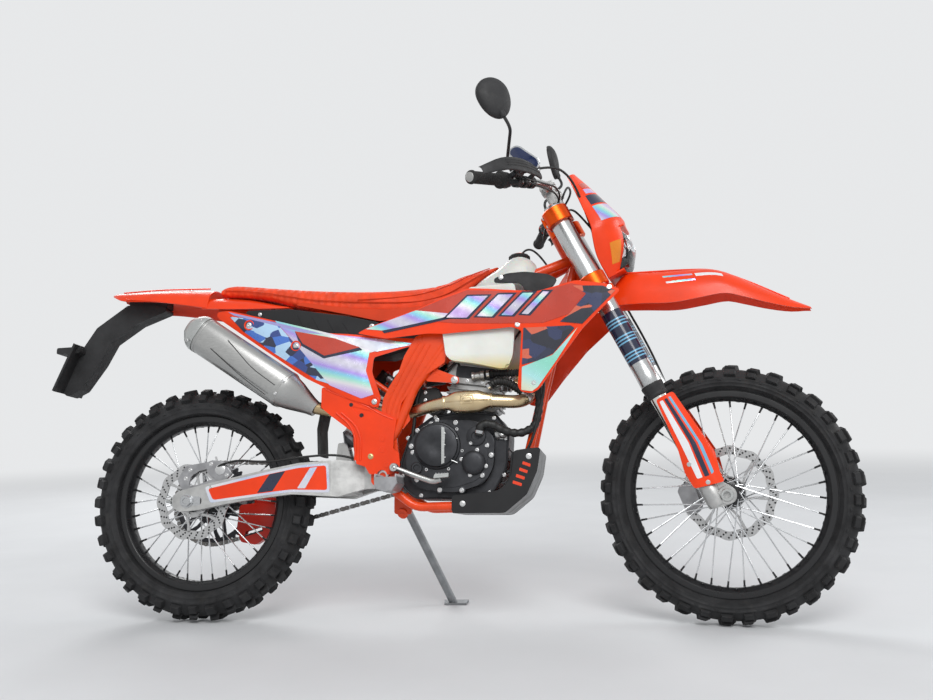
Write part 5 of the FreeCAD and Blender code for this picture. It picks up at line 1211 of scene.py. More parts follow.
def fuel_tank():
    """Translucent tank: rounded hump, side lobes with rolled corners, black knee trims, ribbed cap and vent."""
    made = Drawing("tank_plastic")
    hump = ((794, 934, 40, 862), (815, 950, 62, 858), (839, 966, 78, 856), (886, 994, 88, 852),
            (912, 1018, 86, 850), (940, 1026, 80, 862), (966, 1018, 74, 874), (985, 1000, 62, 892),
            (996, 962, 50, 912))
    sections = []
    for x in spread(794, 996, 16):
        top, half, low = smoothed(hump, x)
        sections.append([(x, half * c, (top + low) / 2 + (top - low) / 2 * s)
                         for c, s in squared_circle(28, 0.55, 0.6)])
    made.loft(sections)
    lobe = [(728, 800), (738, 726), (754, 711), (818, 701), (892, 684), (911, 688), (924, 720), (935, 860),
            (900, 900), (790, 868)]
    for side in (-1, 1):
        made.plate(lobe, side * 104, side * 131, 6, 12, 5)
        made.plate([(796, 862), (800, 918), (930, 926), (940, 862)], side * 80, side * 126, 4, 10)
        made.pipe([(742, side * 118, 790), (752, side * 118, 722), (890, side * 118, 692), (916, side * 118, 715),
                   (928, side * 118, 800)], 3.2, 16, 8)
        made.use("black_plastic")
        made.plate([(873, 930), (873, 942), (908, 955), (958, 958), (1024, 948), (1050, 933), (1036, 910),
                    (997, 900), (957, 903), (950, 926)], side * 112, side * 118, 1.6, 10)
        made.use("bolt_steel")
        made.bolt((892, side * 118, 944), (0, side, 0), 5, 3)
        made.use("tank_plastic")
    made.use("black_plastic")
    made.turn([(0, 0), (0, 33), (6, 33), (8, 30), (24, 29), (28, 26), (28, 0)], (934, 0, 1012), upward, 48)
    for spot in around((934, 0, 1022), upward, 29.5, 20):
        made.rod(spot, spot + Vector((0, 0, 14)), 1.8, 8)
    made.use("orange_anodised")
    made.turn([(0, 0), (0, 22), (1.5, 22), (2.5, 20), (2.5, 0)], (934, 0, 1040), upward, 40)
    tank = made.build("tank_shell", "machine", ["fuel_tank"], 36)
    line_piece("tank_vent", "machine", [(938, 0, 1038), (950, 4, 1062), (985, 8, 1052), (1012, 6, 1010)], 3.0)
    return tank


def cushion_stations():
    return (
        (38, 948, 963, 49), (60, 945, 973, 58), (120, 939, 969, 65), (200, 927, 960, 70), (280, 901, 952, 73),
        (360, 884, 945, 73), (450, 877, 939, 73), (560, 868, 937, 71), (640, 863, 941, 66), (710, 877, 951, 61),
        (770, 910, 974, 54), (800, 946, 982, 50), (840, 976, 993, 42), (876, 1000, 1007, 35),
    )


def cushion(name):
    """The seat's foam: a long crowned form, flat below."""
    made = Drawing("seat_cover")
    sections = []
    for x in spread(38, 876, 44):
        low, high, half = smoothed(cushion_stations(), x)
        rise = high - low
        right = [(half - 5, low), (half, low + 0.12 * rise), (half, low + 0.5 * rise),
                 (0.93 * half, low + 0.74 * rise), (0.76 * half, low + 0.9 * rise),
                 (0.45 * half, low + 0.985 * rise)]
        ring = right + [(0, high)] + [(-y, z) for y, z in right[::-1]]
        sections.append([(x, y, z) for y, z in ring])
    made.loft(sections)
    return made.build(name, "machine", ["seat"], 60)


def puffed(pad, cap):
    """Blows the cover up a little with a cloth simulation, and holds every point within the cap."""
    bpy.context.view_layer.objects.active = pad
    shape = pad.modifiers.new("Even mesh", "REMESH")
    shape.mode = "VOXEL"
    shape.voxel_size = 0.0055
    shape.use_smooth_shade = True
    bpy.ops.object.modifier_apply(modifier=shape.name)
    rest = [v.co.copy() for v in pad.data.vertices]
    cloth = pad.modifiers.new("Cover", "CLOTH")
    cloth.settings.use_pressure = True
    cloth.settings.uniform_pressure_force = 4.0
    cloth.settings.effector_weights.gravity = 0.0
    cloth.settings.tension_stiffness = 40
    cloth.settings.compression_stiffness = 40
    cloth.settings.quality = 4
    for step in range(1, 21):
        bpy.context.scene.frame_set(step)
    bpy.ops.object.modifier_apply(modifier=cloth.name)
    bpy.context.scene.frame_set(1)
    for v, start in zip(pad.data.vertices, rest):
        moved = v.co - start
        if moved.length > cap:
            v.co = start + moved.normalized() * cap
    finer = pad.modifiers.new("Finer", "SUBSURF")
    finer.levels = finer.render_levels = 1


def seat():
    """Padded seat: the blown-up cover, its side skirts, and the piping along its seams."""
    pad = cushion("seat_cushion")
    puffed(pad, 0.004)
    made = Drawing("seat_plain")
    for side in (-1, 1):
        skirt = [(284, 900), (360, 884), (441, 866), (534, 843), (640, 848), (688, 863), (690, 884), (560, 876),
                 (450, 884), (300, 908)]
        made.plate(skirt, side * 68, side * 73, 1.2, 6)
        seam = []
        for x in (60, 130, 220, 330, 450, 560, 650, 730, 790, 850):
            low, high, half = smoothed(cushion_stations(), x)
            seam.append((x, side * (half + 1.4), low + 0.42 * (high - low)))
        made.pipe(seam, 1.5, 40, 8)
        front = []
        for x in (470, 560, 650, 730, 800, 850):
            low, high, half = smoothed(cushion_stations(), x)
            share = 0.5 + 0.42 * (x - 470) / 380
            front.append((x, side * (half * (1.03 - 0.30 * (x - 470) / 380)), low + share * (high - low) + 1.5))
        made.pipe(front, 1.4, 40, 8)
    made.build("seat_seams", "machine", sharp=40)
    return pad


class ENDURO_OT_bodywork(bpy.types.Operator):
    """Add the shrouds, side panels, mudguards, lamp mask, lamp, tank and seat"""

    bl_idname = "enduro.bodywork"
    bl_label = "Bodywork"

    def execute(self, context):
        radiator_shrouds()
        side_panels()
        rear_mudguard()
        front_mudguard()
        lamp_mask()
        lamp()
        fuel_tank()
        seat()
        return {"FINISHED"}


# Engine and exhaust

engine_tilt = Matrix.Translation((800, 0, 576)) @ Matrix.Rotation(math.radians(8), 4, "Y")


def clutch_cover(made):
    """Round clutch cover with its rim, a bare machined strip and the stiffening ribs beside it."""
    centre = (709, -73, 480)
    made.use("engine_metal")
    made.turn([(0, 66), (24, 66), (30, 63.5), (32, 59), (37.4, 57), (38, 55.5), (38, 20), (37.2, 18), (37.2, 0)],
              centre, to_right, 64)
    made.use("alloy_rail")
    made.plate([(723, 429), (723, 531), (731, 528), (733, 505), (731, 470), (731, 432)], -112, -109.5, 0.6)
    for low in (448, 482, 514):
        made.rod((731, -110, low), (766, -104, low - 16), 1.7, 8)
    made.use("engine_metal")
    for spot in around(centre, to_right, 71, 7, 0.35):
        made.turn([(0, 7.5), (22, 7), (24, 5.6), (24, 0)], spot + Vector((0, 2, 0)), to_right, 18)
    made.use("bolt_steel")
    for spot in around(centre, to_right, 71, 7, 0.35):
        made.bolt(spot + Vector((0, -22, 0)), to_right, 4.6, 4)


def engine_covers():
    """Crankcase halves with ribs and a joint line, side covers, pump, caps and their screws."""
    made = Drawing("engine_metal")
    core = [(602, 374), (602, 440), (630, 519), (691, 564), (780, 578), (872, 566), (906, 520), (900, 420),
            (865, 354), (760, 336), (642, 338)]
    made.plate(core, -73, -5, 3, 12)
    made.plate(core, -4, 61, 3, 12)
    shrunk = [(x * 0.99 + 7.5, z * 0.99 + 4.6) for x, z in core]
    made.plate(shrunk, -6, -3, 0, 12)
    block = [(628, 392), (620, 440), (640, 512), (700, 552), (820, 548), (868, 500), (864, 420), (838, 376),
             (760, 352), (660, 362)]
    made.plate(block, -96, -72, 3, 18)
    made.plate([(x * 0.86 + 104, z * 0.86 + 63) for x, z in block], -98.5, -95, 1.5, 18)
    clutch_cover(made)
    made.use("engine_metal")
    made.turn([(-2, 33), (0, 33), (10, 32), (15, 27), (17, 20), (17.4, 0)], (810, -97, 432), to_right, 44)
    made.turn([(-2, 27), (0, 27), (7, 26), (9, 22), (9, 12), (6, 11), (6, 0)], (817, -97, 504), to_right, 40)
    made.use("engine_metal")
    made.turn([(-2, 16), (6, 16), (8, 14), (8, 9), (5, 8), (5, 0)], (653, -97, 420), to_right, 32)
    made.use("engine_metal")
    made.turn([(0, 70), (26, 69), (33, 62), (35, 56), (35, 26), (33, 24), (33, 0)], (800, 61, 452), to_left, 64)
    made.plate([(640, 390), (640, 470), (720, 520), (724, 380)], 60, 78, 3, 14)
    made.turn([(0, 34), (14, 33), (16, 28), (16, 0)], (660, 76, 416), to_left, 40)
    made.use("engine_metal")
    for k in range(5):
        x = 648 + 44 * k
        made.rod((x, -68, 342), (x, 56, 342), 3, 8)
    for k in range(4):
        made.plate([(884, 376 + 30 * k), (884, 381 + 30 * k), (906, 384 + 30 * k), (906, 379 + 30 * k)], -66, 54, 1)
    for side, y in ((-1, -74), (1, 62)):
        made.pipe([(x * 0.985 + 11, y - side, z * 0.985 + 7) for x, z in core], 3.2, 14, 8, closed=True)
    made.use("bolt_steel")
    for x, z in ((692, 540), (760, 543), (825, 530), (846, 478), (858, 452), (833, 398), (777, 358), (716, 360),
                 (652, 388), (636, 480)):
        made.bolt((x, -97, z), to_right, 5, 4)
        made.use("engine_metal")
        made.turn([(-3, 10), (0, 9.5), (0.6, 8), (0.6, 0)], (x, -96.6, z), to_right, 20)
        made.use("bolt_steel")
    for x, z in ((890, 400), (896, 500), (864, 556), (700, 562), (622, 505), (607, 400), (660, 346), (850, 352)):
        made.bolt((x, -74, z), to_right, 4.4, 4)
        made.bolt((x, 62, z), to_left, 4.4, 4)
    for spot in around((800, 84, 452), to_left, 64, 8, 0.2):
        made.bolt(spot, to_left, 4.4, 5)
    for spot in around((810, -100, 432), to_right, 35, 4, 0.5):
        made.bolt(spot, to_right, 4.2, 4)
    for turn in (0.9, -2.2):
        spot = Vector((817 + 23 * math.cos(turn), -104, 504 + 23 * math.sin(turn)))
        made.bolt(spot, to_right, 4.2, 4)
    made.use("cast_alloy")
    made.turn([(0, 17), (14, 17), (16, 14), (30, 13), (34, 9), (34, 0)], (884, -66, 512), (0.2, -1, 0.1), 28)
    return made.build("engine_covers", "machine", ["engine_cases"])


def engine_head():
    """Barrel with its waterjacket joint, head, cam cover with ribs and screws, and both ports."""
    made = Drawing("engine_silver")
    drawn = []
    drawn += made.plate([(-72, 8), (-72, 76), (72, 76), (72, 8)], -58, 58, 4, 16)
    for k in range(4):
        z = 17 + 14 * k
        drawn += made.plate([(-78, z), (-78, z + 4.5), (78, z + 4.5), (78, z)], -64, 64, 1.2)
    drawn += made.plate([(-74, 76), (-80, 84), (-80, 130), (-72, 140), (70, 140), (76, 132), (76, 84), (70, 76)],
                        -66, 66, 4, 8)
    drawn += made.plate([(-66, 142), (-64, 164), (-52, 176), (44, 176), (60, 164), (62, 142)], -60, 60, 5, 8)
    drawn += made.plate([(-70, 139), (-70, 143), (66, 143), (66, 139)], -63, 63, 1)
    drawn += made.turn([(0, 27), (16, 27), (20, 24), (22, 21)], (70, 0, 103), (1, 0, -0.06), 36, False)
    drawn += made.turn([(0, 26), (20, 26), (24, 24), (26, 21)], (-70, 0, 119), (-1, 0, 0.06), 36, False)
    made.use("engine_metal")
    for k in range(4):
        x = -44 + 29 * k
        drawn += made.plate([(x, 172), (x, 176.4), (x + 9, 176.4), (x + 9, 172)], -46, 46, 1)
    for side in (-1, 1):
        drawn += made.plate([(-58, 92), (-58, 126), (54, 126), (54, 92)], side * 65, side * 67.4, 1.2, 8)
        drawn += made.plate([(-44, 148), (-44, 160), (38, 160), (38, 148)], side * 59, side * 61.4, 1, 5)
    made.use("bolt_steel")
    for side in (-1, 1):
        for x in (-66, -24, 20, 62):
            drawn += made.bolt((x, side * 66, 84), (0, side, 0), 4.4, 4)
        for x in (-56, 50):
            drawn += made.bolt((x, side * 60, 168), (0, side, 0), 4.2, 4)
        for x in (-70, 66):
            drawn += made.bolt((x, side * 58, 74), upward, 4.5, 5)
    made.move(drawn, engine_tilt)
    return made.build("engine_head", "machine", ["engine_top"])


def exhaust_header():
    """Header pipe with a flange at the port and a pressed resonance chamber with welded collars."""
    made = Drawing("header_metal")
    port = engine_tilt @ Vector((92.5, 0, 99.9))
    bend = engine_tilt @ Vector((136, 0, 92))
    route = [port, bend, (968, -46, 622), (940, -104, 594), (861, -122, 598), (736, -122, 594), (688, -104, 588),
             (627, -62, 578), (540, -62, 580), (440, -74, 584), (398, -86, 586), (358, -108, 593)]
    made.pipe(route, 17.9, 70, 24, 10)
    start, end = Vector(route[4]), Vector(route[5])
    ahead = (end - start).normalized()
    up = Vector(upward) - ahead * ahead.z
    side = ahead.cross(up).normalized()
    sections = []
    for at, tall, deep in ((-4, 18.5, 18.5), (2, 19, 18.5), (14, 23, 21), (26, 28, 24), (34, 30, 25), (62, 31, 26),
                           (92, 30, 25), (100, 28, 24), (112, 22.5, 21), (122, 19, 18.5), (129, 18.5, 18.5)):
        sections.append([start + ahead * at + side * deep * c + up * tall * s
                         for c, s in squared_circle(24, 0.75, 0.75)])
    made.loft(sections)
    seam = [start + ahead * at - side * out for at, out in ((4, 25.4), (62, 27), (122, 22))]
    made.pipe(seam, 1.2, 0, 6)
    for at in (-3, 128):
        made.turn([(-3, 18), (-3, 20.3), (0, 21), (3, 20.3), (3, 18)], start + ahead * at, ahead, 28)
    middle = start + ahead * 62 + Vector((0, -25, 3))
    for wide, tall in ((17, 11), (11, 5.5)):
        corners = [middle + Vector((x * wide, -0.3, z * tall)) for x, z in ((-1, -1), (-1, 1), (1, 1), (1, -1))]
        made.pipe(corners, 1.5, 4, 8, closed=True)
    made.use("axle_steel")
    made.turn([(0, 18), (0, 25), (6, 25), (7, 23), (7, 18)], port, bend - port, 32)
    for turn in (0.6, 3.74):
        spot = port + (bend - port).normalized() * 7 + Vector((0, 23 * math.cos(turn), 23 * math.sin(turn)))
        made.nut(spot, bend - port, 4.5, 7)
    made.turn([(0, 18.2), (0, 20), (24, 20), (24, 18.2)], (478, -68.5, 582), (-1, -0.12, 0.04), 28)
    return made.build("header_pipe", "machine", ["exhaust_header"], 38)


silencer_slope = math.radians(33.4)
silencer_way = Vector((-math.cos(silencer_slope), 0, math.sin(silencer_slope)))
silencer_up = Vector((math.sin(silencer_slope), 0, math.cos(silencer_slope)))
silencer_front = Vector((365, -140, 587))


def silencer_ring(at, wide, tall, shift=0.0, power=0.72):
    """A rounded box section across the silencer, so far along it from its front."""
    middle = silencer_front + Vector((0, shift, 0)) + silencer_way * at
    return [middle + Vector(to_right) * wide * c + silencer_up * tall * s for c, s in squared_circle(40, power, power)]


def silencer():
    """Silencer can with pressed grooves, a waisted front cone, an end cap, its strap and the outlet."""
    made = Drawing("silencer_metal")
    made.loft([silencer_ring(at, w, t, shift, power) for at, w, t, shift, power in (
        (0, 21.5, 21.5, 32, 1.0), (18, 26, 26, 26, 0.95), (40, 35, 34, 17, 0.85), (64, 45, 43, 8, 0.78),
        (84, 50.5, 48.5, 1, 0.74), (92, 51.4, 50.4, 0, 0.72))])
    made.loft([silencer_ring(at, w, t) for at, w, t in (
        (90, 50, 51), (92, 51.6, 53), (97, 52, 53.6), (250, 52, 53.8), (386, 52, 53.8), (391, 51.4, 53.2),
        (391, 49, 50))])
    for at in (99, 384):
        made.loft([silencer_ring(at + k, 52.4 + lift, 54.1 + lift)
                   for k, lift in ((-3, -0.6), (-2, 0.4), (2, 0.4), (3, -0.6))])
    made.use("alloy_rail")
    made.loft([silencer_ring(at, w, t) for at, w, t in (
        (391, 51, 53), (392, 53, 55), (402, 53, 55), (412, 50, 52), (421, 45.5, 47), (432, 37, 36), (439, 31, 28),
        (441, 29, 26), (441, 19, 19), (436, 17, 17))])
    made.turn([(414, 15), (414, 17.4), (444, 17.4), (446, 16.4), (446, 15)], silencer_front, silencer_way, 32)
    made.use("black_rim")
    made.turn([(405, 0), (405, 15.4), (444, 15.4), (420, 14), (410, 0)], silencer_front, silencer_way, 28)

    def on_side(at, up, lift=0.4):
        return silencer_front + silencer_way * at + silencer_up * up + Vector((0, -51.8 - lift, 0))

    made.use("black_rim")
    for line in (((300, 30), (262, 20), (196, 2), (110, -2)), ((330, -16), (290, -22), (200, -34), (118, -38))):
        made.pipe([on_side(at, up) for at, up in line], 1.2, 30, 8)
    made.use("bolt_steel")
    for at in (404, 403):
        for up in (-34, 34):
            made.bolt(on_side(at, up, 1.0), to_right, 3.4, 2.2)
    for up in (-20, 20):
        made.bolt(on_side(96, up, 0.2), to_right, 3.4, 2.4)
    return made.build("silencer_can", "machine", ["silencer"], 30)


def radiators():
    """Twin cores with flat tubes, folded fins, side tanks, filler neck and hose stubs."""
    made = Drawing("radiator_alloy")
    front_low, front_top = Vector((1004, 0, 656)), Vector((1044, 0, 862))
    rear_low = Vector((964, 0, 664))
    along_up = (front_top - front_low).normalized()
    across = (rear_low - front_low).normalized()
    tall = (front_top - front_low).length
    deep = (rear_low - front_low).length

    def spot(up, back, y):
        return front_low + along_up * up + across * back + Vector((0, y, 0))

    def brick(up, back, low, high):
        made.loft([[spot(up[0], back[0], y), spot(up[1], back[0], y), spot(up[1], back[1], y),
                    spot(up[0], back[1], y)] for y in (low, high)])

    for side in (-1, 1):
        low, high = sorted((side * 79, side * 127))
        made.use("radiator_alloy")
        brick((0.5, 14), (0.5, deep - 0.5), low, high)
        brick((tall - 14, tall - 0.5), (0.5, deep - 0.5), low, high)
        brick((14, tall - 14), (1, deep - 1), low, low + 2)
        brick((14, tall - 14), (1, deep - 1), high - 2, high)
        made.use("black_rim")
        brick((14, tall - 14), (8, deep - 8), low + 2, high - 2)
        made.use("radiator_alloy")
        count = 17
        for k in range(count):
            at = 16 + (tall - 34) * k / (count - 1)
            brick((at, at + 2.4), (2, deep - 2), low + 2, high - 2)
    for side, y in ((-1, -103), (1, 103)):
        made.use("cast_alloy")
        made.rod(spot(8, deep - 2, y), spot(8, deep + 8, y), 11, 20)
        made.rod(spot(tall - 8, deep - 2, y), spot(tall - 8, deep + 8, y), 11, 20)
    made.turn([(-3, 15), (0, 15), (1, 17), (6, 17), (7, 15), (7, 0)], spot(tall, 20, -103), along_up, 28)
    return made.build("radiator_cores", "machine", ["radiators"])


def ribbed_hose(name, points, radius, ribs=16):
    """A corrugated hose: rings along a bent line, with plain ends and clips."""
    made = Drawing("hose_rubber")
    line = softened(points, 30, 8, False)
    lengths = lengths_along(line)

    def at(distance):
        for k in range(len(line) - 1):
            if distance <= lengths[k + 1]:
                share = (distance - lengths[k]) / (lengths[k + 1] - lengths[k])
                return line[k].lerp(line[k + 1], share)
        return line[-1].copy()

    total = lengths[-1]
    steps = ribs * 6
    knots = [at(total * k / steps) for k in range(steps + 1)]

    def swell(share):
        inside = min(1.0, 8 * min(share, 1 - share))
        return radius - 2.2 * inside * (0.5 - 0.5 * math.cos(math.tau * ribs * share))

    made.pipe(knots, swell, 0, 16)
    made.use("axle_steel")
    for share in (0.03, 0.97):
        here, ahead = at(total * share), at(total * min(share + 0.02, 1.0)) - at(total * (share - 0.02))
        made.turn([(-4, radius - 1), (-4, radius + 0.9), (4, radius + 0.9), (4, radius - 1)], here, ahead, 24)
    return made.build(name, "machine", sharp=40)


def intake():
    """Throttle body, starter motor and the wiring block between the engine and the frame."""
    made = Drawing("black_plastic")
    made.turn([(0, 24), (30, 24), (32, 27), (44, 27), (46, 24), (62, 24), (62, 0)], (706, 0, 706), (-0.8, 0, 0.6), 32)
    made.rod((690, -42, 596), (690, 40, 596), 25, 28)
    made.plate([(640, 600), (646, 640), (700, 650), (716, 622), (704, 596)], -62, -24, 4, 8)
    made.plate([(652, 652), (656, 690), (712, 700), (724, 660)], -58, -30, 3, 6)
    made.use("bolt_steel")
    for z in (612, 634):
        made.bolt((668, -62, z), to_right, 4, 3)
    made.turn([(0, 12), (8, 12), (9, 9), (9, 0)], (690, -42, 596), to_right, 24)
    return made.build("throttle_and_starter", "machine", sharp=36)


def hoses():
    """Coolant hoses with their fittings, and the breather, fuel, overflow, lead and clutch lines."""
    ribbed_hose("coolant_hose_low", [(826, -108, 506), (832, -112, 536), (862, -108, 536), (900, -98, 514),
                                     (940, -84, 510), (978, -74, 530), (992, -80, 590), (988, -88, 654)], 12, 15)
    ribbed_hose("coolant_hose_top", [(846, -78, 678), (884, -80, 680), (926, -82, 679), (946, -82, 680)], 11, 13)
    ribbed_hose("coolant_hose_bend", [(852, -88, 640), (872, -94, 656), (906, -94, 652), (934, -88, 632),
                                      (950, -84, 620)], 12, 14)
    made = Drawing("cast_alloy")
    made.turn([(0, 14), (10, 14), (12, 11), (26, 11), (28, 13), (34, 13), (36, 9), (36, 0)], (838, -76, 676),
              (-1, 0, -0.1), 24)
    made.turn([(0, 15), (8, 15), (10, 12), (22, 12), (22, 0)], (952, -84, 616), (0.6, 0, -0.4), 24)
    made.rod((966, -84, 622), (992, -84, 640), 7, 16)
    made.turn([(0, 17), (20, 16), (24, 12), (40, 11), (40, 0)], (872, -72, 512), (1, -0.3, 0.1), 24)
    made.use("black_plastic")
    made.plate([(600, 628), (600, 652), (616, 652), (616, 628)], -70, -66, 1)
    made.plate([(612, 600), (616, 632), (660, 640), (690, 628), (688, 600)], -56, -20, 4, 6)
    made.build("hose_fittings", "machine")
    runs = (
        ("breather_hose", [(700, -40, 750), (690, -66, 700), (650, -74, 640), (640, -70, 560), (632, -76, 470)], 5),
        ("fuel_hose", [(760, -70, 720), (744, -78, 700), (716, -74, 682), (700, -60, 690)], 4),
        ("overflow_hose", [(1000, -96, 676), (1010, -104, 640), (990, -100, 560), (968, -92, 480), (930, -88, 420)], 4),
        ("ignition_lead", [(716, 20, 760), (720, -52, 744), (752, -66, 738), (770, -64, 700)], 4),
        ("clutch_line", [(1010, 60, 980), (930, 96, 820), (760, 100, 660), (690, 92, 560), (668, 84, 470)], 3.5),
    )
    for name, points, radius in runs:
        line_piece(name, "machine", points, radius)


def belly_guard():
    """Dished skid plate with rolled rims, side cheeks, drain slots and its clamp screws."""
    made = Drawing("gloss_black_plastic")
    cheek = [(752, 297), (752, 344), (861, 353), (890, 360), (913, 388), (920, 462), (952, 466), (994, 470),
             (984, 407), (955, 344), (895, 296)]
    keel = [(753, 297), (753, 303), (892, 303), (951, 349), (979, 409), (988, 466), (993, 466), (984, 407),
            (955, 344), (895, 297)]
    made.plate(keel, -112, 112, 1.5, 8)
    for side in (-1, 1):
        made.plate(cheek, side * 111, side * 116.5, 2, 10)
        made.pipe([(756, side * 114, 341), (862, side * 114, 350), (890, side * 114, 358), (910, side * 114, 388),
                   (918, side * 114, 458)], 2.6, 14, 8)
    made.use("bolt_steel")
    made.side_bolts([(782, 322), (962, 446)], 116, 6, 3.5)
    made.use("orange_film")
    for k in range(4):
        x, z = 917 + 9 * k, 374 + 17 * k
        made.plate([(x, z), (x + 2, z + 8), (x + 26 - k, z), (x + 24 - k, z - 8)], -117.4, -116, 0.3, 2)
    return made.build("belly_guard", "machine", ["skid_plate"])


class ENDURO_OT_engine(bpy.types.Operator):
    """Add the engine's covers and head, the exhaust, the radiators, the hoses and the skid plate"""

    bl_idname = "enduro.engine"
    bl_label = "Engine and exhaust"

    def execute(self, context):
        engine_covers()
        engine_head()
        exhaust_header()
        silencer()
        radiators()
        intake()
        hoses()
        belly_guard()
        return {"FINISHED"}


# Rear end

def arm_face(x, z):
    """How far out the swingarm's outer face stands."""
    return along(((-60, 121), (240, 121), (410, 100), (500, 76), (600, 76)), x)


def swingarm_trim():
    """What sits on the swingarm: printed films, chain adjusters, slider, brake hose clips and pivot caps."""
    made = Drawing("orange_plastic")
    made.use("pale_foil")
    made.skin([(52, 374), (200, 407), (318, 431), (402, 438), (408, 356), (300, 358), (132, 338), (70, 330)],
              lambda x, z: arm_face(x, z) + 0.6, 0.8, 20, 8)
    made.use("orange_plastic")
    made.skin([(62, 369), (202, 400), (318, 424), (396, 431), (401, 363), (300, 365), (134, 345), (78, 338)],
              lambda x, z: arm_face(x, z) + 1.1, 0.8, 20, 8)
    made.use("navy_film")
    made.skin([(206, 356), (250, 361), (284, 416), (240, 407)],
              lambda x, z: arm_face(x, z) + 1.6, 0.8, 20, 2)
    made.use("pale_foil")
    made.skin([(318, 368), (340, 368), (372, 427), (352, 424)], lambda x, z: arm_face(x, z) + 1.6, 0.8, 20, 2)
    made.use("alloy_rail")
    for side in (-1, 1):
        made.plate([(-44, 321), (-44, 350), (-36, 355), (-30, 352), (-30, 318), (-36, 316)],
                   side * 98, side * 119, 1.5, 3)
        made.rod((-66, side * 108, 336), (-44, side * 108, 336), 4.2, 12)
        made.nut((-50, side * 108, 336), (-1, 0, 0), 7, 6)
        for x, z in ((70, 384), (560, 432)):
            made.bolt((x, side * (arm_face(x, z) - 1), z - 10), (0, side, 0), 4, 3)
    for x in (90, 130, 170, 210):
        made.rod((x, -95, 352 + (x - 90) * 0.1), (x, -94, 352 + (x - 90) * 0.1), 5, 12)
    made.use("flap_rubber")
    slider = [(430, 446), (520, 446), (566, 440), (592, 424), (596, 410), (602, 410), (600, 430), (570, 449),
              (520, 452), (430, 451)]
    made.plate(slider, 56, 74, 1.0, 3)
    made.use("bolt_steel")
    for side in (-1, 1):
        made.turn([(0, 17), (4, 17), (6, 15), (6, 9), (3, 8), (3, 0)], (560, side * 105, 400), (0, side, 0), 32)
    made.build("swingarm_trim", "machine")
    line_piece("rear_brake_hose", "machine", [(70, -92, 430), (120, -108, 452), (220, -112, 440), (330, -104, 456),
                                              (430, -92, 462), (500, -84, 440), (540, -84, 420)], 3.2)


def rear_axle():
    """Axle with its head, washers, nut and spacers."""
    made = Drawing("axle_steel")
    axis = to_left
    at = (0, 0, rear_tyre_radius)
    made.rod((0, -126, rear_tyre_radius), (0, 126, rear_tyre_radius), 12.4, 32)
    for side, reach in ((1, 94.4), (-1, 85.8)):
        made.turn([(side * 58.3, 13), (side * 58.3, 18), (side * (reach - 1), 18), (side * reach, 17),
                   (side * reach, 13)], at, axis, 36)
    made.turn([(121.2, 12), (121.2, 20), (123, 20.5), (124, 20), (124, 12)], at, axis, 36)
    made.turn([(124, 0), (124, 17), (130, 16), (131, 13), (131, 6), (127, 5), (127, 0)], at, axis, 36)
    made.turn([(121.2, 12), (121.2, 19), (123.4, 19), (123.4, 12)], at, to_right, 36)
    made.turn([(123.4, 0), (123.4, 16.4), (129.6, 16.4), (131, 15), (131, 9), (128, 8), (128, 0)], at, to_right, 6)
    for side in (-1, 1):
        made.plate([(-15, 325), (-15, 347), (-12, 350), (40, 350), (40, 322), (-12, 322)],
                   side * 95.5, side * 120.8, 1, 3)
    return made.build("rear_axle_fitted", "machine", ["rear_axle"])


def shock():
    """Shock absorber: damper, reservoir with its adjuster, preload rings and the coil spring."""
    top, foot = Vector((598, 0, 700)), Vector((420, 0, 487))
    ahead = (foot - top).normalized()
    long = (foot - top).length
    made = Drawing("shock_steel")
    made.turn([(14, 0), (14, 19), (16, 20), (60, 20), (60, 23), (62, 24), (108, 24), (110, 22), (110, 9),
               (long - 16, 9), (long - 16, 0)], top, ahead, 40)
    for k in range(6):
        made.turn([(64 + 5 * k, 23.6), (64.6 + 5 * k, 25), (66.6 + 5 * k, 25), (67.2 + 5 * k, 23.6)], top, ahead, 40)
    made.turn([(long - 43, 8), (long - 43, 33), (long - 40, 34), (long - 32, 34), (long - 12, 13), (long - 10, 8)],
              top, ahead, 40)
    for end, half in ((top, 12), (foot, 15)):
        made.collar(-half, half, 8, 15, 1, end, to_left)
    made.use("black_rim")
    for at in (62, 68):
        made.turn([(at, 24), (at, 33), (at + 0.8, 34), (at + 4, 34), (at + 4.8, 33), (at + 4.8, 24)], top, ahead, 36)
    can = top + ahead * 34 + Vector((-34, 0, 30))
    made.turn([(0, 0), (0, 15), (2, 17), (10, 17), (11, 16.4), (80, 16.4), (81, 17), (88, 17), (90, 15), (90, 0)],
              can, ahead, 36)
    made.use("shock_steel")
    made.rod(top + ahead * 40, top + ahead * 44 + Vector((-34, 0, 30)), 12, 24)
    made.use("guide_red")
    made.turn([(-6, 0), (-6, 7), (-1, 8), (0, 8)], can, ahead, 20)
    made.build("damper", "machine", ["shock_absorber"])
    made = Drawing("spring_steel")
    side = ahead.orthogonal().normalized()
    other = ahead.cross(side)
    low, high, coils = 78, long - 50, 7.0
    coil = []
    steps = int(coils * 22)
    for k in range(steps + 1):
        share = k / steps
        rise = low + (high - low) * share
        turn = math.tau * coils * share
        coil.append(top + ahead * rise + (side * math.cos(turn) + other * math.sin(turn)) * 30.5)
    made.pipe(coil, 5.6, 0, 10)
    made.build("shock_spring", "machine", sharp=60)


chain_pitch = 15.875
chain_y = 72
rear_teeth, front_teeth = 48, 13


def pitch_radius(teeth):
    return chain_pitch / (2 * math.sin(math.pi / teeth))


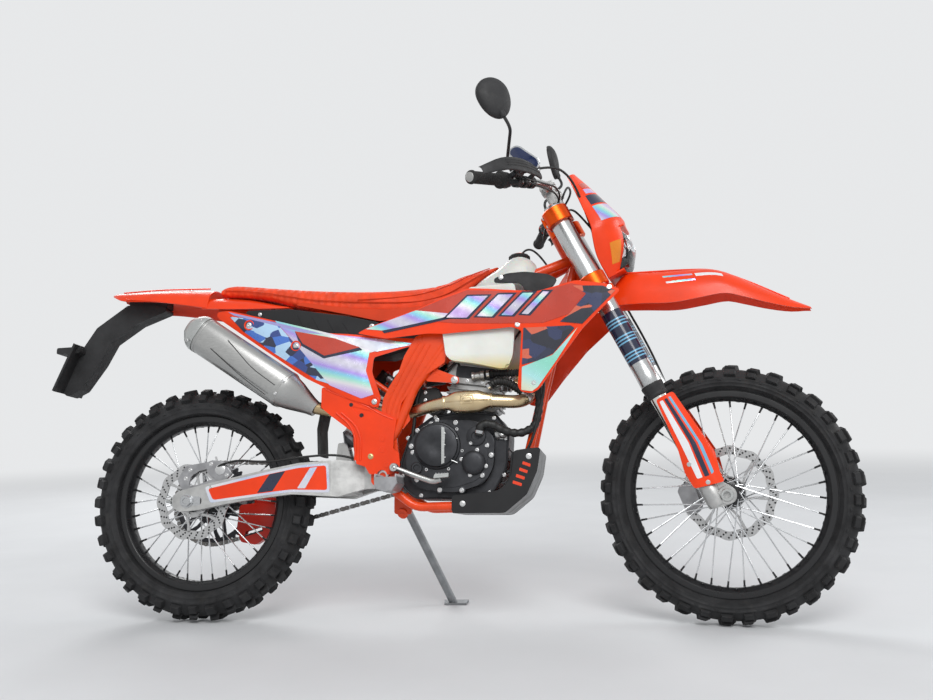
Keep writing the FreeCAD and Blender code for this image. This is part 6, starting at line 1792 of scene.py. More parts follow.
def sprocket_ring(made, teeth, centre, inner):
    """A toothed ring with hollow roots, 6 mm thick, on the chain's line."""
    tooth = (-4.9, -4.2, -1.0, 2.6, 3.6, 2.6, -1.0, -4.2)
    mean = pitch_radius(teeth)
    rings = []
    for level, inside in ((chain_y - 3, 0), (chain_y + 3, 0), (chain_y + 3, 1), (chain_y - 3, 1)):
        ring = []
        for k in range(teeth * 8):
            reach = inner if inside else mean + tooth[k % 8]
            ring.append(Vector(centre) + polar(reach, level, math.tau * k / (teeth * 8)))
        rings.append(made.corners(ring))
    made.bridge(rings, caps=False, looped=True)


def rear_sprocket():
    """Rear sprocket: hollow-rooted teeth, a lightened web of arms and its six carrier bolts."""
    made = Drawing("sprocket_alloy")
    sprocket_ring(made, rear_teeth, (0, 0, 0), 103)
    made.turn([(69, 35), (69, 62), (75, 62), (75, 35)], (0, 0, 0), to_left, 72)
    for k in range(12):
        base = math.tau * k / 12
        lean = 0.16 if k % 2 else -0.16
        sections = []
        for share in (0, 0.5, 1):
            reach = 60 + 45 * share
            turn = base + lean * share
            wide = (7 - 2 * math.sin(math.pi * share)) / reach
            sections.append(arm_section(reach, turn, wide, chain_y - 2.4, chain_y + 2.4))
        made.loft(sections)
    made.use("bolt_steel")
    for spot in around((0, 75, 0), to_left, 48, 6, math.pi / 6):
        made.nut(spot, to_left, 6.5, 7)
    return made.build("toothed_sprocket", "rear_wheel", ["rear_sprocket"])


def chain_path():
    """The chain's loop round both sprockets, as evenly spaced pin spots one pitch apart."""
    big, small = pitch_radius(rear_teeth), pitch_radius(front_teeth)
    rear, front = Vector((0, 0, rear_tyre_radius)), Vector((632, 0, 412))
    ahead = front - rear
    lean = math.atan2(ahead.z, ahead.x)
    spread_angle = math.acos((big - small) / ahead.length)

    def on(centre, radius, turn):
        return centre + Vector((math.cos(turn), 0, math.sin(turn))) * radius

    line = []
    first, last = lean + spread_angle, lean - spread_angle
    for k in range(25):
        line.append(on(front, small, first + (last - first) * k / 24))
    for k in range(73):
        line.append(on(rear, big, last - (math.tau - 2 * spread_angle) * k / 72))
    line.append(line[0])
    lengths = lengths_along(line)
    count = 2 * round(lengths[-1] / chain_pitch / 2)
    spots = []
    k = 0
    for i in range(count):
        want = lengths[-1] * i / count
        while lengths[k + 1] < want:
            k += 1
        share = (want - lengths[k]) / (lengths[k + 1] - lengths[k])
        spots.append(line[k].lerp(line[k + 1], share))
    return spots


def chain():
    """Roller chain with waisted side plates, rollers and riveted pins, and the countershaft sprocket."""
    made = Drawing("chain_steel")
    spots = chain_path()
    for i, here in enumerate(spots):
        there = spots[(i + 1) % len(spots)]
        ahead = (there - here).normalized()
        up = Vector((-ahead.z, 0, ahead.x))
        long = (there - here).length
        shape = [(-6, 0), (-5, 4), (0, 6.2), (long / 2, 4.6), (long, 6.2), (long + 5, 4), (long + 6, 0),
                 (long + 5, -4), (long, -6.2), (long / 2, -4.6), (0, -6.2), (-5, -4)]
        outside = i % 2
        made.use("chain_steel" if outside else "axle_steel")
        reach = 5.6 if outside else 3.6
        for side in (-1, 1):
            levels = sorted((chain_y + side * reach, chain_y + side * (reach + 1.8)))
            made.loft([[here + ahead * a + up * b + Vector((0, y, 0)) for a, b in shape] for y in levels])
        made.use("peg_steel")
        made.turn([(-3.6, 0), (-3.6, 4.8), (3.6, 4.8), (3.6, 0)], here + Vector((0, chain_y, 0)), to_left, 8)
        made.turn([(-8.6, 0), (-8.6, 2.1), (8.6, 2.1), (8.6, 0)], here + Vector((0, chain_y, 0)), to_left, 6)
    made.use("peg_steel")
    sprocket_ring(made, front_teeth, (632, 0, 412), 12)
    made.use("bolt_steel")
    made.nut((632, 75.2, 412), to_left, 10, 7)
    return made.build("chain_links", "machine", ["drive_chain"], 40)


def guide_and_caliper():
    """Screws and wear block of the chain guide, and the rear caliper with its pads, pins and bleeder."""
    made = Drawing("guide_red")
    made.use("bolt_steel")
    for x, z in ((132, 338), (174, 338), (96, 300), (186, 250)):
        made.bolt((x, 88.6, z), to_left, 4.5, 4)
    made.use("flap_rubber")
    made.plate([(100, 236), (100, 240), (160, 258), (160, 254)], 60, 90, 0.6)
    made.build("guide_screws", "machine")
    made = Drawing("caliper_metal")
    made.plate([(-20, 354), (-44, 396), (-20, 436), (48, 447), (64, 440), (50, 428), (10, 418), (-8, 398), (-6, 376),
                (6, 362)], -93.6, -86.4, 1.4, 8)
    made.plate([(6, 362), (-6, 376), (24, 384), (56, 396), (96, 402), (98, 392), (60, 386), (22, 372)], -93.6, -86.4,
               1.4, 6)
    made.collar(86, 94, 13, 26, 1, (0, 0, rear_tyre_radius), to_right, 36)
    made.plate([(42, 421), (49, 451), (91, 447), (120, 412), (95, 390), (63, 399)], -94.6, -82.4, 2.4, 8)
    made.plate([(58, 432), (64, 447), (90, 442), (110, 414), (96, 402), (76, 408)], -71.6, -62.4, 2, 6)
    made.plate([(54, 452), (92, 448), (112, 424), (106, 418), (88, 440), (54, 444)], -90, -64, 1, 3)
    made.use("bolt_steel")
    made.turn([(0, 15), (2, 15), (3, 13), (3, 0)], (84, -94, 424), to_right, 28)
    for x, z in ((56, 440), (104, 408)):
        made.bolt((x, -94, z), to_right, 4.6, 3.6)
    for x, z in ((-18, 400), (-6, 424)):
        made.bolt((x, -93, z), to_right, 5, 3.6)
    made.rod((66, -78, 450), (62, -78, 462), 3, 10)
    return made.build("rear_caliper_body", "machine", ["rear_caliper"])


class ENDURO_OT_rear_end(bpy.types.Operator):
    """Add the swingarm's trim, rear axle, shock absorber, chain, sprocket, guide and rear caliper"""

    bl_idname = "enduro.rear_end"
    bl_label = "Rear end"

    def execute(self, context):
        swingarm_trim()
        rear_axle()
        shock()
        rear_sprocket()
        chain()
        guide_and_caliper()
        return {"FINISHED"}


# Front end, drawn in the fork's own place: x ahead of the steering axis, z along it

leg_x, leg_y = 22, 103
bar_height = 185.0
bar_points = [Vector(p) for p in ((36, 0, bar_height), (36, 90, bar_height), (26, 130, bar_height), (-104, 400, 197))]
bar_ahead = (bar_points[3] - bar_points[2]).normalized()
grip_start = bar_points[3] - bar_ahead * 125


def other_side(point, side):
    return Vector((point[0], side * point[1], point[2]))


def bar_spot(y, side):
    """A point of the bar's outer straight, so far from the middle of the machine."""
    return other_side(bar_points[2] + bar_ahead * ((y - 130) / bar_ahead.y), side)


def fork_tubes():
    """Upper fork tubes with turned ends, adjuster caps and a printed label band."""
    made = Drawing("fork_alloy")
    for side in (-1, 1):
        centre = (leg_x, side * leg_y, 0)
        made.use("fork_alloy")
        made.turn([(-457.5, 24.4), (-457.5, 28.4), (-456, 29), (-430, 29), (-428, 28.6), (-400, 28.6), (-396, 28.9),
                   (108, 28.9), (110, 28), (110, 22), (112, 21), (116, 20), (116, 0)], centre, upward, 56)
        made.use("navy_film")
        made.turn([(-391, 28.2), (-391, 29.0), (-234, 29.0), (-234, 28.2)], centre, upward, 56)
        made.use("blue_film")
        for low in (-380, -330, -280):
            for k in range(3):
                made.turn([(low + 9 * k, 28.6), (low + 9 * k, 29.1), (low + 9 * k + 4, 29.1), (low + 9 * k + 4, 28.6)],
                          centre, upward, 56)
        made.use("orange_anodised")
        made.turn([(113, 0), (113, 12), (119, 12), (121, 10), (121, 4), (118, 3), (118, 0)], centre, upward, 6)
    return made.build("fork_upper_tubes", "fork", ["fork_outer_tubes"])


def fork_lowers():
    """Bright lower legs, dust seals, and the cast axle feet with their pinch screws."""
    made = Drawing("chrome_tube")
    for side in (-1, 1):
        centre = (leg_x, side * leg_y, 0)
        made.use("chrome_tube")
        made.turn([(-762, 0), (-762, 24), (-402, 24), (-402, 0)], centre, upward, 48)
        made.use("black_plastic")
        made.turn([(-494, 23.6), (-496, 27), (-492, 29), (-486, 29), (-484, 28), (-470, 30), (-466, 31), (-459, 31),
                   (-458.4, 30), (-458.4, 24)], centre, upward, 48)
        made.use("cast_alloy")
        made.turn([(-816, 0), (-816, 25), (-812, 27), (-756, 27), (-752, 25.4), (-750, 24)], centre, upward, 48)
        lug = [(0, -816), (2, -758), (40, -756), (60, -768), (76, -794), (74, -816), (64, -826), (44, -826)]
        low, high = sorted((side * 82, side * 118.5))
        made.plate(lug, low, high, 3, 10)
        made.turn([(-1, 9.6), (-1, 22), (0.6, 24), (5.4, 24), (6.6, 22.6), (6.6, 9.6)], (54, side * 118.5, -802),
                  (0, side, 0), 40)
        made.use("bolt_steel")
        for w in (-814, -790):
            made.bolt((8, side * 110, w), (-1, 0, 0), 3.6, 4)
        made.bolt((leg_x, side * leg_y, -816), (0, 0, -1), 6, 3)
    return made.build("fork_lower_legs", "fork", ["fork_legs"])


def guard_side(u, w):
    return leg_y + along(((-16, 27), (4, 33.4), (46, 33.4), (70, 21.6), (82, 4)), u)


def guards():
    """Fork guards wrapped round the legs, with rolled edges, long printed stripes and screws."""
    made = Drawing("orange_plastic")
    made.skin([(14, -503), (64, -503), (81, -690), (66, -746), (66, -769), (-11, -751), (-13, -703), (2, -641)],
              guard_side, 3.0, 7, 8)
    made.use("white_film")
    made.skin([(20, -512), (30, -512), (34, -640), (22, -735), (8, -732), (14, -640)],
              lambda u, w: guard_side(u, w) + 0.5, 0.7, 8, 3)
    made.use("navy_film")
    made.skin([(34, -512), (42, -512), (50, -650), (40, -738), (28, -736), (38, -640)],
              lambda u, w: guard_side(u, w) + 0.5, 0.7, 8, 3)
    made.use("blue_film")
    made.skin([(46, -512), (52, -512), (62, -660), (54, -735), (46, -738), (55, -650)],
              lambda u, w: guard_side(u, w) + 0.5, 0.7, 8, 2)
    made.use("bolt_steel")
    for side in (-1, 1):
        for u, w in ((28, -752), (8, -690)):
            made.bolt((u, side * (guard_side(u, w) - 0.5), w), (0, side, 0), 4.6, 3.5)
    return made.build("fork_guard_skins", "fork", ["fork_guards"], 30)


def triple_clamps():
    """Machined clamps with slotted grips and pinch screws, the stem nut, and the bar mounts."""
    made = Drawing("orange_anodised")
    for low, high, screws in ((58.2, 103.8, (68, 94)), (-154.8, -115.2, (-146, -124))):
        for side in (-1, 1):
            made.use("orange_anodised")
            made.collar(low, high, 29.3, 38, 2, (leg_x, side * leg_y, 0), upward, 48)
            made.plate([(-16, low + 4), (-22, low + 8), (-22, high - 8), (-16, high - 4), (8, high - 4), (8, low + 4)],
                       side * 92, side * 113, 2, 3)
            made.use("bolt_steel")
            for w in screws:
                made.bolt((-12, side * 112, w), (0, side, 0), 4.2, 5)
        made.use("orange_anodised")
        half = (low + high) / 2
        bridge = []
        for w in (low + 4, low + 6, high - 6, high - 4):
            inset = 0 if low + 5 < w < high - 5 else 2
            bridge.append([(x * (1 - inset / 60), y * (1 - inset / 100), w) for x, y in (
                (-17, -14), (-17, 14), (-8, 50), (2, 98), (30, 96), (44, 90), (42, 40), (40, 0), (42, -40), (44, -90),
                (30, -96), (2, -98), (-8, -50))])
        made.loft(bridge)
        made.collar(low, high, 16, 30, 2, (0, 0, 0), upward, 40)
        made.use("axle_steel")
        made.plate([(-14, half - 8), (-14, half + 8), (-18, half + 6), (-18, half - 6)], -40, 40, 0.8)
    made.use("axle_steel")
    made.turn([(102, 0), (102, 17), (112, 17), (114, 15), (114, 7), (110, 6), (110, 0)], (0, 0, 0), upward, 6)
    made.rod((0, 0, -154), (0, 0, 103), 14, 28)
    made.use("cast_alloy")
    for side in (-1, 1):
        y = side * 44
        made.plate([(18, 98), (21, 174), (51, 174), (55, 98)], y - 13, y + 13, 2, 4)
        made.plate([(12, 172), (12, 184), (22, 185), (50, 185), (60, 184), (60, 172)], y - 13.6, y + 13.6, 2, 3)
        made.plate([(12, 187), (12, 196), (24, 206), (48, 206), (60, 196), (60, 187)], y - 13.6, y + 13.6, 2, 5)
        made.use("bolt_steel")
        for u in (18, 54):
            for dy in (-7, 7):
                made.bolt((u, y + dy, 199), upward, 3.4, 5)
        made.use("cast_alloy")
    return made.build("fork_clamps", "fork", ["triple_clamps"])


def bar_parts():
    """Bar with its knurled middle, ribbed grips with flanges, and the throttle housing."""
    made = Drawing("bar_alloy")
    route = [other_side(p, -1) for p in bar_points[:0:-1]] + bar_points
    made.pipe(route, 11, 90, 20, 10)
    made.turn([(-76, 11), (-72, 14), (72, 14), (76, 11)], (36, 0, 185), to_left, 28, False)
    for side in (-1, 1):
        made.turn([(127, 0), (127, 13), (130, 13), (131.5, 11), (131.5, 0)], other_side(grip_start, side),
                  other_side(bar_ahead, side), 28)
    made.build("bar_tube", "fork", ["handlebar"], 40)
    made = Drawing("grip_rubber")
    for side in (-1, 1):
        start, ahead = other_side(grip_start, side), other_side(bar_ahead, side)
        profile = [(0, 11.4), (0, 23), (1.5, 24), (4.5, 24), (6, 22), (7, 17)]
        for k in range(14):
            at = 12 + 7.6 * k
            profile += [(at, 15.2), (at + 1, 16.5), (at + 4.6, 16.5), (at + 5.6, 15.2)]
        profile += [(121, 16), (122, 18.6), (126, 18), (128, 15), (128, 0)]
        made.turn(profile, start, ahead, 36)
    made.build("ribbed_grips", "fork", ["grips"])
    made = Drawing("black_plastic")
    start = other_side(grip_start, -1)
    ahead = other_side(bar_ahead, -1)
    made.collar(-22, -2, 11.5, 22, 2, start, ahead)
    made.rod(start - ahead * 13 + Vector((8, 0, -12)), start - ahead * 13 + Vector((34, 0, -30)), 7, 16)
    made.collar(-26, -4, 11.5, 21, 2, grip_start, bar_ahead)
    made.use("guide_red")
    for k in range(3):
        made.rod(grip_start - bar_ahead * 15 + Vector((-16, 0, 10 - 8 * k)),
                 grip_start - bar_ahead * 15 + Vector((-22, 0, 11 - 9 * k)), 3.4, 14)
    made.build("bar_switches", "fork")


def levers():
    """Brake and clutch levers with their perches, clamps, reservoirs and adjusters."""
    made = Drawing("engine_metal")
    for side in (-1, 1):
        start, ahead = other_side(grip_start, side), other_side(bar_ahead, side)
        clamp = start - ahead * 34

        def shifted(x, y, z):
            return clamp + Vector((x, side * y, z))

        made.use("engine_metal")
        made.collar(1, 25, 11.4, 19, 2, clamp, ahead)
        made.turn([(0, 0), (0, 10), (4, 12.6), (40, 12.6), (48, 11), (52, 8), (52, 0)], shifted(35.5, -8, 4),
                  shifted(38, 44, 2) - shifted(35.5, -8, 4), 28)
        made.rod(clamp + ahead * 13 + Vector((15, 0, 2)), clamp + ahead * 13 + Vector((34, side * 4, 3)), 9, 20)
        made.use("lever_metal")
        line = [shifted(34, 32, 2), shifted(36, 50, 0), shifted(32, 76, -4), shifted(12, 104, -5),
                shifted(-4, 130, -6)]
        made.pipe(line, lambda share: 5.4 - 1.5 * math.sin(math.pi * min(share * 1.2, 1.0)), 40, 12, 8)
        made.turn([(-6, 0), (-5, 4), (0, 6), (5, 4), (6, 0)], line[-1], line[-1] - line[-2], 20)
        made.turn([(-8, 0), (-8, 6), (8, 6), (8, 0)], shifted(35, 32, 2), upward, 20)
        made.use("bolt_steel")
        made.bolt(shifted(35, 32, 10), upward, 4, 3)
        made.bolt(clamp + ahead * 13 + Vector((8, 0, 17)), upward, 3.4, 4)
        made.bolt(clamp + ahead * 13 + Vector((8, 0, -16)), (0, 0, -1), 3.4, 4)
        made.use("engine_metal")
        made.plate([(clamp.x + u, clamp.z + w) for u, w in ((26, 12), (26, 26), (50, 26), (50, 12))],
                   side * (abs(clamp.y) - 6), side * (abs(clamp.y) + 34), 2.5, 4)
        made.use("bolt_steel")
        for dy in (0, 28):
            made.bolt((clamp.x + 38, side * (abs(clamp.y) + dy), clamp.z + 26), upward, 2.6, 2.4)
    return made.build("lever_sets", "fork", ["control_levers"], 36)


def knuckle_guards():
    """Hand guards: thin curved shields, ribbed across, on arms clamped to the bar."""
    made = Drawing("black_plastic")
    stations = ((186, 40, 17), (240, 36, 22), (320, 16, 22), (388, -18, 18), (424, -72, 12))
    for side in (-1, 1):
        sections = []
        for y in spread(186, 423, 18):
            u, half = smoothed(stations, y)
            w = bar_height + 3
            outer = [(u + 6 * math.cos(math.pi / 2 * t), w + half * math.sin(math.pi / 2 * t))
                     for t in (-1, -0.8, -0.5, -0.2, 0, 0.2, 0.5, 0.8, 1)]
            inner = [(x - 3, z) for x, z in outer[::-1]]
            sections.append([(x, side * y, z) for x, z in outer + inner])
        made.use("black_plastic")
        made.loft(sections)
        for level in (-9, 0, 9):
            rib = []
            for y in spread(200, 380, 8):
                u, half = smoothed(stations, y)
                rib.append((u + 6 * math.cos(math.asin(level / 22)), side * y, bar_height + 3 + level * half / 22))
            made.pipe(rib, 1.3, 0, 6)
        middle, ahead = bar_spot(197, side), other_side(bar_ahead, side)
        made.collar(-8, 8, 11.4, 17, 1, middle, ahead, 28)
        made.rod(middle + Vector((14, 0, 0)), (43, side * 204, bar_height + 6), 6, 14)
        made.use("bolt_steel")
        made.bolt((46, side * 204, bar_height + 6), (1, 0, 0), 4.4, 3.5)
    return made.build("knuckle_guards", "fork", ["hand_guards"], 40)


def mirrors():
    """Round mirrors: dished backs, rims, bright glass, threaded stems and their clamps."""
    made = Drawing("black_plastic")
    for side, centre, facing in ((-1, Vector((48, -372, 374)), Vector((-0.6, 0.75, 0.2))),
                                 (1, Vector((78, 352, 411)), Vector((-1, 0, 0.3)))):
        facing.normalize()
        across = facing.cross(Vector(upward)).normalized()
        up = across.cross(facing)

        def dish(profile):
            made.loft([[centre + facing * along + across * (radius * math.cos(t)) +
                        up * (radius * math.sin(t) * (1.42 if math.sin(t) < 0 else 0.98))
                        for t in (math.tau * k / 48 for k in range(48))] for along, radius in profile])

        at = bar_spot(226, side)
        made.use("black_plastic")
        dish([(-15, 10), (-14.6, 20), (-12, 31), (-7, 41), (-2, 46.5), (3, 48), (7.5, 48), (8.6, 47), (8.6, 44.6),
              (7.6, 44.2)])
        made.collar(-9, 9, 11.4, 17, 1, at, other_side(bar_ahead, side), 28)
        base = at + Vector((3, 0, 15))
        foot = centre - up * 60 - facing * 5
        made.pipe([base, base + Vector((4, side * 6, 50)), foot - Vector((0, side * 12, 40)), foot], 4.4, 40, 12, 8)
        made.turn([(-2, 0), (-2, 8), (10, 8), (12, 6.6), (24, 6.4), (26, 4)], base, (0.05, 0.05 * side, 1), 20)
        made.turn([(-10, 0), (-9, 7), (0, 9), (9, 7), (10, 0)], foot, up, 24)
        made.use("mirror_glass")
        dish([(6.0, 43.6), (7.9, 44.4), (8.2, 22), (8.3, 2)])
    return made.build("mirror_heads", "fork", ["mirrors"], 40)


def display():
    """Instrument: a slim case with a glossy window, buttons and its clamp."""
    made = Drawing("gloss_black_plastic")
    outline = [(30, 203), (48, 207), (54, 223), (22, 291), (8, 295), (-2, 283), (6, 245)]
    made.plate(outline, -182, -152, 3, 10, 5)
    made.use("axle_steel")
    made.plate([(36, 204), (54, 208), (62, 224), (30, 295), (8, 300), (-8, 288), (4, 244)], -184.6, -180, 1.2, 8)
    made.use("gloss_blue_plastic")
    made.plate([(37, 209), (51, 212), (57, 225), (27, 290), (9, 295), (-3, 285), (9, 246)], -187.2, -182, 1.2, 7)
    made.use("gloss_black_plastic")
    at = bar_spot(168, -1)
    made.collar(-8, 8, 11.4, 17, 1, at, other_side(bar_ahead, -1), 28)
    made.rod(at + Vector((10, 0, 12)), (36, -168, 215), 6, 16)
    made.use("black_plastic")
    for k in range(2):
        made.rod((-2 + 5 * k, -160 - 9 * k, 292), (-4 + 5 * k, -160 - 9 * k, 297), 3, 14)
    return made.build("instrument", "fork", ["display_unit"], 36)


def front_brake():
    """Front caliper with its pistons, pins and bracket, and the speed pickup."""
    made = Drawing("caliper_metal")
    made.plate([(-72, -810), (-66, -748), (-60, -724), (-20, -722), (-15, -748), (-24, -800), (-40, -812)], 66.7, 79.6,
               2.4, 9)
    made.plate([(-70, -808), (-62, -726), (-24, -724), (-20, -746), (-28, -800)], 47.4, 57.2, 2, 8)
    made.plate([(-74, -800), (-68, -736), (-62, -730), (-66, -796)], 50, 78, 1, 3)
    made.plate([(-30, -790), (-30, -758), (12, -758), (12, -790)], 71, 80.4, 1.4, 4)
    made.use("bolt_steel")
    for w in (-786, -752):
        made.turn([(0, 12), (2, 12), (3, 10), (3, 0)], (-44, 79.4, w), to_left, 28)
    for u, w in ((-60, -800), (-54, -732)):
        made.bolt((u, 79.6, w), to_left, 4.4, 4)
    made.build("front_caliper_body", "fork", ["front_caliper"])
    made = Drawing("alloy_rail")
    for side in (-1, 1):
        made.collar(0, 4, 9.4, 16, 1, (54, side * 127.2, -802), (0, side, 0))
    made.build("axle_caps", "fork")


def cables():
    """Brake hose, clutch hose, throttle cables and the wiring, each hanging between its two ends."""
    clamp = grip_start - bar_ahead * 34
    runs = (
        ("front_brake_hose", [(clamp.x + 36, -(clamp.y - 12), clamp.z + 4), (80, -180, 200), (112, -110, 160),
                              (96, -60, 60), (66, 20, -60), (58, 92, -180), (58, 128, -330), (44, 136, -480),
                              (20, 128, -640), (-30, 84, -716)], 3.4),
        ("clutch_hose", [(clamp.x + 36, clamp.y - 12, clamp.z + 4), (78, 170, 204), (88, 90, 214), (60, 20, 170),
                         (14, 30, 124), (-30, 56, 60)], 3.4),
        ("throttle_cable", [(clamp.x + 44, -(clamp.y + 24), clamp.z - 30), (46, -190, 150), (64, -120, 150),
                            (52, -70, 128), (-6, -60, 116), (-44, -66, 60)], 2.6),
        ("throttle_return_cable", [(clamp.x + 40, -(clamp.y + 22), clamp.z - 34), (38, -190, 140), (54, -124, 136),
                                   (44, -76, 116), (-10, -66, 104), (-48, -70, 52)], 2.6),
        ("switch_wires", [(clamp.x + 6, clamp.y + 10, clamp.z - 14), (24, 190, 166), (40, 120, 150), (58, 60, 136),
                          (74, 20, 100), (86, 10, 30)], 3.2),
    )
    for name, points, radius in runs:
        line_piece(name, "fork", points, radius)


class ENDURO_OT_front_end(bpy.types.Operator):
    """Add the fork, clamps, bar, grips, levers, mirrors, instrument, front brake and cables"""

    bl_idname = "enduro.front_end"
    bl_label = "Front end"

    def execute(self, context):
        fork_tubes()
        fork_lowers()
        guards()
        triple_clamps()
        bar_parts()
        levers()
        knuckle_guards()
        mirrors()
        display()
        front_brake()
        cables()
        return {"FINISHED"}


# Frame and its fittings

guard_y = 121.3


def frame_fittings():
    """Welds, bolts and flutes of the frame, its guards' ribs, and the head stay screws."""
    made = Drawing("frame_paint")
    for side in (-1, 1):
        for points in (((566, 512), (572, 596), (596, 650), (628, 712), (662, 770)),
                       ((578, 512), (585, 590), (608, 640), (640, 700), (676, 764)),
                       ((590, 516), (598, 584), (622, 634), (654, 690), (692, 760))):
            made.pipe([(x, side * 114.6, z) for x, z in points], 2.6, 40, 10)
    made.use("bolt_steel")
    made.side_bolts([(705, 702), (678, 677)], 101, 5.5, 5)
    made.side_bolts([(758, 661)], 101, 7.5, 6)
    made.side_bolts([(612, 598), (606, 548), (592, 530)], 101.5, 5, 5)
    for side in (-1, 1):
        made.nut((870, side * 100.5, 326), (0, side, 0), 6, 5)
    made.use("orange_plastic")
    for side in (-1, 1):
        for x in (488, 503):
            made.pipe([(x - 4, side * guard_y, 442), (x - 2, side * guard_y, 500), (x - 20, side * guard_y, 540),
                       (x - 60, side * guard_y, 574)], 3.4, 24, 10)
        made.pipe([(396, side * guard_y, 642), (410, side * guard_y, 634), (520, side * guard_y, 589),
                   (548, side * guard_y, 571), (590, side * guard_y, 552)], 2.2, 16, 8)
    made.use("black_rim")
    for side in (-1, 1):
        for x, z in ((470, 596), (500, 566)):
            made.turn([(-0.4, 0), (0.3, 0), (0.3, 5.5), (-0.4, 6)], (x, side * guard_y, z), (0, side, 0), 20)
    made.use("brass_bits")
    made.side_bolts([(528, 452)], guard_y, 6, 4)
    made.use("orange_plastic")
    for side in (-1, 1):
        for x, z in ((560, 470), (560, 500), (574, 428)):
            made.turn([(-0.5, 0), (1, 0), (1, 8), (-0.5, 8.6)], (x, side * guard_y, z), (0, side, 0), 24)
    made.build("frame_fittings", "machine", sharp=40)


def pegs():
    """Footpegs: an open cage with two rows of teeth on a forged arm, and the return spring."""
    made = Drawing("peg_steel")
    for side in (-1, 1):
        cage = [(566, 360), (562, 376), (562, 391), (566, 391), (567, 377), (571, 363), (590, 355), (608, 358),
                (619, 375), (618, 391), (622, 391), (624, 374), (611, 354), (590, 350)]
        made.plate(cage, side * 124, side * 217, 0.8)
        for y in (124, 214):
            made.plate([(563, 366), (563, 390), (621, 390), (622, 374), (610, 356), (590, 352)],
                       side * y, side * (y + 4), 0.8, 4)
        for y in (140, 156, 172, 188, 202):
            made.plate([(564, 374), (564, 388), (620, 388), (620, 374)], side * y, side * (y + 3.4), 0.6)
        for k in range(9):
            y = side * (128 + 10.6 * k)
            for x in (562.5, 617.5):
                made.loft([[(x, y - 3.6, 389), (x + 4, y - 3.6, 389), (x + 4, y + 3.6, 389), (x, y + 3.6, 389)],
                           [(x + 0.5, y - 1.6, 398), (x + 3.5, y - 1.6, 398), (x + 3.5, y + 1.6, 398),
                            (x + 0.5, y + 1.6, 398)]])
        made.rod((594, side * 117.4, 380), (594, side * 126, 380), 9, 20)
    return made.build("peg_cages", "machine", ["footpegs"])


def pedals():
    """Brake pedal with its knurled tip, and the gear lever's folding toe."""
    made = Drawing("alloy_rail")
    y = -132.3
    made.pipe([(596, y, 420), (658, y, 396), (705, y - 4, 380), (728, y - 8, 386)], 7.4, 60, 14, 8)
    made.turn([(0, 12), (2, 12), (15, 12), (17.5, 10.5), (17.5, 5), (15, 4), (15, 0)], (596, -121.9, 420),
              to_right, 30)
    made.plate([(709, 388), (712, 399), (751, 402), (750, 391)], y - 25, y + 5, 1.2, 3)
    made.use("peg_steel")
    for k in range(5):
        x = 714 + 8 * k
        made.plate([(x, 399), (x + 1.5, 402.6), (x + 3, 402.8), (x + 4.4, 399.4)], y - 24, y + 4, 0.3)
    made.build("pedal_arm", "machine", ["brake_pedal"], 36)


def rear_fittings():
    """Ribs and screws of the airbox covers, rods on the plate carrier, and the tail lamp."""
    made = Drawing("gloss_black_plastic")
    covers = [(142, 876), (152, 881), (272, 881), (446, 853), (538, 832), (554, 774), (461, 780), (342, 797),
              (212, 846)]
    made.use("gloss_black_plastic")
    for side in (-1, 1):
        made.plate(covers, side * 96.4, side * 98.4, 0.8, 5)
        for k in range(4):
            x = 300 + 44 * k
            made.pipe([(x, side * 98, 862 - 8 * k), (x + 30, side * 98, 806 - 4 * k)], 1.6, 0, 6)
    made.use("bolt_steel")
    made.side_bolts([(520, 822)], 98, 6, 4)
    made.side_bolts([(186, 870)], 98, 4.4, 3)
    made.use("black_plastic")
    for side in (-1, 1):
        for x in (-420, -410, -400):
            made.rod((x, side * 61, 792), (x + 2, side * 59, 792), 3, 10)
    made.build("side_cover_ribs", "machine", sharp=36)
    made = Drawing("tail_red")
    made.plate([(-465, 783), (-464.4, 800), (-444, 802), (-444, 783)], -56, 56, 2, 4)
    made.use("tail_red")
    for k in range(8):
        y = -49 + 14 * k
        made.turn([(0, 0), (0, 5), (1.0, 4.4), (1.5, 0)], (-465, y, 792), (-1, 0, 0), 16)
    made.build("tail_lamp", "machine", sharp=40)


class ENDURO_OT_fittings(bpy.types.Operator):
    """Add the frame's fittings, footpegs, brake pedal, side cover ribs and tail lamp"""

    bl_idname = "enduro.fittings"
    bl_label = "Fittings"

    def execute(self, context):
        frame_fittings()
        pegs()
        pedals()
        rear_fittings()
        return {"FINISHED"}


# Finishes of the solids that are shown as they are

solid_finishes = {
    "frame_paint": "frame subframe",
    "orange_plastic": "frame_guards radiator_shrouds side_panels rear_fender fork_guards front_fender "
                      "headlight_mask",
    "cast_alloy": "swingarm brake_pedal gear_lever fork_legs",
    "shock_steel": "shock_absorber",
    "black_plastic": "airbox plate_holder hand_guards mirrors",
    "engine_metal": "engine_cases",
    "engine_silver": "engine_top",
    "header_metal": "exhaust_header",
    "silencer_metal": "silencer",
    "gloss_black_plastic": "skid_plate",
    "radiator_alloy": "radiators",
    "tank_plastic": "fuel_tank",
    "seat_cover": "seat",
    "peg_steel": "footpegs",
    "chain_steel": "drive_chain",
    "guide_red": "chain_guide",
    "caliper_metal": "rear_caliper front_caliper",
    "axle_steel": "rear_axle front_axle",
    "flap_rubber": "mud_flap",
    "stand_metal": "side_stand",
    "orange_anodised": "triple_clamps",
    "fork_alloy": "fork_outer_tubes",
    "lamp_lens": "headlight",
    "bar_alloy": "handlebar",
    "grip_rubber": "grips",
    "lever_metal": "control_levers",
    "gloss_blue_plastic": "display_unit",
    "tyre_rubber": "front_tyre rear_tyre",
    "black_rim": "front_rim rear_rim",
    "spoke_steel": "front_hub_spokes rear_hub_spokes",
    "disc_steel": "front_disc rear_disc",
    "sprocket_alloy": "rear_sprocket",
}


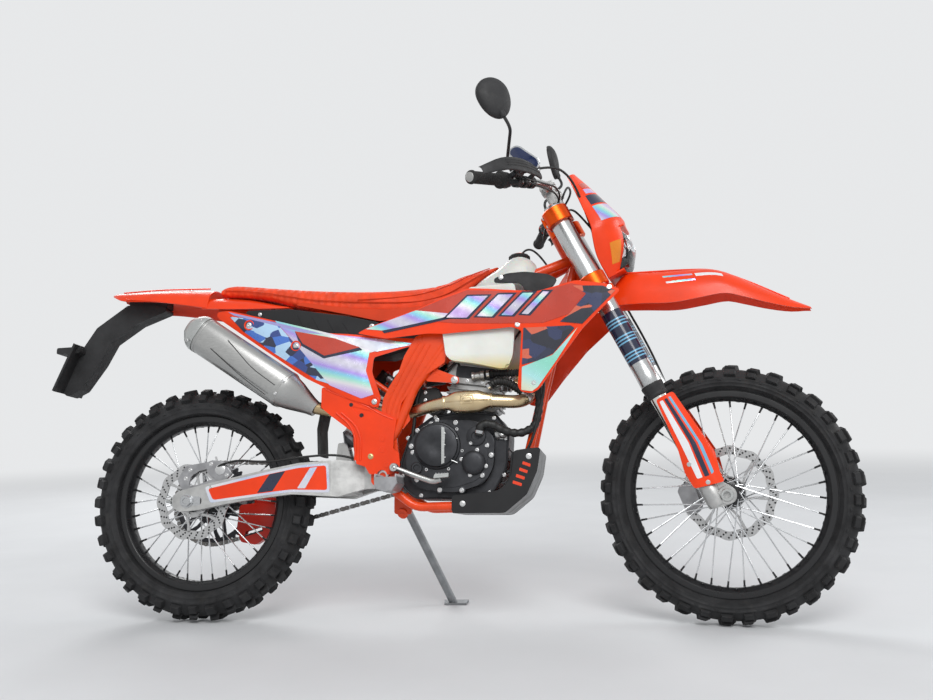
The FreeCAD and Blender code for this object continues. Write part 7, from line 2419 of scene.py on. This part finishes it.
class ENDURO_OT_finishes(bpy.types.Operator):
    """Make the finishes and put them on the solids"""

    bl_idname = "enduro.finishes"
    bl_label = "Finishes"

    def execute(self, context):
        finishes.update(all_finishes(colours()))
        for finish, solids in solid_finishes.items():
            for name in solids.split():
                materials = frame["nodes"][name].data.materials
                materials.clear()
                materials.append(finishes[finish])
        return {"FINISHED"}


class ENDURO_OT_stage(bpy.types.Operator):
    """Add the floor, the lamps, the sky and the camera"""

    bl_idname = "enduro.stage"
    bl_label = "Stage"

    def execute(self, context):
        stage = context.scene.enduro_stage
        self.floor(tuple(stage.floor_tone), tuple(stage.backdrop_tone))
        self.lamps(stage.lamp_power)
        self.sky(tuple(stage.backdrop_tone))
        self.camera(context.scene)
        context.scene.view_settings.view_transform = "Standard"
        return {"FINISHED"}

    def floor(self, tone, backdrop):
        """A level floor that fades into the backdrop a few metres away."""
        sheet = bmesh.new()
        bmesh.ops.create_circle(sheet, cap_ends=True, radius=60, segments=96)
        mesh = bpy.data.meshes.new("floor")
        sheet.to_mesh(mesh)
        sheet.free()
        floor = bpy.data.objects.new("floor", mesh)
        bpy.context.scene.collection.objects.link(floor)
        paint = Finish("Floor", tone, 0.0, 0.9, Specular_IOR_Level=0.2)
        paint.mottle(tone, 0.98, 1.02, 2.0)
        paint.grain(60.0, 0.05, 0.001)
        distance = paint.node("VectorMath", {0: paint.spot}, operation="LENGTH").outputs["Value"]
        far = paint.node("MapRange", {0: distance, 1: 2.2, 2: 9.0}, interpolation_type="SMOOTHSTEP").outputs[0]
        glow = paint.node("Emission", {0: (*backdrop, 1), 1: 1.0}).outputs[0]
        share = paint.node("Math", {0: far, 1: paint.seen_directly()}, operation="MULTIPLY").outputs[0]
        blend = paint.node("MixShader", {0: share, 1: paint.shader.outputs[0], 2: glow})
        paint.links.new(blend.outputs[0], paint.nodes["Material Output"].inputs[0])
        mesh.materials.append(paint.material)

    def lamps(self, power):
        """A large soft key high on the camera's side, a fill from behind and a low side fill."""
        for name, spot, size, watts in (
            ("key", (1.2, -4.6, 4.4), 3.6, 245.0),
            ("back", (-2.6, 3.8, 3.6), 3.0, 120.0),
            ("front", (4.6, 1.4, 2.2), 2.4, 60.0),
        ):
            lamp = bpy.data.lights.new(name, "AREA")
            lamp.shape = "DISK"
            lamp.size = size
            lamp.energy = watts * power
            holder = bpy.data.objects.new(name, lamp)
            holder.location = spot
            aim = Vector((0.0, 0.0, 0.6)) - Vector(spot)
            holder.rotation_euler = aim.to_track_quat("-Z", "Y").to_euler()
            bpy.context.scene.collection.objects.link(holder)

    def sky(self, backdrop):
        """Even light from all round, with the backdrop's colour where it is seen directly."""
        world = bpy.data.worlds.new("Sky")
        world.use_nodes = True
        bpy.context.scene.world = world
        sky = Nodes(world.node_tree)
        soft = sky.nodes["Background"]
        soft.inputs[0].default_value = (0.95, 0.97, 1.0, 1)
        soft.inputs[1].default_value = 0.48
        plain = sky.node("Background", {0: (*backdrop, 1), 1: 1.0})
        mix = sky.node("MixShader", {0: sky.seen_directly(), 1: soft.outputs[0], 2: plain.outputs[0]})
        sky.links.new(mix.outputs[0], sky.nodes["World Output"].inputs[0])

    def camera(self, scene):
        """The camera stands where the photograph was taken from, on the right side."""
        lens = bpy.data.cameras.new("view")
        lens.sensor_width = 36.0
        lens.lens = 37.07
        lens.clip_end = 200.0
        eye = bpy.data.objects.new("view", lens)
        rear_hub = places["rear_wheel"].translation
        aim = (Matrix.Rotation(math.radians(8.5), 4, "Z") @ Matrix.Rotation(math.radians(3.0), 4, "X")
               @ Matrix.Rotation(math.radians(1.4), 4, "Y") @ Matrix.Rotation(math.radians(90), 4, "X"))
        aim.translation = rear_hub + Vector((1.1860, -2.6813, 0.2794))
        eye.matrix_world = aim
        scene.collection.objects.link(eye)
        scene.camera = eye


class ENDURO_PT_panel(bpy.types.Panel):
    """The machine's sizes, colours and pieces"""

    bl_idname = "ENDURO_PT_panel"
    bl_label = "Enduro motorcycle"
    bl_space_type = "VIEW_3D"
    bl_region_type = "UI"
    bl_category = "Enduro"

    def draw(self, context):
        layout = self.layout
        scene = context.scene
        for title, group in (("Colours", scene.enduro_colours), ("Wheels", scene.enduro_wheels),
                             ("Stage", scene.enduro_stage)):
            box = layout.box()
            box.label(text=title)
            for key in group.__annotations__:
                box.prop(group, key)
        column = layout.column(align=True)
        for operator in piece_operators:
            column.operator(operator.bl_idname)


piece_operators = (
    ENDURO_OT_finishes,
    ENDURO_OT_wheels,
    ENDURO_OT_bodywork,
    ENDURO_OT_engine,
    ENDURO_OT_rear_end,
    ENDURO_OT_front_end,
    ENDURO_OT_fittings,
    ENDURO_OT_stage,
)
property_groups = {
    "enduro_colours": EnduroColours,
    "enduro_wheels": EnduroWheelSizes,
    "enduro_stage": EnduroStage,
}


def register():
    for group in property_groups.values():
        bpy.utils.register_class(group)
    for name, group in property_groups.items():
        setattr(bpy.types.Scene, name, bpy.props.PointerProperty(type=group))
    for operator in piece_operators:
        bpy.utils.register_class(operator)
    bpy.utils.register_class(ENDURO_PT_panel)


def unregister():
    bpy.utils.unregister_class(ENDURO_PT_panel)
    for operator in reversed(piece_operators):
        bpy.utils.unregister_class(operator)
    for name, group in reversed(property_groups.items()):
        delattr(bpy.types.Scene, name)
        bpy.utils.unregister_class(group)


def main():
    register()
    for operator in piece_operators:
        family, name = operator.bl_idname.split(".")
        if getattr(getattr(bpy.ops, family), name)() != {"FINISHED"}:
            raise RuntimeError(operator.bl_label + " could not be made")


if __name__ == "__main__":
    main()
